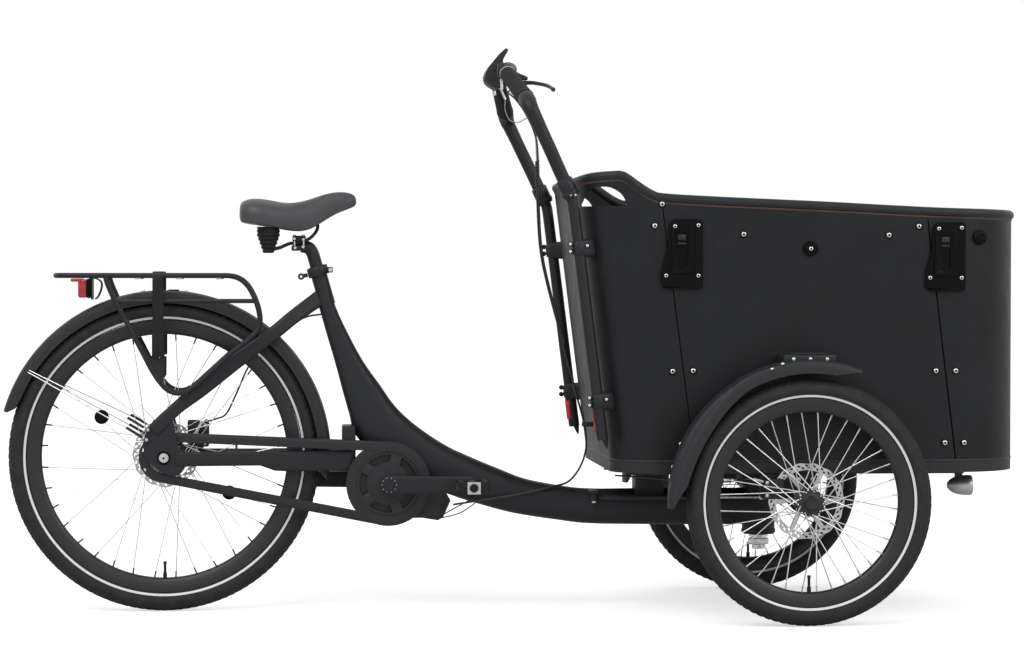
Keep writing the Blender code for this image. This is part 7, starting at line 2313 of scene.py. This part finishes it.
class BuildFrontEnd(bpy.types.Operator):
    """Axle beam with its end plates, kingpin, steering damper, brake calipers and headlight."""

    bl_idname = "trike.front_end"
    bl_label = "Front axle and lamp"

    def execute(self, context):
        self.beam()
        self.damper()
        self.calipers()
        self.lamp()
        return {"FINISHED"}

    def beam(self):
        """Axle beam with its end plates and screws, and the kingpin."""
        top, low, x = 0.3042, 0.2665, FRONT_AXLE.x
        shapes = [block((x - 0.018, -0.302, low), (x + 0.018, 0.302, top), 0.0035, 3)]
        profile = [
            (0.0123, low - 0.002), (0.044, low - 0.002), (0.046, low), (0.046, top - 0.003), (0.044, top - 0.001),
            (0.0123, top - 0.001),
        ]
        shapes.append(lathe(profile, (STEERING_X, 0, 0), "Z", 64))
        shapes.append(block((1.25, -0.061, 0.2432), (1.274, -0.043, low + 0.01), 0.0015, 1))
        shapes.append(block((1.25, -0.061, low), (x, -0.03, top - 0.002), 0.002, 1))
        outline = [
            (x - 0.088, 0.252), (x - 0.088, top - 0.001), (x + 0.03, top - 0.001), (x + 0.03, 0.24),
            (x + 0.015, 0.225), (x - 0.015, 0.225), (x - 0.04, 0.252),
        ]
        line = softened(outline, 0.008)
        for _, side in sides():
            shapes.append(slab([line], "XZ", side * 0.3, side * 0.318))
            stub = [
                (0.0, side * 0.31), (0.0125, side * 0.31), (0.0125, side * 0.32), (0.01, side * 0.325),
                (0.01, side * 0.398), (0.0, side * 0.398),
            ]
            shapes.append(lathe(stub, FRONT_AXLE, "Y", 40))
            collar = [(0.0125, side * 0.317), (0.02, side * 0.317), (0.019, side * 0.326), (0.0125, side * 0.329)]
            shapes.append(lathe(collar, FRONT_AXLE, "Y", 48))
        piece("axle_beam_weldment", shapes, "coat", "front", "front_axle_beam", angle=40)
        low = 0.1545
        profile = [
            (0.0, 0.2945), (0.011, 0.2945), (0.012, 0.2935), (0.012, 0.2642), (0.03, 0.2642), (0.0305, 0.2636),
            (0.03, 0.2625), (0.012, 0.2625), (0.012, low), (0.02, low), (0.0205, low - 0.001), (0.02, low - 0.006),
            (0.014, low - 0.006), (0.014, low - 0.031), (0.013, low - 0.032), (0.0, low - 0.032),
        ]
        pin = lathe(profile, (STEERING_X, 0, 0), "Z", 48)
        piece("kingpin", pin, "steel", "front", "steering_pin")
        nut = moved(hexagon_nut(0.0225, 0.62), Matrix.Translation((STEERING_X, 0, low - 0.0225)))
        piece("kingpin_nut", nut, "steel", "front")
        places = []
        for _, side in sides():
            for dx, z in ((-0.07, 0.292), (-0.045, 0.292), (-0.01, 0.292), (0.018, 0.292)):
                places.append(((x + dx, side * 0.318, z), facing((0, side, 0)), 0.0052))
        repeat("end_plate_screws", screw_head(), places, "steel", "front")

    def damper(self):
        """Steering damper's cylinder and rod."""
        y, z = -0.052, 0.237
        profile = [
            (0.0, 0.912), (0.004, 0.912), (0.004, 0.926), (0.006, 0.928), (0.0065, 0.931), (0.0065, 1.112),
            (0.0072, 1.113), (0.0072, 1.12), (0.0046, 1.1205), (0.0046, 0.945), (0.0, 0.945),
        ]
        shapes = [lathe([(r, x) for r, x in profile], (0, y, z), "X", 40)]
        eye = [(0.003, 0.23), (0.008, 0.23), (0.0085, 0.2306), (0.0085, 0.2436), (0.008, 0.2442), (0.003, 0.2442)]
        shapes.append(lathe(eye, (0.902, y, 0), "Z", 36))
        piece("damper_body", shapes, "coat", "frame", "damper_cylinder")
        eye = [(0.003, 0.232), (0.0085, 0.232), (0.009, 0.2326), (0.009, 0.2414), (0.0085, 0.242), (0.003, 0.242)]
        shapes = [rod((1.0, y, z), (1.255, y, z), 0.004, 20), lathe(eye, (STEERING_X, y, 0), "Z", 36)]
        piece("damper_piston_rod", shapes, "steel", "damper_rod", "damper_rod")
        nut = [(0.0, 0.2262), (0.0045, 0.2262), (0.0052, 0.227), (0.0052, 0.2296), (0.0, 0.2298)]
        nuts = lathe(nut, (0.902, y, 0), "Z", 24)
        piece("damper_pivot_bolt", nuts, "steel", "frame")

    def calipers(self):
        """Three brake calipers, and the front ones' hoses."""
        face = 0.0564
        rear = [
            block((0.046, 0.046, 0.34), (0.0725, face - 0.0016, 0.399), 0.004, 3),
            block((0.046, face + 0.0016, 0.34), (0.0725, 0.069, 0.399), 0.004, 3),
            block((0.07, 0.046, 0.342), (0.092, 0.069, 0.396), 0.005, 3),
        ]
        cap = [(0.0, 0.042), (0.011, 0.042), (0.012, 0.043), (0.012, 0.047), (0.0, 0.047)]
        rear.append(lathe(cap, (0.06, 0, 0.369), "Y", 40))
        piece("rear_caliper_halves", rear, "coat", "frame", "rear_brake_caliper")
        bolts = []
        for x, z in ((0.083, 0.35), (0.083, 0.388)):
            bolts.append(((x, 0.046, z), facing((0, -1, 0)), 0.0044))
            bolts.append(((x, 0.069, z), facing((0, 1, 0)), 0.0044))
        repeat("rear_caliper_bolts", screw_head(), bolts, "steel", "frame")
        lever = [tube([(0.064, 0.0405, 0.37), (0.076, 0.04, 0.392), (0.088, 0.04, 0.402)], 0.0026, 12, flat=0.6)]
        lever.append(rod((0.064, 0.038, 0.37), (0.064, 0.043, 0.37), 0.005, 20, edge=0.0008))
        piece("rear_caliper_arm", lever, "steel", "frame")
        bracket = block((0.03, 0.06, 0.338), (0.08, 0.0655, 0.347), 0.0015, 2)
        piece("rear_caliper_bracket", bracket, "coat", "frame")
        for ending, side in sides():
            x, z = FRONT_AXLE.x, FRONT_AXLE.z
            disc = 0.35
            halves = []
            for near, far in ((0.3188, disc - 0.0016), (disc + 0.0016, 0.3565)):
                ys = sorted((side * near, side * far))
                halves.append(block((x - 0.084, ys[0], z + 0.0045), (x - 0.0465, ys[1], z + 0.0455), 0.003, 3))
            ys = sorted((side * 0.3188, side * 0.3565))
            halves.append(block((x - 0.084, ys[0], z + 0.006), (x - 0.08, ys[1], z + 0.044), 0.0015, 2))
            piece("front_caliper_halves_" + ending, halves, "coat", "front", "front_brake_caliper_" + ending)
            places = [((x - 0.0815, side * 0.3565, z + dz), facing((0, side, 0)), 0.004) for dz in (0.012, 0.038)]
            repeat("front_caliper_bolts_" + ending, screw_head(), places, "steel", "front")
            hose = [
                (x - 0.082, side * 0.334, z + 0.038), (x - 0.105, side * 0.332, z + 0.044),
                (x - 0.13, side * 0.324, z + 0.042), (x - 0.165, side * 0.3, z + 0.036),
                (x - 0.23, side * 0.25, z + 0.036), (x - 0.36, side * 0.1, z + 0.037),
            ]
            piece("front_brake_hose_" + ending, tube(spline(hose, 8), HOSE_RADIUS, 10), "cable", "front")
            near, far = (x - 0.106, side * 0.3318, z + 0.044), (x - 0.085, side * 0.3338, z + 0.0385)
            fittings = rod(near, far, 0.0034, 18, edge=0.0007)
            piece("front_hose_fitting_" + ending, fittings, "alloy", "front")

    def lamp(self):
        """Headlight on its fork."""
        centre = (0.0, 0.0, 0.256)
        bowl = [
            (0.0, 1.671), (0.006, 1.6725), (0.012, 1.678), (0.0165, 1.685), (0.02, 1.695), (0.0214, 1.705),
            (0.022, 1.715), (0.0218, 1.7235), (0.0205, 1.725), (0.0196, 1.7235), (0.019, 1.71), (0.012, 1.696),
            (0.0, 1.692),
        ]
        shell = lathe(bowl, centre, "X", 56)
        piece("headlight_shell", shell, "alloy", "headlight", "headlight", angle=50)
        glass = lathe(
            [(0.0, 1.7185), (0.019, 1.7165), (0.019, 1.7215), (0.01, 1.724), (0.0, 1.7248)], centre, "X", 48
        )
        piece("headlight_glass", glass, "clear", "headlight")
        bulb = lathe(
            [(0.0, 1.6925), (0.0042, 1.6925), (0.0042, 1.702), (0.003, 1.7045), (0.0, 1.705)], centre, "X", 24
        )
        piece("headlight_emitter", bulb, "alloy", "headlight")
        ears = []
        for _, side in sides():
            ys = sorted((side * 0.0045, side * 0.009))
            ears.append(block((1.69, ys[0], 0.268), (1.704, ys[1], 0.294), 0.0015, 2))
        ears.append(rod((1.697, -0.0095, 0.2875), (1.697, 0.0095, 0.2875), 0.0028, 18))
        piece("headlight_fork", ears, "coat", "headlight")
        heads = [((1.697, s * 0.009, 0.2875), facing((0, s, 0)), 0.0042) for s in (-1, 1)]
        repeat("headlight_bolts", screw_head(), heads, "steel", "headlight")


class BuildAxle(bpy.types.Operator):
    """Rear axle with its nuts and washers."""

    bl_idname = "trike.rear_axle"
    bl_label = "Rear axle"

    def execute(self, context):
        bar = [(0.0, -0.0823), (0.0045, -0.0823), (0.005, -0.0815), (0.005, 0.0815), (0.0045, 0.0823), (0.0, 0.0823)]
        shapes, rings = [lathe(bar, REAR_AXLE, "Y", 32)], []
        for _, side in sides():
            face = side * 0.0723
            shapes.append(stood(hexagon_nut(0.0093, 0.72), REAR_AXLE + Vector((0, side * 0.0738, 0)), (0, side, 0)))
            flange = [(0.0052, face), (0.0098, face), (0.0098, side * 0.0738), (0.0052, side * 0.0738)]
            shapes.append(lathe(flange, REAR_AXLE, "Y", 40))
            washer = [
                (0.01, face), (0.0142, face), (0.0142, side * 0.0734), (0.0134, side * 0.0742), (0.01, side * 0.0742)
            ]
            rings.append(lathe(washer, REAR_AXLE, "Y", 40))
            # Painted shade: a thin black disc on the axle's end stands in for the hollow of its socket
            recess = [(0.0, side * 0.0822), (0.0024, side * 0.0822), (0.0024, side * 0.0825), (0.0, side * 0.0825)]
            rings.append(lathe(recess, REAR_AXLE, "Y", 20))
        piece("rear_axle_and_nuts", shapes, "steel", "frame", "rear_axle")
        piece("rear_axle_washers", rings, "gloss", "frame")
        return {"FINISHED"}


# Stage


FRAME_PIXELS = 1024
FOCAL_PIXELS = 2966.5
CAMERA_SPOT = (0.2137 + REAR_X, -6.276, 0.7044)
CAMERA_TURN = (4.728, -1.085, 0.043)  # yaw, pitch and roll in degrees


class BuildStage(bpy.types.Operator):
    """Pale floor, soft light and the camera."""

    bl_idname = "trike.stage"
    bl_label = "Stage"

    def execute(self, context):
        scene = context.scene
        self.floor()
        self.world(scene)
        self.lamps()
        self.camera(scene)
        scene.view_settings.view_transform = "Standard"
        return {"FINISHED"}

    def floor(self):
        """Pale floor that keeps the tricycle's shadow."""
        mesh = bpy.data.meshes.new("floor")
        mesh.from_pydata([(-40, -40, 0), (40, -40, 0), (40, 40, 0), (-40, 40, 0)], [], [(0, 1, 2, 3)])
        thing = bpy.data.objects.new("floor", mesh)
        bpy.context.scene.collection.objects.link(thing)
        material = bpy.data.materials.new("pale_studio_floor")
        material.use_nodes = True
        tree = material.node_tree
        tree.nodes.remove(tree.nodes["Principled BSDF"])
        matte = add(tree, "ShaderNodeBsdfDiffuse", {"Color": (0.8, 0.8, 0.8, 1.0)})
        # The lift grows with the distance from the tricycle, so that the far floor is white like the backdrop
        spot = add(tree, "ShaderNodeTexCoord").outputs["Object"]
        away = add(tree, "ShaderNodeVectorMath", {"operation": "LENGTH"}, {"Vector": spot}).outputs["Value"]
        strength = span(tree, away, 0.56, 0.66, start=0.9, end=2.4)
        lift = add(tree, "ShaderNodeEmission", {"Color": (1.0, 1.0, 1.0, 1.0)}, {"Strength": strength})
        both = add(tree, "ShaderNodeAddShader", None, {0: matte.outputs["BSDF"], 1: lift.outputs["Emission"]})
        path = add(tree, "ShaderNodeLightPath")
        pick = add(
            tree, "ShaderNodeMixShader", None,
            {0: path.outputs["Is Camera Ray"], 1: matte.outputs["BSDF"], 2: both.outputs["Shader"]},
        )
        tree.links.new(pick.outputs["Shader"], tree.nodes["Material Output"].inputs["Surface"])
        mesh.materials.append(material)

    def world(self, scene):
        """White studio, seen by the camera and in reflections, with plain light from it."""
        world = bpy.data.worlds.new("studio")
        world.use_nodes = True
        tree = world.node_tree
        back = tree.nodes["Background"]
        back.inputs["Color"].default_value = (1.0, 1.0, 1.0, 1.0)
        back.inputs["Strength"].default_value = 0.62
        white = add(tree, "ShaderNodeBackground", {"Color": (1.0, 1.0, 1.0, 1.0), "Strength": 1.0})
        path = add(tree, "ShaderNodeLightPath")
        seen = add(
            tree, "ShaderNodeMath", {"operation": "ADD", "use_clamp": True},
            {0: path.outputs["Is Camera Ray"], 1: path.outputs["Is Glossy Ray"]},
        )
        shown = add(
            tree, "ShaderNodeMath", {"operation": "ADD", "use_clamp": True},
            {0: seen.outputs["Value"], 1: path.outputs["Is Transmission Ray"]},
        )
        pick = add(
            tree, "ShaderNodeMixShader", None,
            {0: shown.outputs["Value"], 1: back.outputs["Background"], 2: white.outputs["Background"]},
        )
        tree.links.new(pick.outputs["Shader"], tree.nodes["World Output"].inputs["Surface"])
        scene.world = world

    def lamps(self):
        """Two soft lamps."""
        for name, place, aim, size, power in (
            ("key", (-1.8, -2.6, 3.4), (0.0, 0.0, 0.5), 2.6, 70.0),
            ("fill", (2.6, -2.4, 2.4), (0.0, 0.0, 0.5), 2.4, 40.0),
        ):
            lamp = bpy.data.lights.new(name, "AREA")
            lamp.size = size
            lamp.energy = power
            thing = bpy.data.objects.new(name, lamp)
            thing.location = place
            thing.rotation_euler = (Vector(aim) - Vector(place)).to_track_quat("-Z", "Y").to_euler()
            bpy.context.scene.collection.objects.link(thing)

    def camera(self, scene):
        """Camera at the photograph's place and angle."""
        yaw, pitch, roll = (math.radians(degrees) for degrees in CAMERA_TURN)
        ahead = Vector((math.sin(yaw) * math.cos(pitch), math.cos(yaw) * math.cos(pitch), math.sin(pitch)))
        right = Vector((math.cos(yaw), -math.sin(yaw), 0.0))
        up = right.cross(ahead)
        right, up = right * math.cos(roll) + up * math.sin(roll), up * math.cos(roll) - right * math.sin(roll)
        lens = bpy.data.cameras.new("camera")
        lens.sensor_width = 36.0
        lens.lens = FOCAL_PIXELS / FRAME_PIXELS * lens.sensor_width
        lens.clip_end = 200.0
        thing = bpy.data.objects.new("camera", lens)
        turn = Matrix((right, up, -ahead)).transposed().to_4x4()
        thing.matrix_world = Matrix.Translation(CAMERA_SPOT) @ turn
        scene.collection.objects.link(thing)
        scene.camera = thing


class TrikePanel(bpy.types.Panel):
    """Sizes, colours and steps of the tricycle."""

    bl_idname = "VIEW3D_PT_trike"
    bl_label = "Tricycle"
    bl_space_type = "VIEW_3D"
    bl_region_type = "UI"
    bl_category = "Tricycle"

    def draw(self, context):
        for group in (context.scene.trike_sizes, context.scene.trike_colours):
            for name in group.__annotations__:
                self.layout.prop(group, name)
        for step in STEPS:
            self.layout.operator(step.bl_idname)


STEPS = (
    BuildTyres, BuildWheels, BuildDiscs, BuildAxle, BuildFrame, BuildMotor, BuildDrive, BuildSeat, BuildRack,
    BuildMudguards, BuildBox, BuildHandlebar, BuildCables, BuildFrontEnd, BuildStage,
)
CLASSES = (TrikeSizes, TrikeColours, *STEPS, TrikePanel)


def register():
    for item in CLASSES:
        bpy.utils.register_class(item)
    bpy.types.Scene.trike_sizes = PointerProperty(type=TrikeSizes)
    bpy.types.Scene.trike_colours = PointerProperty(type=TrikeColours)


def unregister():
    del bpy.types.Scene.trike_colours
    del bpy.types.Scene.trike_sizes
    for item in reversed(CLASSES):
        bpy.utils.unregister_class(item)


def main():
    register()
    for step in STEPS:
        group, name = step.bl_idname.split(".")
        getattr(getattr(bpy.ops, group), name)()


if __name__ == "__main__":
    main()
